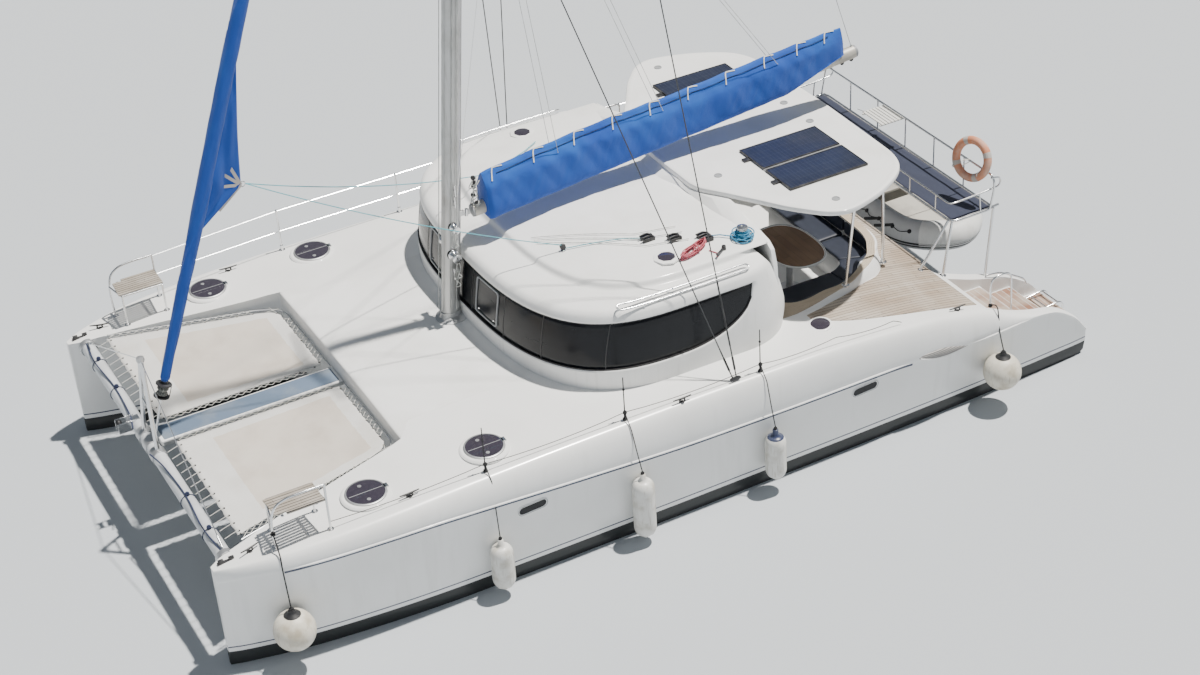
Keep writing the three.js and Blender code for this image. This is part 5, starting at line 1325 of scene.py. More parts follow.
SCOOP_X = (-3.02, -3.78)
strakes, navy = [], []
for front, aft in ((5.22, -3.06), (-3.66, -4.98)):
    xs = np.linspace(front, aft, max(int((front - aft) * 9), 8))
    rings = []
    for i, x in enumerate(xs):
        _, _, _, _, ky, kz = station(x)[:6]
        grow = min(1, (i + 0.15) / 4, (len(xs) - 1 - i + 0.15) / 4)
        r = 0.017 * grow
        rings.append([(x, ky - 0.008 + max(r * cos(a), -0.004) * 1.25, kz + r * sin(a) * 0.9)
            for a in around(12)])
    strakes.append(skin(rings))
    if front < 0:
        continue
    below_rings = []
    for x in xs[1:-1]:
        kz = knuckle_z(x)
        low, high = kz - 0.046, kz - 0.0165
        below_rings.append([(x, side_y(x, high) - 0.003, high), (x, side_y(x, high) + 0.0018, high),
            (x, side_y(x, low) + 0.0018, low), (x, side_y(x, low) - 0.003, low)])
    navy.append(skin(below_rings))


def oval(x, z, half, rise, off, steps=36):
    """A ring of points on the topside: a stadium round a centre, standing off the surface."""
    ring = []
    for a in around(steps):
        px = x + copysign(half - rise, cos(a)) + rise * cos(a)
        pz = z + rise * sin(a) - 0.055 * (px - x)
        ring.append((px, side_y(px, pz) + off, pz))
    return ring


port_rings, port_glass, port_lips = [], [], []
for x, z in ((2.22, 0.97), (-2.26, 0.86)):
    port_rings.append(
        skin([oval(x, z, half, rise, off)
        for half, rise, off in ((0.198, 0.074, -0.006), (0.196, 0.072, 0.004), (0.188, 0.064, 0.008),
        (0.172, 0.05, 0.006), (0.168, 0.046, -0.004))], ends=(False, False)))
    port_glass.append(skin([oval(x, z, 0.17, 0.048, off) for off in (-0.001, 0.0015)]))
    port_lips.append(skin([oval(x, z, half, rise, 0.0085) for half, rise in ((0.188, 0.064), (0.18, 0.057))],
        ends=(False, False)))
scoops = []
for t in np.linspace(0, 1, 25):
    x = SCOOP_X[0] + (SCOOP_X[1] - SCOOP_X[0]) * t
    kz = knuckle_z(x) + 0.012
    size_t = max(sin(pi * t ** 0.85), 0.03)
    scoops.append(
        [(x, station(x)[4] - 0.004 + 0.03 * size_t * max(cos(a), -0.2),
        kz + 0.062 * size_t * sin(a) + 0.04 * (0.5 - t)) for a in around(24)])
scoop = skin(scoops)
lip = pipe([Vector(ring[20]).lerp(Vector(ring[21]), 0.5) + vec(0, 0.002, 0) for ring in scoops[1:-6]],
    lambda t: 0.009 * (1 - t) ** 0.5 + 0.002, 8, 1)
slits = ("Wave", 16.0, None, "Z")
vent_grey = surface("vent_grey", (0.42, 0.42, 0.41), 0.5, relief=(slits, 0.6, 0.006),
    tones=((0.16, 0.155, 0.15), (0.42, 0.4, 0.38), slits, 0.35, 0.6))
navy_line = surface("navy_line", (0.02, 0.03, 0.08), 0.35,
    worn=((0.02, 0.03, 0.08), (0.16, 0.17, 0.2), 0.5, 4.0))
for side_name, turn_side in SIDES:
    piece(f"rub_strake_{side_name}", [(turn_side(strakes), deck_white), (turn_side(navy), navy_line)],
        smooth=50)
    piece(f"portlights_{side_name}", [(turn_side(port_rings), deck_white), (turn_side(port_glass), tinted),
        (turn_side(port_lips), grey_plastic), (turn_side(scoop), vent_grey), (turn_side(lip), deck_white)],
        smooth=50)

# Deck hatches. Round tinted lids in white rings, each with a hinge aft, a centre bar and two
# catches that show through; a smaller dark inspection plate lies on each side deck.
HATCHES = {"fore_port": (3.94, 2.5), "mid_port": (2.5, 2.52)}
FRAME_H = 0.028
lens = surface("hatch_lens", (0.028, 0.022, 0.035), 0.09, Coat_Weight=0.8, Coat_Roughness=0.04,
    tones=((0.016, 0.013, 0.022), (0.05, 0.042, 0.058), ("Noise", 14.0, 6.0)))
for base_name, (x, y) in HATCHES.items():
    for side in (1, -1):
        name = base_name if side > 0 else base_name.replace("port", "starboard")
        at = vec(x, side * y, deck_height(x, y))
        frame_ring = turned(((0.236, -0.02), (0.285, -0.02), (0.29, 0.006), (0.276, 0.02),
            (0.262, FRAME_H - 0.001), (0.238, FRAME_H - 0.001), (0.236, -0.02)), at, steps=56)
        piece(f"hatch_frame_{name}", [(frame_ring, deck_white)], smooth=40)
        top = at + vec(0, 0, FRAME_H + 0.0012)
        rim = turned(((0.214, 0.001), (0.235, 0.001), (0.2355, 0.01), (0.23, 0.0135), (0.216, 0.0135),
            (0.214, 0.001)), top, steps=56)
        disc = turned(((0, 0.002), (0.2145, 0.002), (0.2145, 0.01), (0.16, 0.0122), (0, 0.0126)), top,
            steps=56)
        strip = block(x - 0.2, x + 0.2, side * y - 0.004, side * y + 0.004, top.z + 0.0118, top.z + 0.0137)
        catches = [turned(((0, 0.012), (0.024, 0.012), (0.022, 0.0139), (0, 0.0139)),
            top + vec(0.02, k * 0.135, 0), steps=20) for k in (1, -1)]
        knuckle = bar((x - 0.258, side * y - 0.038, top.z + 0.007),
            (x - 0.258, side * y + 0.038, top.z + 0.007), 0.0068, 14)
        leaf = block(x - 0.254, x - 0.205, side * y - 0.036, side * y + 0.036, top.z + 0.003, top.z + 0.0135)
        piece(f"hatch_{name}", [(rim, alloy), (disc, lens), (strip, grey_plastic), (catches, alloy),
            ([knuckle, leaf], steel)], body=f"lid_{name}", stands_for=[f"hatch_lid_{name}"],
            smooth=40)
for side in (1, -1):
    at, square = (-2.02, side * 2.46, deck_height(-2.02, 2.46)), (0.05, side * 0.055, 1)
    plate_shape = turned(((0, 0.013), (0.112, 0.013), (0.12, 0.01), (0.12, -0.01)), at, square, 40)
    ring_shape = turned(((0.119, -0.01), (0.146, -0.01), (0.146, 0.01), (0.136, 0.018), (0.12, 0.018),
        (0.119, -0.01)), at, square, 40)
    piece("side_hatch_" + ("port" if side > 0 else "starboard"),
        [(plate_shape, lens), (ring_shape, deck_white)], smooth=40)

# Teak. Weathered planks with dark caulking on the side decks, the aft deck and the cockpit's
# coaming, and redder slatted planks across the stern steps.
teak_planks, given, result = effect("teak_planks",
    [("Along", "Float", 0.0), ("Across", "Float", 0.0), ("Pitch", "Float", 0.05), ("Gap", "Float", 0.08),
    ("Clean", "Color", (0.4, 0.3, 0.2, 1)), ("Bleached", "Color", (0.6, 0.6, 0.5, 1)),
    ("Seam", "Color", (0.03, 0.03, 0.03, 1))], [("Color", "Color"), ("Height", "Float")])
count = maths("DIVIDE", given.outputs["Across"], given.outputs["Pitch"])
share = maths("FRACT", count)
gap_mask = maths("GREATER_THAN", share, maths("SUBTRACT", 1.0, given.outputs["Gap"]))
plank_no = maths("FLOOR", count)
stagger = maths("MULTIPLY", maths("FRACT", maths("MULTIPLY", plank_no, 0.377)), 2.0)
board = maths("DIVIDE", maths("ADD", given.outputs["Along"], stagger), 1.9)
butt = maths("FRACT", board)
gap_mask = maths("MAXIMUM", gap_mask, maths("LESS_THAN", butt, 0.0025))
tone_at = node(teak_planks, "ShaderNodeCombineXYZ", {"X": plank_no, "Y": maths("FLOOR", board)})
tone = node(teak_planks, "ShaderNodeTexWhiteNoise", {"Vector": tone_at.outputs[0]})
grain_at = node(teak_planks, "ShaderNodeCombineXYZ",
    {"X": maths("MULTIPLY", given.outputs["Along"], 3.0),
    "Y": maths("MULTIPLY", given.outputs["Across"], 120.0), "Z": plank_no})
grain = node(teak_planks, "ShaderNodeTexNoise", {"Vector": grain_at.outputs[0], "Scale": 1.0, "Detail": 5.0})
wear_at = node(teak_planks, "ShaderNodeTexNoise", {"Scale": 2.6, "Detail": 5.0})
worn = maths("ADD", maths("MULTIPLY", ramp(wear_at.outputs[0], 0.32, 0.68), 0.6),
    maths("MULTIPLY", tone.outputs[0], 0.4))
wood = mixed(worn, given.outputs["Clean"], given.outputs["Bleached"])
dark_grain = maths("MULTIPLY", ramp(grain.outputs[0], 0.45, 0.75), 0.35)
wood = mixed(dark_grain, wood, (0.13, 0.1, 0.075))
relief = maths("SUBTRACT", maths("MULTIPLY", grain.outputs[0], 0.3), gap_mask)
feed(result, {"Color": mixed(gap_mask, wood, given.outputs["Seam"]), "Height": relief})


def timber(name, along, across, pitch, gap, clean, bleached, seam):
    made, tree, shader = finish(name, clean, 0.75)
    spot = node(tree, "ShaderNodeSeparateXYZ", {0: node(tree, "ShaderNodeTexCoord").outputs["Object"]})
    planks = placed(tree, teak_planks, Along=spot.outputs[along], Across=spot.outputs[across], Pitch=pitch,
        Gap=gap, Clean=(*clean, 1), Bleached=(*bleached, 1), Seam=(*seam, 1))
    feed(shader, {"Base Color": planks.outputs["Color"]})
    bumped(shader, planks.outputs["Height"], 0.4, 0.002)
    return made


deck_teak = timber("deck_teak", "X", "Y", 0.052, 0.12, (0.33, 0.25, 0.18), (0.52, 0.46, 0.39),
    (0.03, 0.028, 0.026))
step_teak = timber("step_teak", "Y", "X", 0.088, 0.08, (0.25, 0.105, 0.055), (0.5, 0.43, 0.36),
    (0.55, 0.54, 0.51))


def coaming_foot(x):
    """Where the side deck meets the outside of the cockpit's coaming."""
    return float(eased(x, [-1.99, -2.2, -2.41, -2.62, -2.77, -3.08, -3.3, -3.5, -3.64, -3.74, -3.79, -3.8],
        [2.21, 2.16, 2.09, 2.03, 1.98, 1.85, 1.77, 1.6, 1.4, 1.15, 0.9, 0.0])) + 0.004


def outboard_edge(x):
    return float(eased(x, [-4.1, -3.7, -3.2, -2.6, -2.2, -1.94], [2.8, 2.775, 2.72, 2.6, 2.45, 2.26]))


deck_rows = []
for x in np.linspace(-1.99, -4.09, 46):
    low = max(coaming_foot(x), 1.62)
    deck_rows.append([(x, y, deck_height(x, y) + 0.006) for y in np.linspace(low, outboard_edge(x), 16)])
deck_strip = skin(deck_rows, closed=False)


def cross_height(x):
    top_aft, top_fore = station(-4.049)[9], station(-3.15)[9] + 0.015
    return top_aft - 0.001 + (top_fore - top_aft + 0.001) * (x + 4.15) / 1.1


aft_rows = []
for y in np.linspace(-1.63, 1.63, 54):
    front = float(eased(abs(y), [0, 0.9, 1.15, 1.4, 1.6, 1.63],
        [-3.8, -3.79, -3.74, -3.64, -3.5, -3.47])) - 0.004
    if -1.35 < y < -0.62:
        front = max(front, -3.6)
    aft_rows.append([(x, y, max(cross_height(x), deck_height(x, 1.62) if abs(y) > 1.5 else 0) + 0.006)
        for x in np.linspace(front, -4.1, 10)])
aft_strip = skin(aft_rows, closed=False)
teak_deck = piece("teak_decks", [(deck_strip, deck_teak), (flipped(deck_strip), deck_teak),
    (aft_strip, deck_teak)], smooth=40)
thickened(teak_deck, "planking", 0.012)
treads = []
for (front, aft, z), shrink in zip(STEPS, (0.0, 0.0, 0.02)):
    outline = rounded([(aft + 0.018, STEP_INNER_Y + 0.03 + shrink), (front - 0.014, STEP_INNER_Y + 0.03),
        (front - 0.014, STEP_OUTER_Y - 0.03), (aft + 0.018, STEP_OUTER_Y - 0.05 - shrink)], 0.05)
    treads.append(slab(outline, ((0.0, z - 0.002), (0.0, z + 0.012), (0.003, z + 0.015))))
for side_name, turn_side in SIDES:
    piece(f"stern_step_planks_{side_name}", [(turn_side(treads), step_teak)], soften=0.002)

# Bow rails. Bent steel tube welded to foot plates that are bolted to the deck, over slatted seats
# of weathered teak on alloy bearers.
slat_teak = timber("slat_teak", "X", "Y", 0.0463, 0.02, (0.31, 0.27, 0.22), (0.46, 0.42, 0.37),
    (0.15, 0.13, 0.11))
hoop = pipe([(5.1, 2.715, 1.43), (5.108, 2.725, 1.62), (5.1, 2.745, 1.82), (5.05, 2.77, 1.97),
    (4.93, 2.79, 2.045), (4.75, 2.8, 2.062), (4.6, 2.8, 2.062), (4.49, 2.8, 2.062)], 0.0135, 14, 6)
# Each tube of the seat's frame: its two ends, radius and sides
SEAT_TUBES = (((4.49, 2.8, 1.465), (4.49, 2.8, 2.066), 0.0135, 14),
    ((5.04, 2.42, 1.42), (5.04, 2.42, 1.842), 0.0125, 14),
    ((4.52, 2.42, 1.46), (4.52, 2.42, 1.842), 0.0125, 14),
    ((4.49, 2.8, 1.836), (4.52, 2.42, 1.836), 0.0115, 12),
    ((5.104, 2.74, 1.836), (5.04, 2.42, 1.836), 0.0115, 12),
    ((5.04, 2.42, 1.84), (4.52, 2.42, 1.84), 0.0115, 12))
pulpit_posts = [bar(*tube) for tube in SEAT_TUBES]
FOOT_PLATE = ((0, -0.006), (0.038, -0.006), (0.038, 0.006), (0.018, 0.012), (0.016, 0.03), (0, 0.03))
for x, y in ((5.1, 2.715), (4.49, 2.8), (5.04, 2.42), (4.52, 2.42)):
    pulpit_posts.append(turned(FOOT_PLATE, (x, y, deck_height(x, y))))
slats = []
for k in range(8):
    y = 2.436 + 0.0463 * k
    front = 5.075 - 0.02 * (k / 7) - (0.12 if k == 7 else 0.0)
    slats.append(block(4.5, front, y, y + 0.036, 1.846, 1.863))
bearers = [block(x, x + 0.03, 2.425, 2.79, 1.832, 1.847) for x in (4.58, 4.97)]
for side_name, turn_side in SIDES:
    piece(f"bow_rail_{side_name}", [(turn_side([hoop] + pulpit_posts), steel), (turn_side(slats), slat_teak),
        (turn_side(bearers), alloy)], stands_for=[f"pulpit_{side_name}"], smooth=40,
        soften=0.0015)

# Guard rails. To starboard, steel posts with two wires and a white padded bar across the gate;
# to port, thin black posts with a single line laid along the deck edge.
POSTS_STARBOARD = ((2.78, -2.87), (1.1, -2.88), (-0.9, -2.905), (-2.3, -2.925), (-3.5, -2.895))
POSTS_PORT = ((2.66, 2.87), (0.9, 2.88), (-0.89, 2.905))
POST_TOP_Z = 2.115
# Height of each wire, and of its end on the bow rail
WIRES_Z = ((2.1, 2.05), (1.8, 1.78))
BOW_RAIL_END = (4.49, 2.8)


def edge_z(x, y):
    return deck_height(x, min(abs(y), station(x)[6]))


rail_steel, rail_dark = [], []
for x, y in POSTS_STARBOARD:
    foot = vec(x, y, edge_z(x, y))
    rail_steel.append(bar(foot, (x, y, POST_TOP_Z), 0.0125, 14))
    rail_steel.append(turned(((0, 0), (0.04, 0), (0.04, 0.006), (0.022, 0.012), (0.02, 0.07), (0, 0.07)),
        foot))
    rail_steel.append(turned(((0, 0), (0.0125, 0), (0.015, 0.004), (0.011, 0.012), (0, 0.015)),
        (x, y, POST_TOP_Z - 0.008)))
route = [(BOW_RAIL_END[0], -BOW_RAIL_END[1]), *POSTS_STARBOARD]
for z, start_z in WIRES_Z:
    for (x0, y0), (x1, y1) in zip(route, route[1:]):
        z0 = start_z if x0 > 4 else z
        rail_steel.append(bar((x0, y0, z0), (x1, y1, z), 0.0035, 6))
gate = POSTS_STARBOARD[2:4]
padded_bar = pipe([(gate[0][0] - 0.02, gate[0][1], 1.93), (gate[1][0] + 0.02, gate[1][1], 1.93)], 0.021, 14,
    6)
gate_rails = [pipe([(x, y, 1.7), (x, y, 2.06), (x - 0.05 * s, y, 2.112), (x - 0.3 * s, y, 2.114)], 0.011, 12,
    6) for (x, y), s in ((gate[0], 1), (gate[1], -1))]
piece("guard_rails_starboard", [(rail_steel + gate_rails, steel), (padded_bar, white_webbing)],
    stands_for=["guard_posts_starboard"], smooth=40)
for x, y in POSTS_PORT:
    foot = vec(x, y, edge_z(x, y))
    rail_dark.append(bar(foot, (x, y, POST_TOP_Z), 0.008, 10, end_radius=0.006))
    rail_dark.append(turned(((0, 0), (0.028, 0), (0.026, 0.02), (0.013, 0.03), (0.012, 0.12), (0, 0.12)),
        foot))
    rail_dark.append(pipe(knot(foot + vec(0, 0.004, 0.1), 0.02), 0.007, 8, 2))
    rail_dark.append(turned(((0, -0.006), (0.014, -0.006), (0.014, 0.006), (0, 0.006)), (x, y, 1.95)))
lay = [BOW_RAIL_END, *POSTS_PORT, (-1.95, 2.9), (-2.9, 2.885)]
line_pts = []
for (x0, y0), (x1, y1) in zip(lay, lay[1:]):
    for t in np.linspace(0, 1, 9)[:-1]:
        x, y = x0 + (x1 - x0) * t, y0 + (y1 - y0) * t
        line_pts.append((x, y, edge_z(x, y) + 0.055 + 0.045 * (2 * t - 1) ** 2))
line_pts.append((-2.9, 2.885, edge_z(-2.9, 2.885) + 0.03))
rail_dark.append(pipe(line_pts, 0.0045, 6, 2))
piece("guard_posts_black", [(rail_dark, black_rope)], stands_for=["guard_posts_port"],
    smooth=40)


# Cleats. Dark two-horned alloy cleats on round feet, bolted along the deck edges, and open
# fairleads at the bows.
def cleat(x, y, z, turn=0.0, length=0.24):
    c, s = cos(turn), sin(turn)

    def at(u, h):
        return vec(x + c * u, y + s * u, z + h)
    horn = [at(-length / 2, 0.052), at(-length / 4, 0.048), at(0, 0.044), at(length / 4, 0.048),
        at(length / 2, 0.052)]
    shape = [pipe(horn, lambda t: 0.013 - 0.006 * abs(2 * t - 1), 10, 4)]
    shape += [bar(at(u, 0), at(u * 0.8, 0.046), 0.011, 10) for u in (-0.035, 0.035)]
    shape.append(turned(((0, 0), (0.028, 0), (0.026, 0.006), (0, 0.007)), at(0, 0)))
    return together(shape)


CLEAT_PLACES = ((5.35, 2.6, 0.3), (0.18, 2.935, 0.02), (-3.75, 2.86, 0.0), (3.55, 2.8, 0.05))
FAIRLEAD_AT = (5.62, 2.58)
cleats = []
for x, y, turn in CLEAT_PLACES:
    for side in (1, -1):
        shape = cleat(x, y, edge_z(x, y) - 0.001 if x < 5.3 else station(5.35)[7], turn=turn)
        cleats.append(shape if side > 0 else flipped(shape))
x, y = FAIRLEAD_AT
fairlead = [block(x - 0.1, x + 0.1, y - 0.02, y + 0.02, 1.352, 1.372)]
fairlead += [block(x0, x0 + 0.06, y - 0.015, y + 0.015, 1.37, 1.405) for x0 in (x - 0.09, x + 0.03)]
cleats += fairlead + flipped(fairlead)
piece("deck_cleats", [(cleats, black_plastic)], soften=0.002, smooth=45)

# Standing rigging. Dark wire shrouds with turnbuckles on black chainplates, wires over the
# spreaders, lazy jacks to the boom and the topping lift.
CHAINPLATE = (-0.56, 2.925, 1.551)
wires, shrouds, dark = [], [], []
for side in (1, -1):
    foot = vec(CHAINPLATE[0], side * CHAINPLATE[1], CHAINPLATE[2])
    head = mast_point(HOUNDS_Z, -0.04, side * 0.078)
    low_head = mast_point(SPREADER_Z - 0.3, -0.03, side * 0.078)
    for k, (a, b) in enumerate(((foot, head), (foot + vec(0.04, 0, 0), low_head))):
        run = (b - a).normalized()
        shrouds.append(bar(a + run * 0.3, b, 0.0072, 8))
        dark.append(bar(a + run * 0.04, a + run * 0.16, 0.008, 10))
        dark.append(bar(a + run * 0.14, a + run * 0.3, 0.0135, 12))
        dark.append(bar(a + run * 0.29, a + run * 0.4, 0.0085, 10))
        if side > 0 and k == 0:
            dark.append(bar(a + run * 0.44, a + run * 1.25, 0.0105, 10))
    plate_outline = [(CHAINPLATE[0] + 0.075 * cos(t) + 0.02, CHAINPLATE[2] + 0.028 + 0.03 * sin(t))
        for t in around(20)]
    y = side * CHAINPLATE[1]
    dark.append(
        skin([[(px, y - 0.008, pz) for px, pz in plate_outline],
        [(px, y + 0.008, pz) for px, pz in plate_outline]]))
    tip = mast_point(SPREADER_Z, -0.18, side * 0.838) + vec(0, 0, 0.06)
    upper = mast_point(HOUNDS_Z - 0.4, -0.02, side * 0.078)
    wires += [bar(tip, upper, 0.004, 6), bar(tip, mast_point(3.2, -0.03, side * 0.078), 0.004, 6)]
aged_wire = surface("aged_wire", (0.07, 0.072, 0.075), 0.5, Metallic=0.5,
    relief=(("Wave", 60.0, None, "Z"), 0.3, 0.001))
piece("shroud_wires", [(wires, steel), (shrouds, aged_wire), (dark, black_plastic)],
    stands_for=["shrouds_port", "shrouds_starboard"], smooth=40)
grey_line = surface("grey_line", (0.46, 0.47, 0.46), 0.8,
    tones=((0.34, 0.36, 0.35), (0.6, 0.61, 0.58), ("Noise", 70.0, 2.0), 0.4, 0.6))

halyards = []
for y, fore, top in ((0.035, 0.13, 11.0), (-0.035, 0.13, 14.6), (0.082, -0.02, 15.4), (-0.082, -0.02, 15.8),
        (0.086, 0.03, 12.6)):
    halyards.append(bar(mast_point(1.8, fore + 0.012 * copysign(1, fore), y * 1.15), mast_point(top, fore, y),
        0.0055, 6))
for k, (z, size) in enumerate(((2.46, 0.09), (2.4, 0.11), (2.86, 0.08))):
    at = mast_point(z, -0.02 + 0.02 * k, 0.155)
    coil = [at + vec(0.03 * sin(t * 2), 0.012 * cos(t * 3), -size * 2.6 * abs(sin(t / 2)) + 0.02)
        for t in np.linspace(0, 2 * pi * 3, 46)]
    halyards.append(pipe(coil, 0.006, 7, 2))
piece("mast_lines", [(halyards, grey_line)])
jacks = []
for side in (1, -1):
    start = mast_point(9.2, -0.05, side * 0.09)
    for x in (0.15, -1.3, -2.95):
        end = Vector(cover_point(x, 0.3, side)) + vec(0, side * 0.006, 0.002)
        jacks.append(bar(start, end, 0.0035, 6))
jacks.append(bar(mast_point(16.4, -0.1), (-4.12, 0, boom_under(-4.12) + 0.185), 0.0045, 6))
jacks.append(bar((-4.12, 0, boom_under(-4.12) + 0.17), (-4.12, 0, boom_under(-4.12) + 0.21), 0.01, 10))
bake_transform(piece("lazy_jacks", [(jacks, grey_line)], body=None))

# Reefing lines. A loose bundle of grey lines at the boom's forward end, led through small black
# blocks on the boom, with which they swing.
rng = random.Random(7)
bundle, blocks_dark = [], []
for k in range(9):
    z0 = 3.02 + 0.055 * k
    pts = [vec(1.17 + 0.05 * rng.random(), rng.uniform(-0.05, 0.09), z0),
        vec(1.22 + 0.03 * rng.random(), rng.uniform(0.02, 0.11), z0 - 0.05),
        vec(1.25 + 0.04 * rng.random(), rng.uniform(-0.06, 0.06), z0 - 0.1),
        vec(1.2 + 0.05 * rng.random(), rng.uniform(-0.09, 0.02), z0 - 0.02)]
    bundle.append(pipe(pts, 0.006, 7, 5))
for k in range(5):
    at = vec(1.23 + 0.02 * sin(k * 2), 0.05 * cos(k * 1.7), 3.12 + 0.085 * k)
    blocks_dark.append(turned(((0, -0.014), (0.028, -0.014), (0.02, 0), (0.028, 0.014), (0, 0.014)), at,
        (0.2, 1, 0.1), 18))
piece("tack_lines", [(bundle, grey_line), (blocks_dark, black_plastic)], body="boom_and_sail")


# Sheets and control lines. Two blue sheets from the clew and three leads across the coachroof to
# turning blocks, clutches and a winch with blue rope on it; a red line lies hanked beside.
def inside_roof(x, y, z):
    front, half, straight, n = roof_level(z)
    if x <= straight:
        return abs(y) <= half
    if x >= front:
        return False
    return ((x - straight) / (front - straight)) ** n + (abs(y) / half) ** n <= 1


def roof_top(x, y):
    """Height of the coachroof above a place."""
    low, high = 2.5, float(ROOF_LEVELS[-1, 0])
    if inside_roof(x, y, high):
        return high
    for _ in range(18):
        middle = (low + high) / 2
        low, high = (middle, high) if inside_roof(x, y, middle) else (low, middle)
    return low


def sagged(a, b, drop, steps=12):
    """Points on a line between two points that hangs by a drop at its middle."""
    a, b = Vector(a), Vector(b)
    return [a.lerp(b, t) - vec(0, 0, drop * 4 * t * (1 - t)) for t in np.linspace(0, 1, steps)]


def over_roof(points, lift, steps=10):
    made = []
    for (x0, y0), (x1, y1) in zip(points, points[1:]):
        for t in np.linspace(0, 1, steps, endpoint=False):
            x, y = x0 + (x1 - x0) * t, y0 + (y1 - y0) * t
            made.append(vec(x, y, roof_top(x, y) + lift))
    x, y = points[-1]
    return made + [vec(x, y, roof_top(x, y) + lift)]


def coloured_rope(name, dark, pale):
    braid = ("Wave", 55.0, 3.0, "DIAGONAL")
    return surface(name, dark, 0.75, tones=(dark, pale, braid, 0.55, 0.85), relief=(braid, 0.5, 0.002))


blue_rope = coloured_rope("blue_rope", (0.01, 0.16, 0.33), (0.12, 0.42, 0.58))
cyan_rope = coloured_rope("cyan_rope", (0.03, 0.3, 0.38), (0.3, 0.6, 0.64))
red_rope = coloured_rope("red_rope", (0.42, 0.02, 0.05), (0.72, 0.3, 0.34))
CLUTCHES = ((-0.29, 1.43), (-0.56, 1.59), (-0.88, 1.75))
WINCH_AT = (-1.28, 1.93)
sheets = []
for side in (1, -1):
    lead = vec(0.62, side * 1.02, roof_top(0.62, 1.02) + 0.07)
    sheets.append(pipe(sagged(CLEW + vec(-0.05, 0, 0), lead, 0.1, 14), 0.006, 8, 2))
    sheets.append(pipe(over_roof([(0.62, side * 1.02), (-0.05, side * 1.28), (-0.29, side * 1.43)], 0.022),
        0.006, 8, 1))
for y0, y1 in ((0.55, 1.36), (0.62, 1.5), (0.7, 1.66)):
    sheets.append(pipe(over_roof([(0.8, y0), (-0.2, y1 * 0.93), (-0.7, y1 + 0.02)], 0.018), 0.0045, 6, 1))
piece("jib_sheets", [(sheets[:4], cyan_rope), (sheets[4:], grey_line)])
gear_dark, gear_steel = [], []
for side in (1, -1):
    at = vec(0.62, side * 1.02, roof_top(0.62, 1.02))
    gear_steel.append(turned(((0, 0), (0.035, 0), (0.033, 0.008), (0, 0.009)), at))
    gear_dark.append(turned(((0, -0.018), (0.038, -0.018), (0.028, 0), (0.038, 0.018), (0, 0.018)),
        at + vec(0, 0, 0.05), (0.3, side, 0.1), 24))
for x, y in CLUTCHES:
    z = roof_top(x, y)
    for k in (-0.055, 0.0, 0.055) if x < -0.8 else (-0.03, 0.03):
        gear_dark.append(block(x - 0.075, x + 0.075, y + k - 0.022, y + k + 0.022, z - 0.005, z + 0.045))
        gear_dark.append(
            pipe([(x - 0.05, y + k, z + 0.045), (x + 0.01, y + k, z + 0.068), (x + 0.095, y + k, z + 0.058)],
            0.011, 8, 4))
z = roof_top(*WINCH_AT)
gear_steel.append(winch(vec(*WINCH_AT, z - 0.004), (0, 0, 1), 1.0))
gear_dark.append(turned(((0, 0), (0.095, 0), (0.09, 0.012), (0, 0.012)), (*WINCH_AT, z - 0.012)))
handle_at = vec(-0.97, 2.02, roof_top(-0.97, 2.02) + 0.02)
gear_dark.append(pipe([handle_at, handle_at + vec(0.1, 0.07, 0.01), handle_at + vec(0.16, 0.11, 0.015)],
    0.014, 8, 4))
gear_dark.append(turned(((0, -0.02), (0.03, -0.02), (0.024, 0.03), (0, 0.032)), handle_at))
piece("roof_gear", [(gear_dark, black_plastic), (gear_steel, steel)], soften=0.003,
    smooth=45)
turns = []
for k in range(120):
    a = k * 0.42
    turns.append((WINCH_AT[0] + (0.07 + 0.014 * sin(k * 0.11)) * cos(a),
        WINCH_AT[1] + (0.07 + 0.014 * sin(k * 0.11)) * sin(a), z + 0.028 + 0.0006 * k))
lead_in = over_roof([(-0.9, 1.75), (-1.05, 1.8)], 0.03, 3)
loose = []
for k in range(64):
    a = k * 0.5
    r = 0.108 + 0.028 * sin(k * 0.7)
    x, y = WINCH_AT[0] + r * cos(a) * 1.05, WINCH_AT[1] + r * sin(a)
    loose.append((x, y, roof_top(x, min(y, 2.08)) + 0.016 + 0.012 * (k // 13)))
piece("winch_rope",
    [(pipe(lead_in + turns, 0.0075, 8, 1), blue_rope), (pipe(loose, 0.0075, 8, 2), blue_rope)])
hank = []
for k in range(96):
    a = 2 * pi * k / 12
    wide = 0.21 + 0.022 * sin(k * 1.3)
    thin = 0.052 + 0.016 * sin(k * 0.9 + 1)
    x, y = -0.63 - wide * cos(a) * 0.93 + 0.01 * sin(k), 1.9 + thin * sin(a) + wide * cos(a) * -0.34
    hank.append((x, y, roof_top(x, y) + 0.012 + 0.01 * (k // 12) * (0.6 + 0.4 * cos(a) ** 2)))
tail = over_roof([(-0.8, 1.97), (-0.86, 2.06), (-0.82, 2.11)], 0.01, 5)
wrap = [(-0.64 + 0.01 * cos(k * 0.5) - 0.002 * k, 1.905 + 0.058 * sin(k * 0.8),
    roof_top(-0.64, 1.9) + 0.045 + 0.042 * cos(k * 0.8)) for k in range(24)]
piece("red_hank", [(pipe(hank, 0.0065, 7, 2), red_rope), (pipe(tail, 0.0065, 7, 2), red_rope),
    (pipe(wrap, 0.0065, 7, 2), red_rope)])

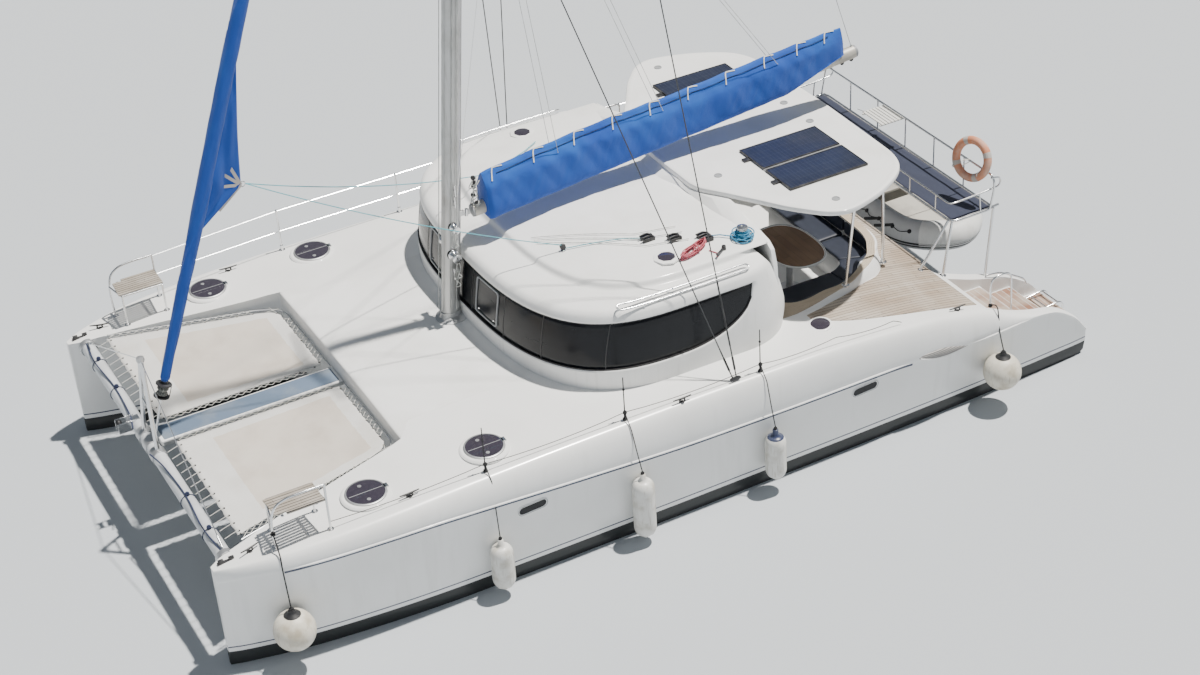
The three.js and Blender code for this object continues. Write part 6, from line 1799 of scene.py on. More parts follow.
# Coachroof fittings. Long steel handrails above the windows, a round tinted roof hatch in an
# eight-sided white base on either side, and the opening window pane in its grey frame.
rails, hatches, panes = [], [], []
for side in (1, -1):
    outer = [(x, side * y, z) for x, y, z in ((0.58, 2.325, 2.6), (0.4, 2.352, 2.598), (0.0, 2.372, 2.6),
        (-0.5, 2.38, 2.604), (-1.05, 2.38, 2.606))]
    inner = [(x, side * (abs(y) - 0.06), z + 0.04) for x, y, z in reversed(outer)]
    rails.append(pipe(outer + [(-1.1, side * 2.352, 2.622)] + inner + [(0.615, side * 2.29, 2.625)], 0.011,
        10, 5, loop=True))
    for x in (0.3, -0.38, -0.98):
        rails.append(bar((x, side * 2.366, 2.56), (x, side * 2.366, 2.604), 0.008, 10))
    at = vec(-0.3, side * 1.84, roof_top(-0.3, 1.84))
    base_ring = turned(((0.098, 0.0), (0.165, -0.004), (0.16, 0.012), (0.128, 0.02), (0.112, 0.02),
        (0.105, 0.014)), (0, 0, 0), steps=8)
    hatches.append((base_ring[0] + np.array(at), base_ring[1]))
    panes.append(turned(((0, 0.022), (0.09, 0.02), (0.11, 0.014), (0.112, 0.0)), at, steps=36))
piece("roof_handrails", [(rails, steel)], smooth=50)
piece("roof_hatches", [(hatches, deck_white), (panes, lens)], smooth=30)


def on_glass(turn_x, z, off):
    """A point on the outside of the coachroof wall at a share along its outline and a height."""
    outline = roof_outline(z)
    port = [vec(x, y, z) for x, y in outline]
    lengths = [0.0]
    for a, b in zip(port, port[1:]):
        lengths.append(lengths[-1] + (b - a).length)
    want = lengths[-1] - turn_x
    k = max(i for i in range(len(lengths)) if lengths[i] <= want + 1e-9)
    k = min(k, len(port) - 2)
    p = port[k].lerp(port[k + 1], (want - lengths[k]) / (lengths[k + 1] - lengths[k]))
    along = (port[k + 1] - port[k]).normalized()
    out = vec(-along.y, along.x, 0)
    if out.dot(p - vec(-0.5, 0, z)) < 0:
        out = -out
    return p + out * off


def middle_of(outline):
    """The mean of a flat outline's points."""
    return vec(sum(p[0] for p in outline) / len(outline), sum(p[1] for p in outline) / len(outline))


def drawn_in(outline, width):
    """The outline with each point moved towards its middle."""
    centre = middle_of(outline)
    return [tuple(Vector(p) + (centre - Vector(p)).normalized() * width) for p in outline]


def glass_frame(corners, width, thick):
    """A raised frame lying on the window from corners given as distance from the bow and height."""
    loop = rounded(corners, 0.05)
    inner = drawn_in(loop, width)
    rings = [[on_glass(s, h, off) for s, h in shape]
        for shape, off in ((loop, -0.022), (loop, thick), (inner, thick), (inner, -0.022))]
    return skin(rings + [rings[0]], ends=(False, False))


PANE = rectangle(0.42, 0.93, 1.93, 2.39)
frames = [glass_frame(PANE, 0.022, -0.004)]
JOINT_SECTION = ((-0.007, -0.021), (0.007, -0.021), (0.007, -0.0175), (-0.007, -0.0175))
joints = []
for s in (0.3, 1.05, 1.72, 2.55):
    rows = [[on_glass(s + d, h, off) for d, off in JOINT_SECTION] for h in np.linspace(1.86, 2.43, 8)]
    joints.append(skin(rows))
knobs = [turned(((0, 0), (0.011, 0), (0.01, 0.008), (0, 0.01)), on_glass(s, h, -0.016), (0.7, 0.7, 0.1), 14)
    for s, h in ((0.5, 1.99), (0.85, 1.99))]
black_seal = surface("black_seal", (0.012, 0.012, 0.013), 0.5,
    tones=((0.008, 0.008, 0.009), (0.03, 0.03, 0.032), ("Noise", 40.0, 4.0)))
piece("window_frames", [(frames + flipped(frames), grey_plastic), (joints + flipped(joints), black_seal),
    (knobs + flipped(knobs), steel)], smooth=40)
low_pts, high_pts = [], []
for c, x in enumerate(sill_x):
    if x < WINDOW_TIP_X:
        continue
    low_z = window_low(x)
    low_pts.append([(*roof_outline(zz, off)[c], zz)
        for zz, off in ((low_z - 0.004, 0.004), (low_z + 0.016, 0.004), (low_z + 0.016, 0.02),
        (low_z - 0.004, 0.02))])
    high_pts.append([(*roof_outline(zz, off)[c], zz)
        for zz, off in ((WINDOW_HIGH_Z - 0.016, 0.004), (WINDOW_HIGH_Z + 0.003, 0.004),
        (WINDOW_HIGH_Z + 0.003, 0.02), (WINDOW_HIGH_Z - 0.016, 0.02))])
seals = [skin(low_pts), skin(high_pts)]
piece("window_seals", [(seals + flipped(seals), black_seal)], smooth=60)

# Cockpit seat. A white moulded bench in a horseshoe round the table, with dark vinyl pads laid on
# its seat and against its back; their near-black stands in for the deep shade under the cockpit roof, painted
# shade.
SEAT_BACK = ((-1.86, 1.84), (-1.96, 1.945), (-2.1, 1.98), (-2.4, 1.95), (-2.7, 1.925), (-2.9, 1.86),
    (-3.06, 1.755), (-3.14, 1.66), (-3.25, 1.585), (-3.446, 1.505), (-3.569, 1.41), (-3.66, 1.29),
    (-3.715, 1.15), (-3.735, 1.0), (-3.735, 0.6), (-3.735, 0.2), (-3.735, -0.2), (-3.735, -0.6))
SEAT_EDGE = ((-1.86, 1.25), (-1.96, 1.25), (-2.1, 1.25), (-2.4, 1.25), (-2.7, 1.25), (-2.9, 1.25),
    (-2.98, 1.25), (-3.04, 1.235), (-3.09, 1.21), (-3.15, 1.17), (-3.19, 1.12), (-3.215, 1.07), (-3.23, 1.01),
    (-3.23, 0.9), (-3.23, 0.6), (-3.23, 0.2), (-3.23, -0.2), (-3.23, -0.6))
seat_back, seat_edge = np.array(curved(SEAT_BACK, 3)), np.array(curved(SEAT_EDGE, 3))


def bench_at(k, distance):
    """A place in plan, k points round the bench: in from its back, or with a minus sign out from its edge."""
    i = min(int(k), len(seat_back) - 2)
    a, b = (line[i] + (line[i + 1] - line[i]) * (k - i) for line in (seat_back, seat_edge))
    return (a if distance >= 0 else b) + (b - a) / np.linalg.norm(b - a) * distance


BENCH = ((0, 1.292), (0, 1.545), (0.008, 1.556), (0.03, 1.556), (0.036, 1.545), (0.05, 1.3), (0.062, 1.276),
    (-0.02, 1.276), (-0.004, 1.262), (-0.0001, 0.952), (-0.25, 0.952))
bench = skin([[(*bench_at(k, d), z) for d, z in BENCH] for k in range(len(seat_back))])
piece("cockpit_bench", [(bench, deck_white)], stands_for=["cockpit_seat"], smooth=50)
# The pads' near-black navy is painted shade: it stands in for the deep shade that fills the cockpit under its
# roof.
shade_navy_vinyl = surface("shade_navy_vinyl", (0.012, 0.016, 0.03), 0.5, Coat_Weight=0.1,
    tones=((0.008, 0.011, 0.022), (0.024, 0.03, 0.048), ("Noise", 5.0, 6.0)),
    relief=(("Voronoi", 300.0), 0.25, 0.0008))


def bench_pad(k0, k1, near, far, low, high):
    """A vinyl pad along the bench, square in section with soft edges, drawn in at both ends."""
    rings = []
    for t in np.concatenate([[0, 0.006, 0.02], np.linspace(0.05, 0.95, 25), [0.98, 0.994, 1]]):
        a, b = (bench_at(k0 + (k1 - k0) * t, d) for d in (near, far))
        full = sqrt(1 - (1 - min(min(t, 1 - t) / 0.04, 1)) ** 2)
        swell = 1 + 0.05 * sin(pi * t) ** 0.5
        ring = []
        for s in around(24):
            reach = copysign(abs(cos(s)) ** 0.35, cos(s))
            rise = copysign(abs(sin(s)) ** 0.45, sin(s))
            x, y = (a + b) / 2 + (b - a) / 2 * reach * (0.9 + 0.1 * full)
            ring.append((x, y, (low + high) / 2 + (high - low) / 2 * rise * (0.55 + 0.45 * full) * swell))
        rings.append(ring)
    return skin(rings)


for k, (first, last) in enumerate(((1, 17), (17.3, 33), (33.3, 42), (42.3, 51))):
    for kind, section in (("seat", (0.1, -0.012, 1.278, 1.333)), ("back", (0.04, 0.115, 1.345, 1.53))):
        pad = piece(f"bench_{kind}_pad_{k + 1}", [(bench_pad(first, last, *section), shade_navy_vinyl)],
            smooth=60)

# Coaming. A white moulding round the cockpit, capped with five curved teak planks that are bent
# along it and bedded on black sealant.
CAP_Z = (1.549, 1.563)
# Inner and outer edge of the cap and the coaming's foot on the deck, from the front round to aft
CAP_INNER = ((-1.74, 1.805), (-1.85, 1.82), (-1.97, 1.905), (-2.09, 1.935), (-2.24, 1.93), (-2.45, 1.89),
    (-2.66, 1.885), (-2.85, 1.83), (-3.03, 1.73), (-3.17, 1.63), (-3.36, 1.49), (-3.46, 1.35), (-3.56, 1.18),
    (-3.615, 0.95), (-3.63, 0.5), (-3.63, 0.0), (-3.63, -0.6))
CAP_OUTER = ((-1.66, 2.16), (-1.87, 2.15), (-2.02, 2.13), (-2.17, 2.1), (-2.3, 2.07), (-2.44, 2.03),
    (-2.72, 1.96), (-2.9, 1.9), (-3.11, 1.78), (-3.33, 1.65), (-3.49, 1.51), (-3.57, 1.39), (-3.665, 1.235),
    (-3.735, 0.96), (-3.75, 0.5), (-3.75, 0.0), (-3.75, -0.6))
COAMING_FOOT = ((-1.66, 2.21), (-1.87, 2.215), (-2.0, 2.21), (-2.17, 2.165), (-2.32, 2.12), (-2.46, 2.075),
    (-2.74, 1.985), (-2.92, 1.92), (-3.13, 1.83), (-3.35, 1.74), (-3.52, 1.58), (-3.62, 1.43), (-3.72, 1.2),
    (-3.785, 0.93), (-3.8, 0.5), (-3.8, 0.0), (-3.8, -0.6))
coaming_rings, plank_rows, underlay = [], [[] for _ in range(5)], []
for a, b, foot in zip(*(curved(line, 3) for line in (CAP_INNER, CAP_OUTER, COAMING_FOOT))):
    across = (b - a) / np.linalg.norm(b - a)
    foot_z = (deck_height(*foot) if foot[1] > 1.6 else cross_height(foot[0])) - 0.01
    coaming_rings.append([(*(a + across * 0.045), 1.292), (*(a + across * 0.03), 1.5), (*a, 1.535),
        (*a, 1.548), (*(b - across * 0.01), 1.549), (*b, 1.54),
        (*((b + foot) / 2 + across * 0.006), (foot_z + 1.54) / 2), (*foot, foot_z)])
    width = (b - a) - across * 0.012
    for k, rows in enumerate(plank_rows):
        p, q = a + width * k / 5, a + width * (k + 1) / 5 - across * 0.003
        rows.append([(*p, CAP_Z[0]), (*q, CAP_Z[0]), (*q, CAP_Z[1]), (*p, CAP_Z[1])])
    p, q = a + across * 0.003, a + width - across * 0.006
    underlay.append([(*p, 1.5485), (*q, 1.5485), (*q, 1.557), (*p, 1.557)])
cap_teak = timber("cap_teak", "X", "Y", 0.9, 0.0, (0.44, 0.34, 0.24), (0.56, 0.48, 0.37), (0.05, 0.05, 0.05))
coaming_shapes = [(skin(coaming_rings), deck_white), (flipped(skin(coaming_rings[:37])), deck_white),
    (skin(underlay), black_seal), (flipped(skin(underlay[:37])), black_seal)]
for rows in plank_rows:
    coaming_shapes += [(skin(rows), cap_teak), (flipped(skin(rows[:37])), cap_teak)]
piece("cockpit_coaming", coaming_shapes, smooth=40)

# Cockpit table. A white moulded top with a raised rim and dark planks let into it, on an alloy
# pillar with a round foot.
TABLE_AT = (-2.66, 0.8)
TABLE_HALF = (0.37, 0.56)
SOLE_Z = 0.951


def egg(scale, z, steps=56):
    ring = []
    for a in around(steps):
        c, s = cos(a), sin(a)
        ring.append((TABLE_AT[0] + scale * TABLE_HALF[0] * copysign(abs(c) ** 0.8, c),
            TABLE_AT[1] + scale * TABLE_HALF[1] * copysign(abs(s) ** 0.8, s), z))
    return ring


table_top = skin([egg(s, z) for s, z in ((0.9, 1.56), (0.985, 1.562), (0.998, 1.568), (1.0, 1.578),
    (0.995, 1.588), (0.975, 1.59), (0.95, 1.586), (0.94, 1.58), (0.5, 1.58))])
brown_top = skin([egg(s, z) for s, z in ((0.935, 1.5795), (0.935, 1.5815), (0.93, 1.5825), (0.5, 1.5825))])
rim_band = skin([egg(s, z) for s, z in ((0.972, 1.5902), (0.952, 1.5868))], ends=(False, False))
pillar = turned(((0, 0), (0.155, 0), (0.158, 0.008), (0.12, 0.022), (0.052, 0.035), (0.045, 0.06),
    (0.045, 0.3), (0.038, 0.31), (0.038, 0.585), (0.11, 0.6), (0.11, 0.609), (0, 0.609)), (*TABLE_AT, SOLE_Z),
    steps=36)
table_teak = timber("table_teak", "Y", "X", 0.09, 0.03, (0.17, 0.1, 0.06), (0.26, 0.17, 0.11),
    (0.05, 0.04, 0.03))
piece("cockpit_table_moulded", [(table_top, deck_white), (brown_top, table_teak), (rim_band, grey_plastic),
    (pillar, alloy)], stands_for=["cockpit_table"], smooth=50)

# Helm. A white moulded console with a compass, two dials and an engine lever, a steel wheel with
# a leather rim on its aft side, and a box seat with a back and a white cushion.
HELM_X, HELM_Y = -1.71, -1.175
console = []
for z, front, aft, half in ((0.952, -1.612, -1.828, 0.272), (1.6, -1.612, -1.828, 0.274),
        (1.86, -1.615, -1.826, 0.268), (1.925, -1.63, -1.8, 0.255), (1.948, -1.655, -1.765, 0.235)):
    console.append([(x, y + HELM_Y, z) for x, y in rounded(rectangle(aft, front, -half, half), 0.04)])
binnacle = turned(((0, 0), (0.075, 0), (0.075, 0.012), (0.066, 0.02), (0.06, 0.05), (0.035, 0.072),
    (0, 0.078)), (HELM_X, HELM_Y, 1.866), steps=32)
dials = [turned(((0, 0), (0.042, 0), (0.044, 0.006), (0.038, 0.009), (0.036, 0.006), (0, 0.006)),
    (-1.826, HELM_Y + dy, 1.84 if abs(dy) < 0.15 else 1.8), (-1, 0, 0.0), 28) for dy in (-0.12, 0.12)]
lever = [bar((-1.72, -0.925, 1.62), (-1.72, -0.905, 1.62), 0.03, 20),
    bar((-1.72, -0.905, 1.62), (-1.7, -0.9, 1.74), 0.007, 10),
    turned(((0, 0), (0.016, 0.004), (0.018, 0.02), (0.01, 0.034), (0, 0.036)), (-1.7, -0.9, 1.735), steps=18)]
piece("helm_console", [(skin(console), deck_white), (binnacle, black_plastic), (dials, black_plastic),
    (lever, steel)], stands_for=["helm_pedestal"], smooth=45, soften=0.002)
WHEEL = vec(-1.9, -1.18, 1.78)
WHEEL_R = 0.33
leather = surface("rim_leather", (0.1, 0.1, 0.105), 0.6, relief=(("Voronoi", 420.0), 0.3, 0.0008),
    tones=((0.06, 0.06, 0.065), (0.13, 0.13, 0.135), ("Voronoi", 420.0)))
rim_points = [WHEEL + vec(0, WHEEL_R * cos(a), WHEEL_R * sin(a)) for a in around(48)]
spokes = []
for k in range(6):
    a = pi / 3 * k
    out = vec(0, cos(a), sin(a))
    spokes.append(bar(WHEEL + out * 0.03 + vec(0.006, 0, 0), WHEEL + out * (WHEEL_R - 0.008), 0.0065, 10))
hub = turned(((0, 0), (0.03, 0), (0.038, 0.008), (0.038, 0.03), (0.026, 0.04), (0.026, 0.064), (0, 0.064)),
    WHEEL, (1, 0, 0), 28)
hub_cap = turned(((0, 0), (0.034, 0), (0.03, 0.012), (0.012, 0.02), (0, 0.021)), WHEEL, (-1, 0, 0), 28)
piece("helm_wheel_rim", [(pipe(rim_points, 0.0155, 12, 2, loop=True), leather), (spokes, steel),
    ([hub, hub_cap], steel)], body="helm_wheel", stands_for=["steering_wheel"], smooth=45)
vinyl = surface("seat_vinyl_white", (0.6, 0.59, 0.56), 0.5, Sheen_Weight=0.1,
    worn=((0.62, 0.61, 0.58), (0.45, 0.43, 0.39), 0.5, 4.0), relief=(("Voronoi", 260.0), 0.25, 0.001))


def pillow(x0, x1, y0, y1, z0, z1, crown, steps=14):
    """A crowned pad: flat below, sides pulled in between its corners, swelling to the middle."""
    top, under = [], []
    for i in range(steps + 1):
        u = -1 + 2 * i / steps
        row_t, row_u = [], []
        for j in range(steps + 1):
            v = -1 + 2 * j / steps
            pull = 0.012
            x = (x0 + x1) / 2 + u * ((x1 - x0) / 2 - pull * (1 - v * v) * abs(u))
            y = (y0 + y1) / 2 + v * ((y1 - y0) / 2 - pull * (1 - u * u) * abs(v))
            swell = ((1 - u ** 6) * (1 - v ** 6)) ** 0.5
            over_half = (z1 - z0) * 0.5 + crown * (1 - u * u) * (1 - v * v)
            row_t.append((x, y, z0 + (z1 - z0) * 0.5 + over_half * swell))
            row_u.append((x, y, z0 + (z1 - z0) * 0.5 * (1 - swell)))
        top.append(row_t)
        under.append(row_u)
    return together([skin(top, closed=False), skin([row[::-1] for row in under], closed=False)])


helm_box = slab(rounded(rectangle(-2.745, -2.425, -1.475, -0.885), 0.04),
    ((0.0, 0.952), (0.0, 1.335), (0.01, 1.345)))
helm_back = slab(rounded(rectangle(-2.798, -2.757, -1.478, -0.882), 0.018),
    ((0.0, 1.0), (0.0, 1.685), (0.006, 1.697)))
piece("helm_bench", [(helm_box, deck_white), (helm_back, deck_white)], stands_for=["helm_seat"],
    smooth=45, soften=0.002)
pad = piece("helm_cushion", [(pillow(-2.748, -2.428, -1.47, -0.89, 1.347, 1.392, 0.008), vinyl)],
    smooth=70, merge=0.0006)

# Bridge deck and aft cross deck. White glass-fibre panels moulded with the hulls; they keep their
# solids' shapes and take the deck mouldings' finish.
for name in ("bridgedeck", "aft_crossdeck"):
    bpy.data.objects[name].material_slots[0].material = deck_white

# Saloon. What shows through the windows: a settee of wood with a cloth back and loose cushions,
# and the table, which keeps its solid's shape.
saloon_wood = timber("saloon_wood", "X", "Y", 0.16, 0.01, (0.3, 0.16, 0.08), (0.42, 0.25, 0.13),
    (0.1, 0.05, 0.03))
weave = ("Wave", 130.0, 1.0)
settee_cloth = surface("settee_cloth", (0.42, 0.36, 0.29), 0.9, Sheen_Weight=0.3, relief=(weave, 0.3, 0.001),
    tones=((0.34, 0.29, 0.23), (0.48, 0.42, 0.35), weave))
bpy.data.objects["saloon_table"].material_slots[0].material = saloon_wood
SETTEE_OUTER = ((-0.598, 1.555), (0.695, 1.555), (1.045, 1.145), (1.045, -0.345), (0.435, -0.345),
    (0.435, 0.785), (-0.598, 0.785))
settee_base = slab(list(SETTEE_OUTER), ((0.01, 0.852), (0.01, 1.2), (0.0, 1.21), (0.0, 1.225)))
settee_back = slab([(-0.598, 1.555), (0.695, 1.555), (1.045, 1.145), (1.045, -0.345), (0.93, -0.345),
    (0.93, 1.09), (0.65, 1.43), (-0.598, 1.43)], ((0.0, 1.222), (0.0, 1.53), (0.02, 1.552)))
piece("settee_moulding", [(settee_base, saloon_wood), (settee_back, settee_cloth)],
    stands_for=["saloon_settee"], smooth=40, soften=0.012)
for k, (x0, x1, y0, y1) in enumerate(((-0.59, 0.03, 0.79, 1.42), (0.04, 0.43, 0.79, 1.42),
        (0.44, 0.92, 0.42, 1.07), (0.44, 0.92, -0.34, 0.41))):
    seat = piece(f"settee_cushion_{k + 1}", [(pillow(x0, x1, y0, y1, 1.227, 1.285, 0.012, 10), settee_cloth)],
        smooth=70, merge=0.0006)


# Sliding door. An alloy frame round one tinted pane, with a black handle, hung between two alloy
# rails; the bulkhead's own panes are bonded behind its openings.
def cross_plate(outline, x0, x1):
    """A plate across the boat from an outline in y and z."""
    return skin([[(x0, y, z) for y, z in outline], [(x1, y, z) for y, z in outline]])


def frame_of(outline, width, x0, x1):
    """A flat frame across the boat: the outline's edge as a band of the given width."""
    inner = drawn_in(outline, width)
    rings = [[(x, y, z) for y, z in loop]
        for x, loop in ((x0, outline), (x1, outline), (x1, inner), (x0, inner))]
    return skin(rings + [rings[0]], ends=(False, False))


door_frame = frame_of(rectangle(-0.468, 0.468, 1.032, 2.438), 0.062, -1.589, -1.561)
door_pane = block(-1.578, -1.572, -0.44, 0.44, 1.06, 2.41)
handle = pipe([(-1.588, -0.41, 1.62), (-1.6, -0.41, 1.64), (-1.6, -0.41, 1.86), (-1.588, -0.41, 1.88)], 0.007,
    8, 4)
piece("sliding_door_leaf", [(door_frame, alloy), (door_pane, tinted), (handle, black_plastic)],
    body="sliding_door", stands_for=["saloon_door"], smooth=40)
wall_panes = []
for outline in (bulkhead_window, mirror_window):
    centre = middle_of(outline)
    wall_panes.append(cross_plate([tuple(centre + (Vector(p) - centre) * 1.03) for p in outline], -1.5295,
        -1.5215))
hanging_rail = block(-1.605, -1.552, -0.48, 1.33, 2.445, 2.47)
sill_rail = block(-1.596, -1.556, -0.48, 1.33, 1.005, 1.022)
piece("bulkhead_panes", [(wall_panes, tinted)])
piece("door_rails", [([hanging_rail, sill_rail], alloy)], soften=0.002)

# Stern frame. Bent steel tube that carries the tender between the hulls, with a rail, hanging
# wires, struts to the deck, a slatted white shelf and a whip aerial.
F_FRONT, F_AFT, F_Y, F_Z, F_RAIL_Z, F_R = -4.35, -5.0, 1.9, 1.9, 2.34, 0.019
corners = [(F_FRONT, F_Y - 0.12), (F_FRONT, -F_Y + 0.12), (F_FRONT - 0.03, -F_Y + 0.03),
    (F_FRONT - 0.12, -F_Y), (F_AFT + 0.12, -F_Y), (F_AFT + 0.03, -F_Y + 0.03), (F_AFT, -F_Y + 0.12),
    (F_AFT, F_Y - 0.12), (F_AFT + 0.03, F_Y - 0.03), (F_AFT + 0.12, F_Y), (F_FRONT - 0.12, F_Y),
    (F_FRONT - 0.03, F_Y - 0.03)]
frame_tubes = [pipe([(x, y, F_Z) for x, y in corners], F_R, 14, 3, loop=True)]
rail_path = [(F_AFT + 0.06, -F_Y, F_Z), (F_AFT + 0.01, -F_Y, F_Z + 0.25),
    (F_AFT, -F_Y + 0.02, F_RAIL_Z - 0.06), (F_AFT, -F_Y + 0.1, F_RAIL_Z), (F_AFT, -0.6, F_RAIL_Z),
    (F_AFT, 0.6, F_RAIL_Z), (F_AFT, F_Y - 0.1, F_RAIL_Z), (F_AFT, F_Y - 0.02, F_RAIL_Z - 0.06),
    (F_AFT + 0.01, F_Y, F_Z + 0.25), (F_AFT + 0.06, F_Y, F_Z)]
frame_tubes.append(pipe(rail_path, 0.0135, 12, 8))
for y in (-1.27, -0.63, 0.0, 0.63, 1.27):
    frame_tubes.append(bar((F_AFT, y, F_Z + 0.01), (F_AFT, y, F_RAIL_Z), 0.0115, 12))
INNER_X = -4.36
inner_end = [(-4.95, 1.89, 2.34), (-5.08, 1.88, 2.3), (-5.11, 1.87, 2.22), (-5.06, 1.865, 2.17),
    (-4.8, 1.86, 2.15), (-4.45, 1.86, 2.14), (-4.37, 1.83, 2.135), (INNER_X, 1.75, 2.13)]
frame_tubes.append(pipe(inner_end + [(x, -y, z) for x, y, z in reversed(inner_end)], 0.0115, 12, 5))
frame_tubes += [bar((INNER_X, y, F_Z), (INNER_X, y, 2.13), 0.01)
    for y in (1.55, 1.0, 0.45, -0.1, -0.65, -1.2, -1.75)]
frame_tubes.append(bar((-4.9, 1.885, F_Z), (-5.1, 1.865, F_Z), 0.0185, 14))
for side in (1, -1):
    frame_tubes.append(bar((-4.8, side * 1.895, F_Z), (-4.8, side * 1.86, 2.15), 0.01))
    for foot, head in (((F_AFT + 0.19, side * 2.01, 0.76), (F_AFT + 0.005, side * F_Y, F_Z)),
            ((-4.18, side * 1.985, deck_height(-4.18, 1.985)), (F_FRONT - 0.005, side * F_Y, F_Z)),
            ((-3.96, side * 1.8, deck_height(-3.96, 1.8)), (F_FRONT + 0.004, side * (F_Y - 0.06), F_Z))):
        frame_tubes.append(bar(foot, head, F_R * 0.92, 14))
        frame_tubes.append(turned(((0, -0.004), (0.045, -0.004), (0.045, 0.006), (0.024, 0.012), (0, 0.012)),
            foot))
slings = []
TENDER_X, TENDER_HALF, TENDER_R, TENDER_Z = -5.03, 0.54, 0.195, 1.08
for y in (0.3, -1.05):
    for x, rail_x in ((TENDER_X + TENDER_HALF, F_FRONT), (TENDER_X - TENDER_HALF, F_AFT)):
        slings.append(bar((x, y, TENDER_Z + TENDER_R - 0.005), (rail_x, y, F_Z), 0.006, 8))
        slings.append(turned(((0, -0.02), (0.026, -0.02), (0.018, 0), (0.026, 0.02), (0, 0.02)),
            (rail_x, y, F_Z - 0.05), (0, 1, 0), 18))
shelf = [block(-5.02 + 0.052 * k, -4.985 + 0.052 * k, -0.52, -0.06, 2.3, 2.314) for k in range(7)]
shelf += [block(-5.03, -4.65, y, y + 0.03, 2.286, 2.301) for y in (-0.5, -0.11)]
aerial = bar((-4.7, -0.5, 2.31), (-4.62, -0.56, 2.35), 0.004, 6)
ladder = []
for y in (2.2, 2.52):
    ladder.append(pipe([(-5.69, y, 0.42), (-5.7, y, 0.54), (-5.62, y, 0.6), (-5.4, y, 0.575),
        (-5.24, y, 0.56)], 0.0115, 10, 5))
ladder += [bar((x, 2.2, z), (x, 2.52, z), 0.01, 10)
    for x, z in ((-5.62, 0.598), (-5.44, 0.58), (-5.27, 0.563))]
handle_hoop = pipe([(-4.32, 2.79, 1.06), (-4.3, 2.79, 1.42), (-4.34, 2.79, 1.53), (-4.46, 2.79, 1.56),
    (-4.58, 2.79, 1.53), (-4.62, 2.79, 1.42), (-4.64, 2.79, 0.94)], 0.0125, 12, 6)
side_rail = pipe([(-4.8, 2.06, 0.97), (-4.82, 2.05, 1.03), (-5.05, 2.06, 1.0), (-5.38, 2.09, 0.82),
    (-5.45, 2.09, 0.72)], 0.0105, 10, 6)
piece("stern_gantry", [(frame_tubes, steel), (slings, grey_line), (shelf, white_webbing),
    (aerial, black_plastic)], stands_for=["stern_frame"], smooth=45)
piece("boarding_rails", [(ladder + [handle_hoop, side_rail], steel)], smooth=45)

# Stern platform. Navy cloth stretched level between the tubes of the stern frame, doubled at its
# hem.
navy_cloth = surface("navy_cloth", (0.012, 0.018, 0.045), 0.85, Sheen_Weight=0.2,
    tones=((0.01, 0.014, 0.035), (0.022, 0.03, 0.062), ("Noise", 2.5, 5.0)),
    relief=(("Wave", 190.0, 0.8), 0.25, 0.001))
CLOTH_X, CLOTH_HALF_Y, CLOTH_Z = (-4.97, -4.38), 1.87, 1.904
cloth_rows = []
for x in np.linspace(*CLOTH_X, 17):
    u = (x + 4.675) / 0.295
    row = []
    for y in np.linspace(-CLOTH_HALF_Y, CLOTH_HALF_Y, 61):
        sag = 0.01 * (1 - u * u) * (1 - (y / CLOTH_HALF_Y) ** 4)
        row.append((x, y, CLOTH_Z - sag + 0.0015 * sin(11 * y + 7 * u)))
    cloth_rows.append(row)
platform = piece("stern_platform_cloth", [(skin(cloth_rows, closed=False), navy_cloth)],
    stands_for=["stern_platform"], smooth=60)
thickened(platform, "hem", 0.004, 1)

# Tender. A grey inflatable hung across the sterns, bow to port: a bent tube with two black
# stripes low on its side, a white bow patch, grab line, floor, bench and transom.
TENDER_PATH = ((TENDER_X + TENDER_HALF, -1.35, TENDER_Z), (TENDER_X + TENDER_HALF, 0.0, TENDER_Z),
    (TENDER_X + TENDER_HALF * 0.85, 0.73, TENDER_Z + 0.015), (TENDER_X, 1.14, TENDER_Z + 0.06),
    (TENDER_X - TENDER_HALF * 0.85, 0.73, TENDER_Z + 0.015), (TENDER_X - TENDER_HALF, 0.0, TENDER_Z),
    (TENDER_X - TENDER_HALF, -1.35, TENDER_Z))
tube_path = [Vector(p) for p in curved(TENDER_PATH, 18)]
TUBE_CENTRE = vec(TENDER_X, -0.2, TENDER_Z)


def on_tube(i, angle, radius):
    """A point round the tender's tube: angle 0 is outboard, 90 is up."""
    here = tube_path[i]
    along = (tube_path[min(i + 1, len(tube_path) - 1)] - tube_path[max(i - 1, 0)]).normalized()
    out = along.cross(vec(0, 0, 1)).normalized()
    if out.dot(here - TUBE_CENTRE) < 0:
        out = -out
    a = radians(angle)
    rise = vec(0, 0, 1) - along * along.z
    return here + (out * cos(a) + rise.normalized() * sin(a)) * radius


def tube_band(first, last, low, high, radius, steps=8):
    rows = [[on_tube(i, low + (high - low) * k / steps, radius) for k in range(steps + 1)]
        for i in range(first, last)]
    return skin(rows, closed=False)


count_t = len(tube_path)
hypalon = surface("grey_hypalon", (0.46, 0.47, 0.48), 0.55, relief=(("Noise", 220.0, 3.0), 0.2, 0.001),
    worn=((0.5, 0.51, 0.52), (0.36, 0.36, 0.36), 0.6, 3.0))
white_patch = surface("white_hypalon", (0.74, 0.74, 0.72), 0.5,
    worn=((0.76, 0.76, 0.74), (0.52, 0.51, 0.48), 0.5, 5.0))
tube_rings = []
for i in range(count_t):
    end = min(i, count_t - 1 - i) / 9
    swell = 1 if end >= 1 else 0.42 + 0.58 * sqrt(max(1 - (1 - end) ** 2, 0))
    ribs_t = 1 - 0.004 * (i % 12 == 0)
    tube_rings.append([on_tube(i, a, TENDER_R * swell * ribs_t) for a in np.linspace(0, 360, 33)[:-1]])
bow_i = count_t // 2
tube_bands = [tube_band(10, count_t - 10, low, low + 9, TENDER_R + 0.0025) for low in (-15, -29)]
bars_diag = []
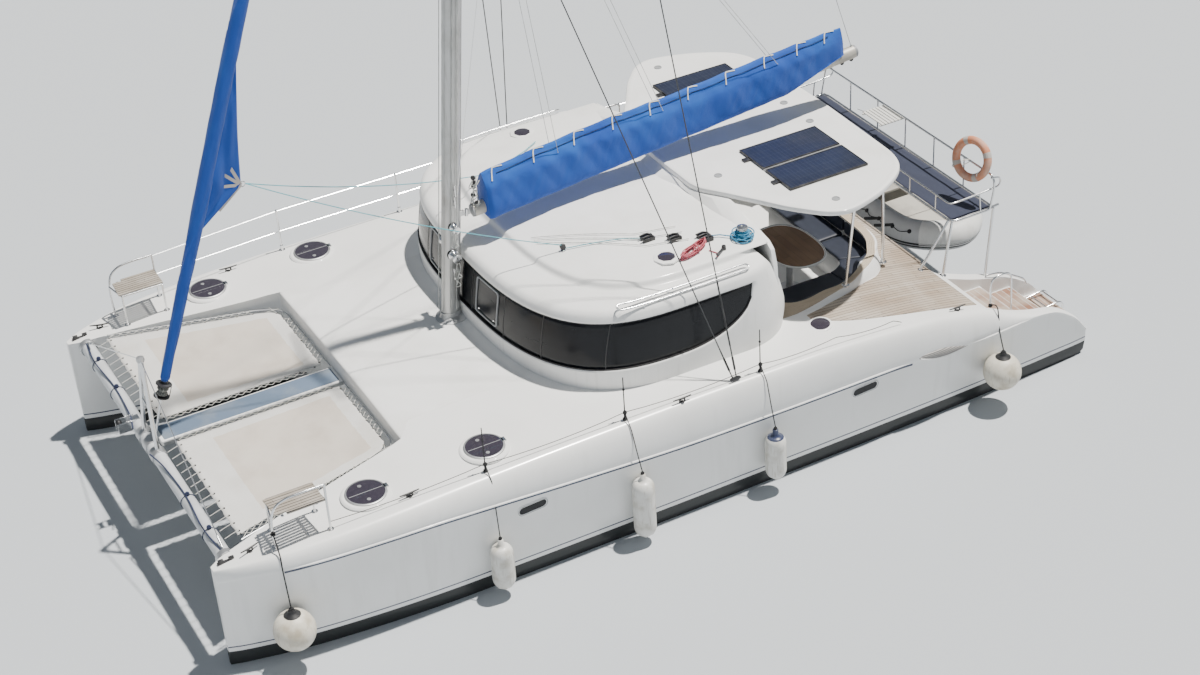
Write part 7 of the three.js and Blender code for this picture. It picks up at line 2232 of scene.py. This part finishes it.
for shift in (0, 5):
    for start in (bow_i - 34 + shift, bow_i + 34 - shift):
        rows = [[on_tube(start + (k if start < bow_i else -k), a, TENDER_R + 0.003)
            for a in np.linspace(-4 + 6 * k, 9 + 6 * k, 5)] for k in range(8)]
        bars_diag.append(skin(rows, closed=False))
bow_patch = tube_band(bow_i - 13, bow_i + 14, -20, 150, TENDER_R + 0.003, 16)
grab = []
for side_range in (range(14, bow_i - 12, 6), range(count_t - 15, bow_i + 12, -6)):
    hold = []
    for i in side_range:
        hold.append(on_tube(i, 38, TENDER_R + 0.012))
        grab.append(turned(((0, 0), (0.03, 0), (0.026, 0.008), (0.01, 0.016), (0, 0.016)),
            on_tube(i, 38, TENDER_R - 0.001), on_tube(i, 38, 1.0) - tube_path[i], 16))
        nxt = i + (3 if i < bow_i else -3)
        hold.append(on_tube(nxt, 30, TENDER_R + 0.028))
    grab.append(pipe(hold[:-1], 0.006, 7, 4))
piece("tender_tubes", [(skin(tube_rings), hypalon), (tube_bands + bars_diag, black_seal),
    (bow_patch, white_patch), (grab, black_rope)], stands_for=["tender_tube"],
    smooth=60)
beige_floor = surface("tender_floor_grey", (0.42, 0.4, 0.35), 0.7,
    relief=(("Voronoi", 60.0, 0.0), 0.4, 0.002), worn=((0.46, 0.44, 0.39), (0.3, 0.28, 0.25), 0.8, 3.0))
floor_outline = rounded([(-5.475, -1.28), (-4.585, -1.28), (-4.585, 0.1), (-4.8, 0.8), (-5.26, 0.8),
    (-5.475, 0.1)], 0.1)
floor_board = slab(floor_outline, ((0.02, 0.972), (0.0, 0.98), (0.0, 1.01), (0.012, 1.018)))
transom = block(-5.43, -4.63, -1.285, -1.25, 0.98, 1.275)
bench = slab(rounded(rectangle(-5.42, -4.64, -0.42, -0.2), 0.02),
    ((0.0, 1.155), (0.0, 1.182), (0.004, 1.186)))
piece("tender_floorboards", [(floor_board, beige_floor), (transom, white_patch), (bench, beige_floor)],
    stands_for=["tender_floor"], soften=0.003)

# Life ring. Faded orange foam with four grey reflecting bands, tied to the stern rail, with its
# white grab line.
RING_AT, RING_R, RING_T = vec(-4.895, 1.555, 2.475), 0.24, 0.055
RING_TURN = Matrix.Rotation(radians(15), 3, "Z") @ Matrix.Rotation(radians(-15), 3, "Y")
ring_foam = surface("ring_foam", (0.62, 0.24, 0.13), 0.7, relief=(("Noise", 120.0, 4.0), 0.3, 0.002),
    worn=((0.66, 0.26, 0.14), (0.62, 0.42, 0.33), 0.9, 5.0))


def ring_point(turn, angle, radius):
    out = RING_TURN @ vec(0, cos(turn), sin(turn))
    sideways = RING_TURN @ vec(radius * sin(angle) * 0.98, 0, 0)
    return RING_AT + out * (RING_R + radius * cos(angle)) + sideways


torus = skin([[ring_point(t, a, RING_T - 0.002) for a in around(20)] for t in np.linspace(0, 2 * pi, 73)],
    ends=(False, False))
bands = [
    skin([[ring_point(t, a, RING_T - 0.0005) for a in around(20)]
    for t in np.linspace(c - 0.13, c + 0.13, 7)], ends=(False, False)) for c in (0.5, 2.07, 3.64, 5.21)]
grab_line = []
for k in range(4):
    a0 = 0.5 + k * pi / 2
    grab_line += [ring_point(a0 + s * pi / 2, 0, RING_T - 0.012 + 0.022 * sin(pi * s) * 0.5)
        for s in np.linspace(0, 1, 9)[:-1]]
tie = []
for y, near_x in ((1.74, -4.91), (1.375, -4.81)):
    tie.append(pipe([(-5.017, y, 2.335), (-5.0, y, 2.357), (near_x - 0.06, y, 2.375),
        (near_x + 0.055, y - 0.01, 2.37), (near_x + 0.06, y - 0.01, 2.32), (near_x - 0.06, y, 2.3),
        (-5.0, y, 2.322)], 0.006, 8, 4, loop=True))
piece("life_ring_foam",
    [(torus, ring_foam), (bands, grey_webbing), (pipe(grab_line, 0.004, 6, 1, loop=True), cord_white),
    (tie, cord_white)], stands_for=["life_ring"], smooth=60)

# Fenders. Three long ones and two balls of white vinyl on dark ropes from the posts and cleats:
# scuffed sides, moulded eyes at their ends and dark caps where the old ones have them.
fender_vinyl = surface("fender_vinyl", (0.7, 0.69, 0.64), 0.42, Coat_Weight=0.15,
    worn=((0.74, 0.73, 0.69), (0.42, 0.38, 0.3), 0.75, 6.0), relief=(("Noise", 38.0, 8.0), 0.25, 0.002))
ball_vinyl = surface("ball_vinyl", (0.64, 0.59, 0.48), 0.45, Coat_Weight=0.1, relief=("worn", 0.3, 0.006),
    worn=((0.7, 0.66, 0.56), (0.4, 0.34, 0.24), 0.8, 5.0))
LONG_FENDERS = ((1, 2.7, 3.181, 0.42, 0.135, 0.33, (2.66, 2.87)),
    (2, 0.89, 3.211, 0.5, 0.135, 0.43, (0.9, 2.88)), (3, -0.9, 3.204, 0.5, 0.13, 0.34, (-0.89, 2.905)))
for number, x, y, z, r, half, (post_x, post_y) in LONG_FENDERS:
    neck = half + 0.045
    profile = [(0, -half + 0.002), (0.03, -half + 0.004), (0.036, -half + 0.028), (0.06, -half + 0.05)]
    profile += [(0.06 + (r - 0.002 - 0.06) * sin(t), -half + 0.05 + 0.115 * (1 - cos(t)))
        for t in np.linspace(0.2, pi / 2, 8)]
    profile += [(r - 0.002, 0.0)]
    profile += [(0.06 + (r - 0.002 - 0.06) * sin(t), half - 0.05 - 0.115 * (1 - cos(t)))
        for t in np.linspace(pi / 2, 0.2, 8)]
    profile += [(0.055, half - 0.045), (0.034, half - 0.02), (0.032, neck - 0.004), (0.026, neck), (0, neck)]
    body_shape = turned(profile, (x, y, z), steps=32)
    cap_shape = turned([(rr + 0.0015, h) for rr, h in profile[-8:-1]] + [(0, neck + 0.0015)], (x, y, z),
        steps=32)
    top = vec(x, y, z + neck)
    over = vec(post_x, post_y + 0.145, edge_z(post_x, post_y) - 0.075)
    rope = [top - vec(0, 0, 0.02), top + vec(0, 0, 0.03), top.lerp(over, 0.5), over,
        vec(post_x, post_y + 0.07, edge_z(post_x, post_y) + 0.018),
        vec(post_x, post_y + 0.01, edge_z(post_x, post_y) + 0.1)]
    shapes = [(body_shape, fender_vinyl), (pipe(rope, 0.0065, 8, 5), black_rope),
        (pipe(knot(top + vec(0, 0, 0.01), 0.018), 0.006, 7, 2), black_rope)]
    if number == 3:
        shapes.append((cap_shape, navy_line))
    piece(f"long_fender_{number}", shapes, stands_for=[f"fender_{number}"], smooth=60)
BALL_R = 0.236
BALL_FENDERS = ((4, 5.15, 3.079, 0.55, (5.11, 2.74, 1.62)), (5, -4.16, 3.275, 0.51, (-4.31, 2.79, 1.16)))
for number, x, y, z, tied in BALL_FENDERS:
    profile = [(BALL_R * sin(t), -BALL_R * cos(t)) for t in np.linspace(0, pi * 0.8, 22)]
    profile += [(0.115, BALL_R * 0.86), (0.075, BALL_R * 0.96), (0.05, BALL_R * 1.03)]
    cap_profile = [(0.098, BALL_R * 0.9), (0.08, BALL_R * 0.965), (0.052, BALL_R * 1.04),
        (0.04, BALL_R * 1.1), (0.038, BALL_R + 0.042), (0, BALL_R + 0.044)]
    top = vec(x, y, z + BALL_R + 0.04)
    tied = Vector(tied)
    edge = vec(x + (tied.x - x) * 0.6, station(x)[4] + 0.012, knuckle_z(x) + 0.02)
    over = vec(x + (tied.x - x) * 0.8, station(x)[6] + 0.07, station(x)[7] + 0.01)
    rope = [top - vec(0, 0, 0.01), top + vec(0, 0, 0.04), edge, over, tied]
    piece(f"ball_fender_{number}",
        [(turned(profile, (x, y, z), steps=40), ball_vinyl),
        (turned(cap_profile, (x, y, z), steps=40), black_seal), (pipe(rope, 0.008, 8, 6), black_rope),
        (pipe(knot(top, 0.028), 0.008, 7, 2), black_rope),
        (pipe(knot(tied, 0.022), 0.008, 7, 2), black_rope)], stands_for=[f"fender_{number}"],
        smooth=60)

# Underwater gear. Rudders and drive legs painted with antifouling, and bronze propellers; all keep
# their solids' shapes.
slime = ("Noise", 11.0, 7.0)
antifouling = surface("antifouling", (0.012, 0.013, 0.014), 0.85, relief=(slime, 0.4, 0.004),
    tones=((0.008, 0.009, 0.01), (0.05, 0.055, 0.045), slime))
bronze = surface("bronze", (0.32, 0.2, 0.09), 0.42, Metallic=0.9,
    tones=((0.2, 0.14, 0.07), (0.4, 0.26, 0.12), ("Noise", 24.0, 6.0)))
for side_name, _ in SIDES:
    for part_name, coat in (("rudder", antifouling), ("saildrive", antifouling), ("propeller", bronze)):
        bpy.data.objects[f"{part_name}_{side_name}"].material_slots[0].material = coat

size = {"cad": [list(corner) for corner in cad_box], "visual": [list(corner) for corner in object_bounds()]}
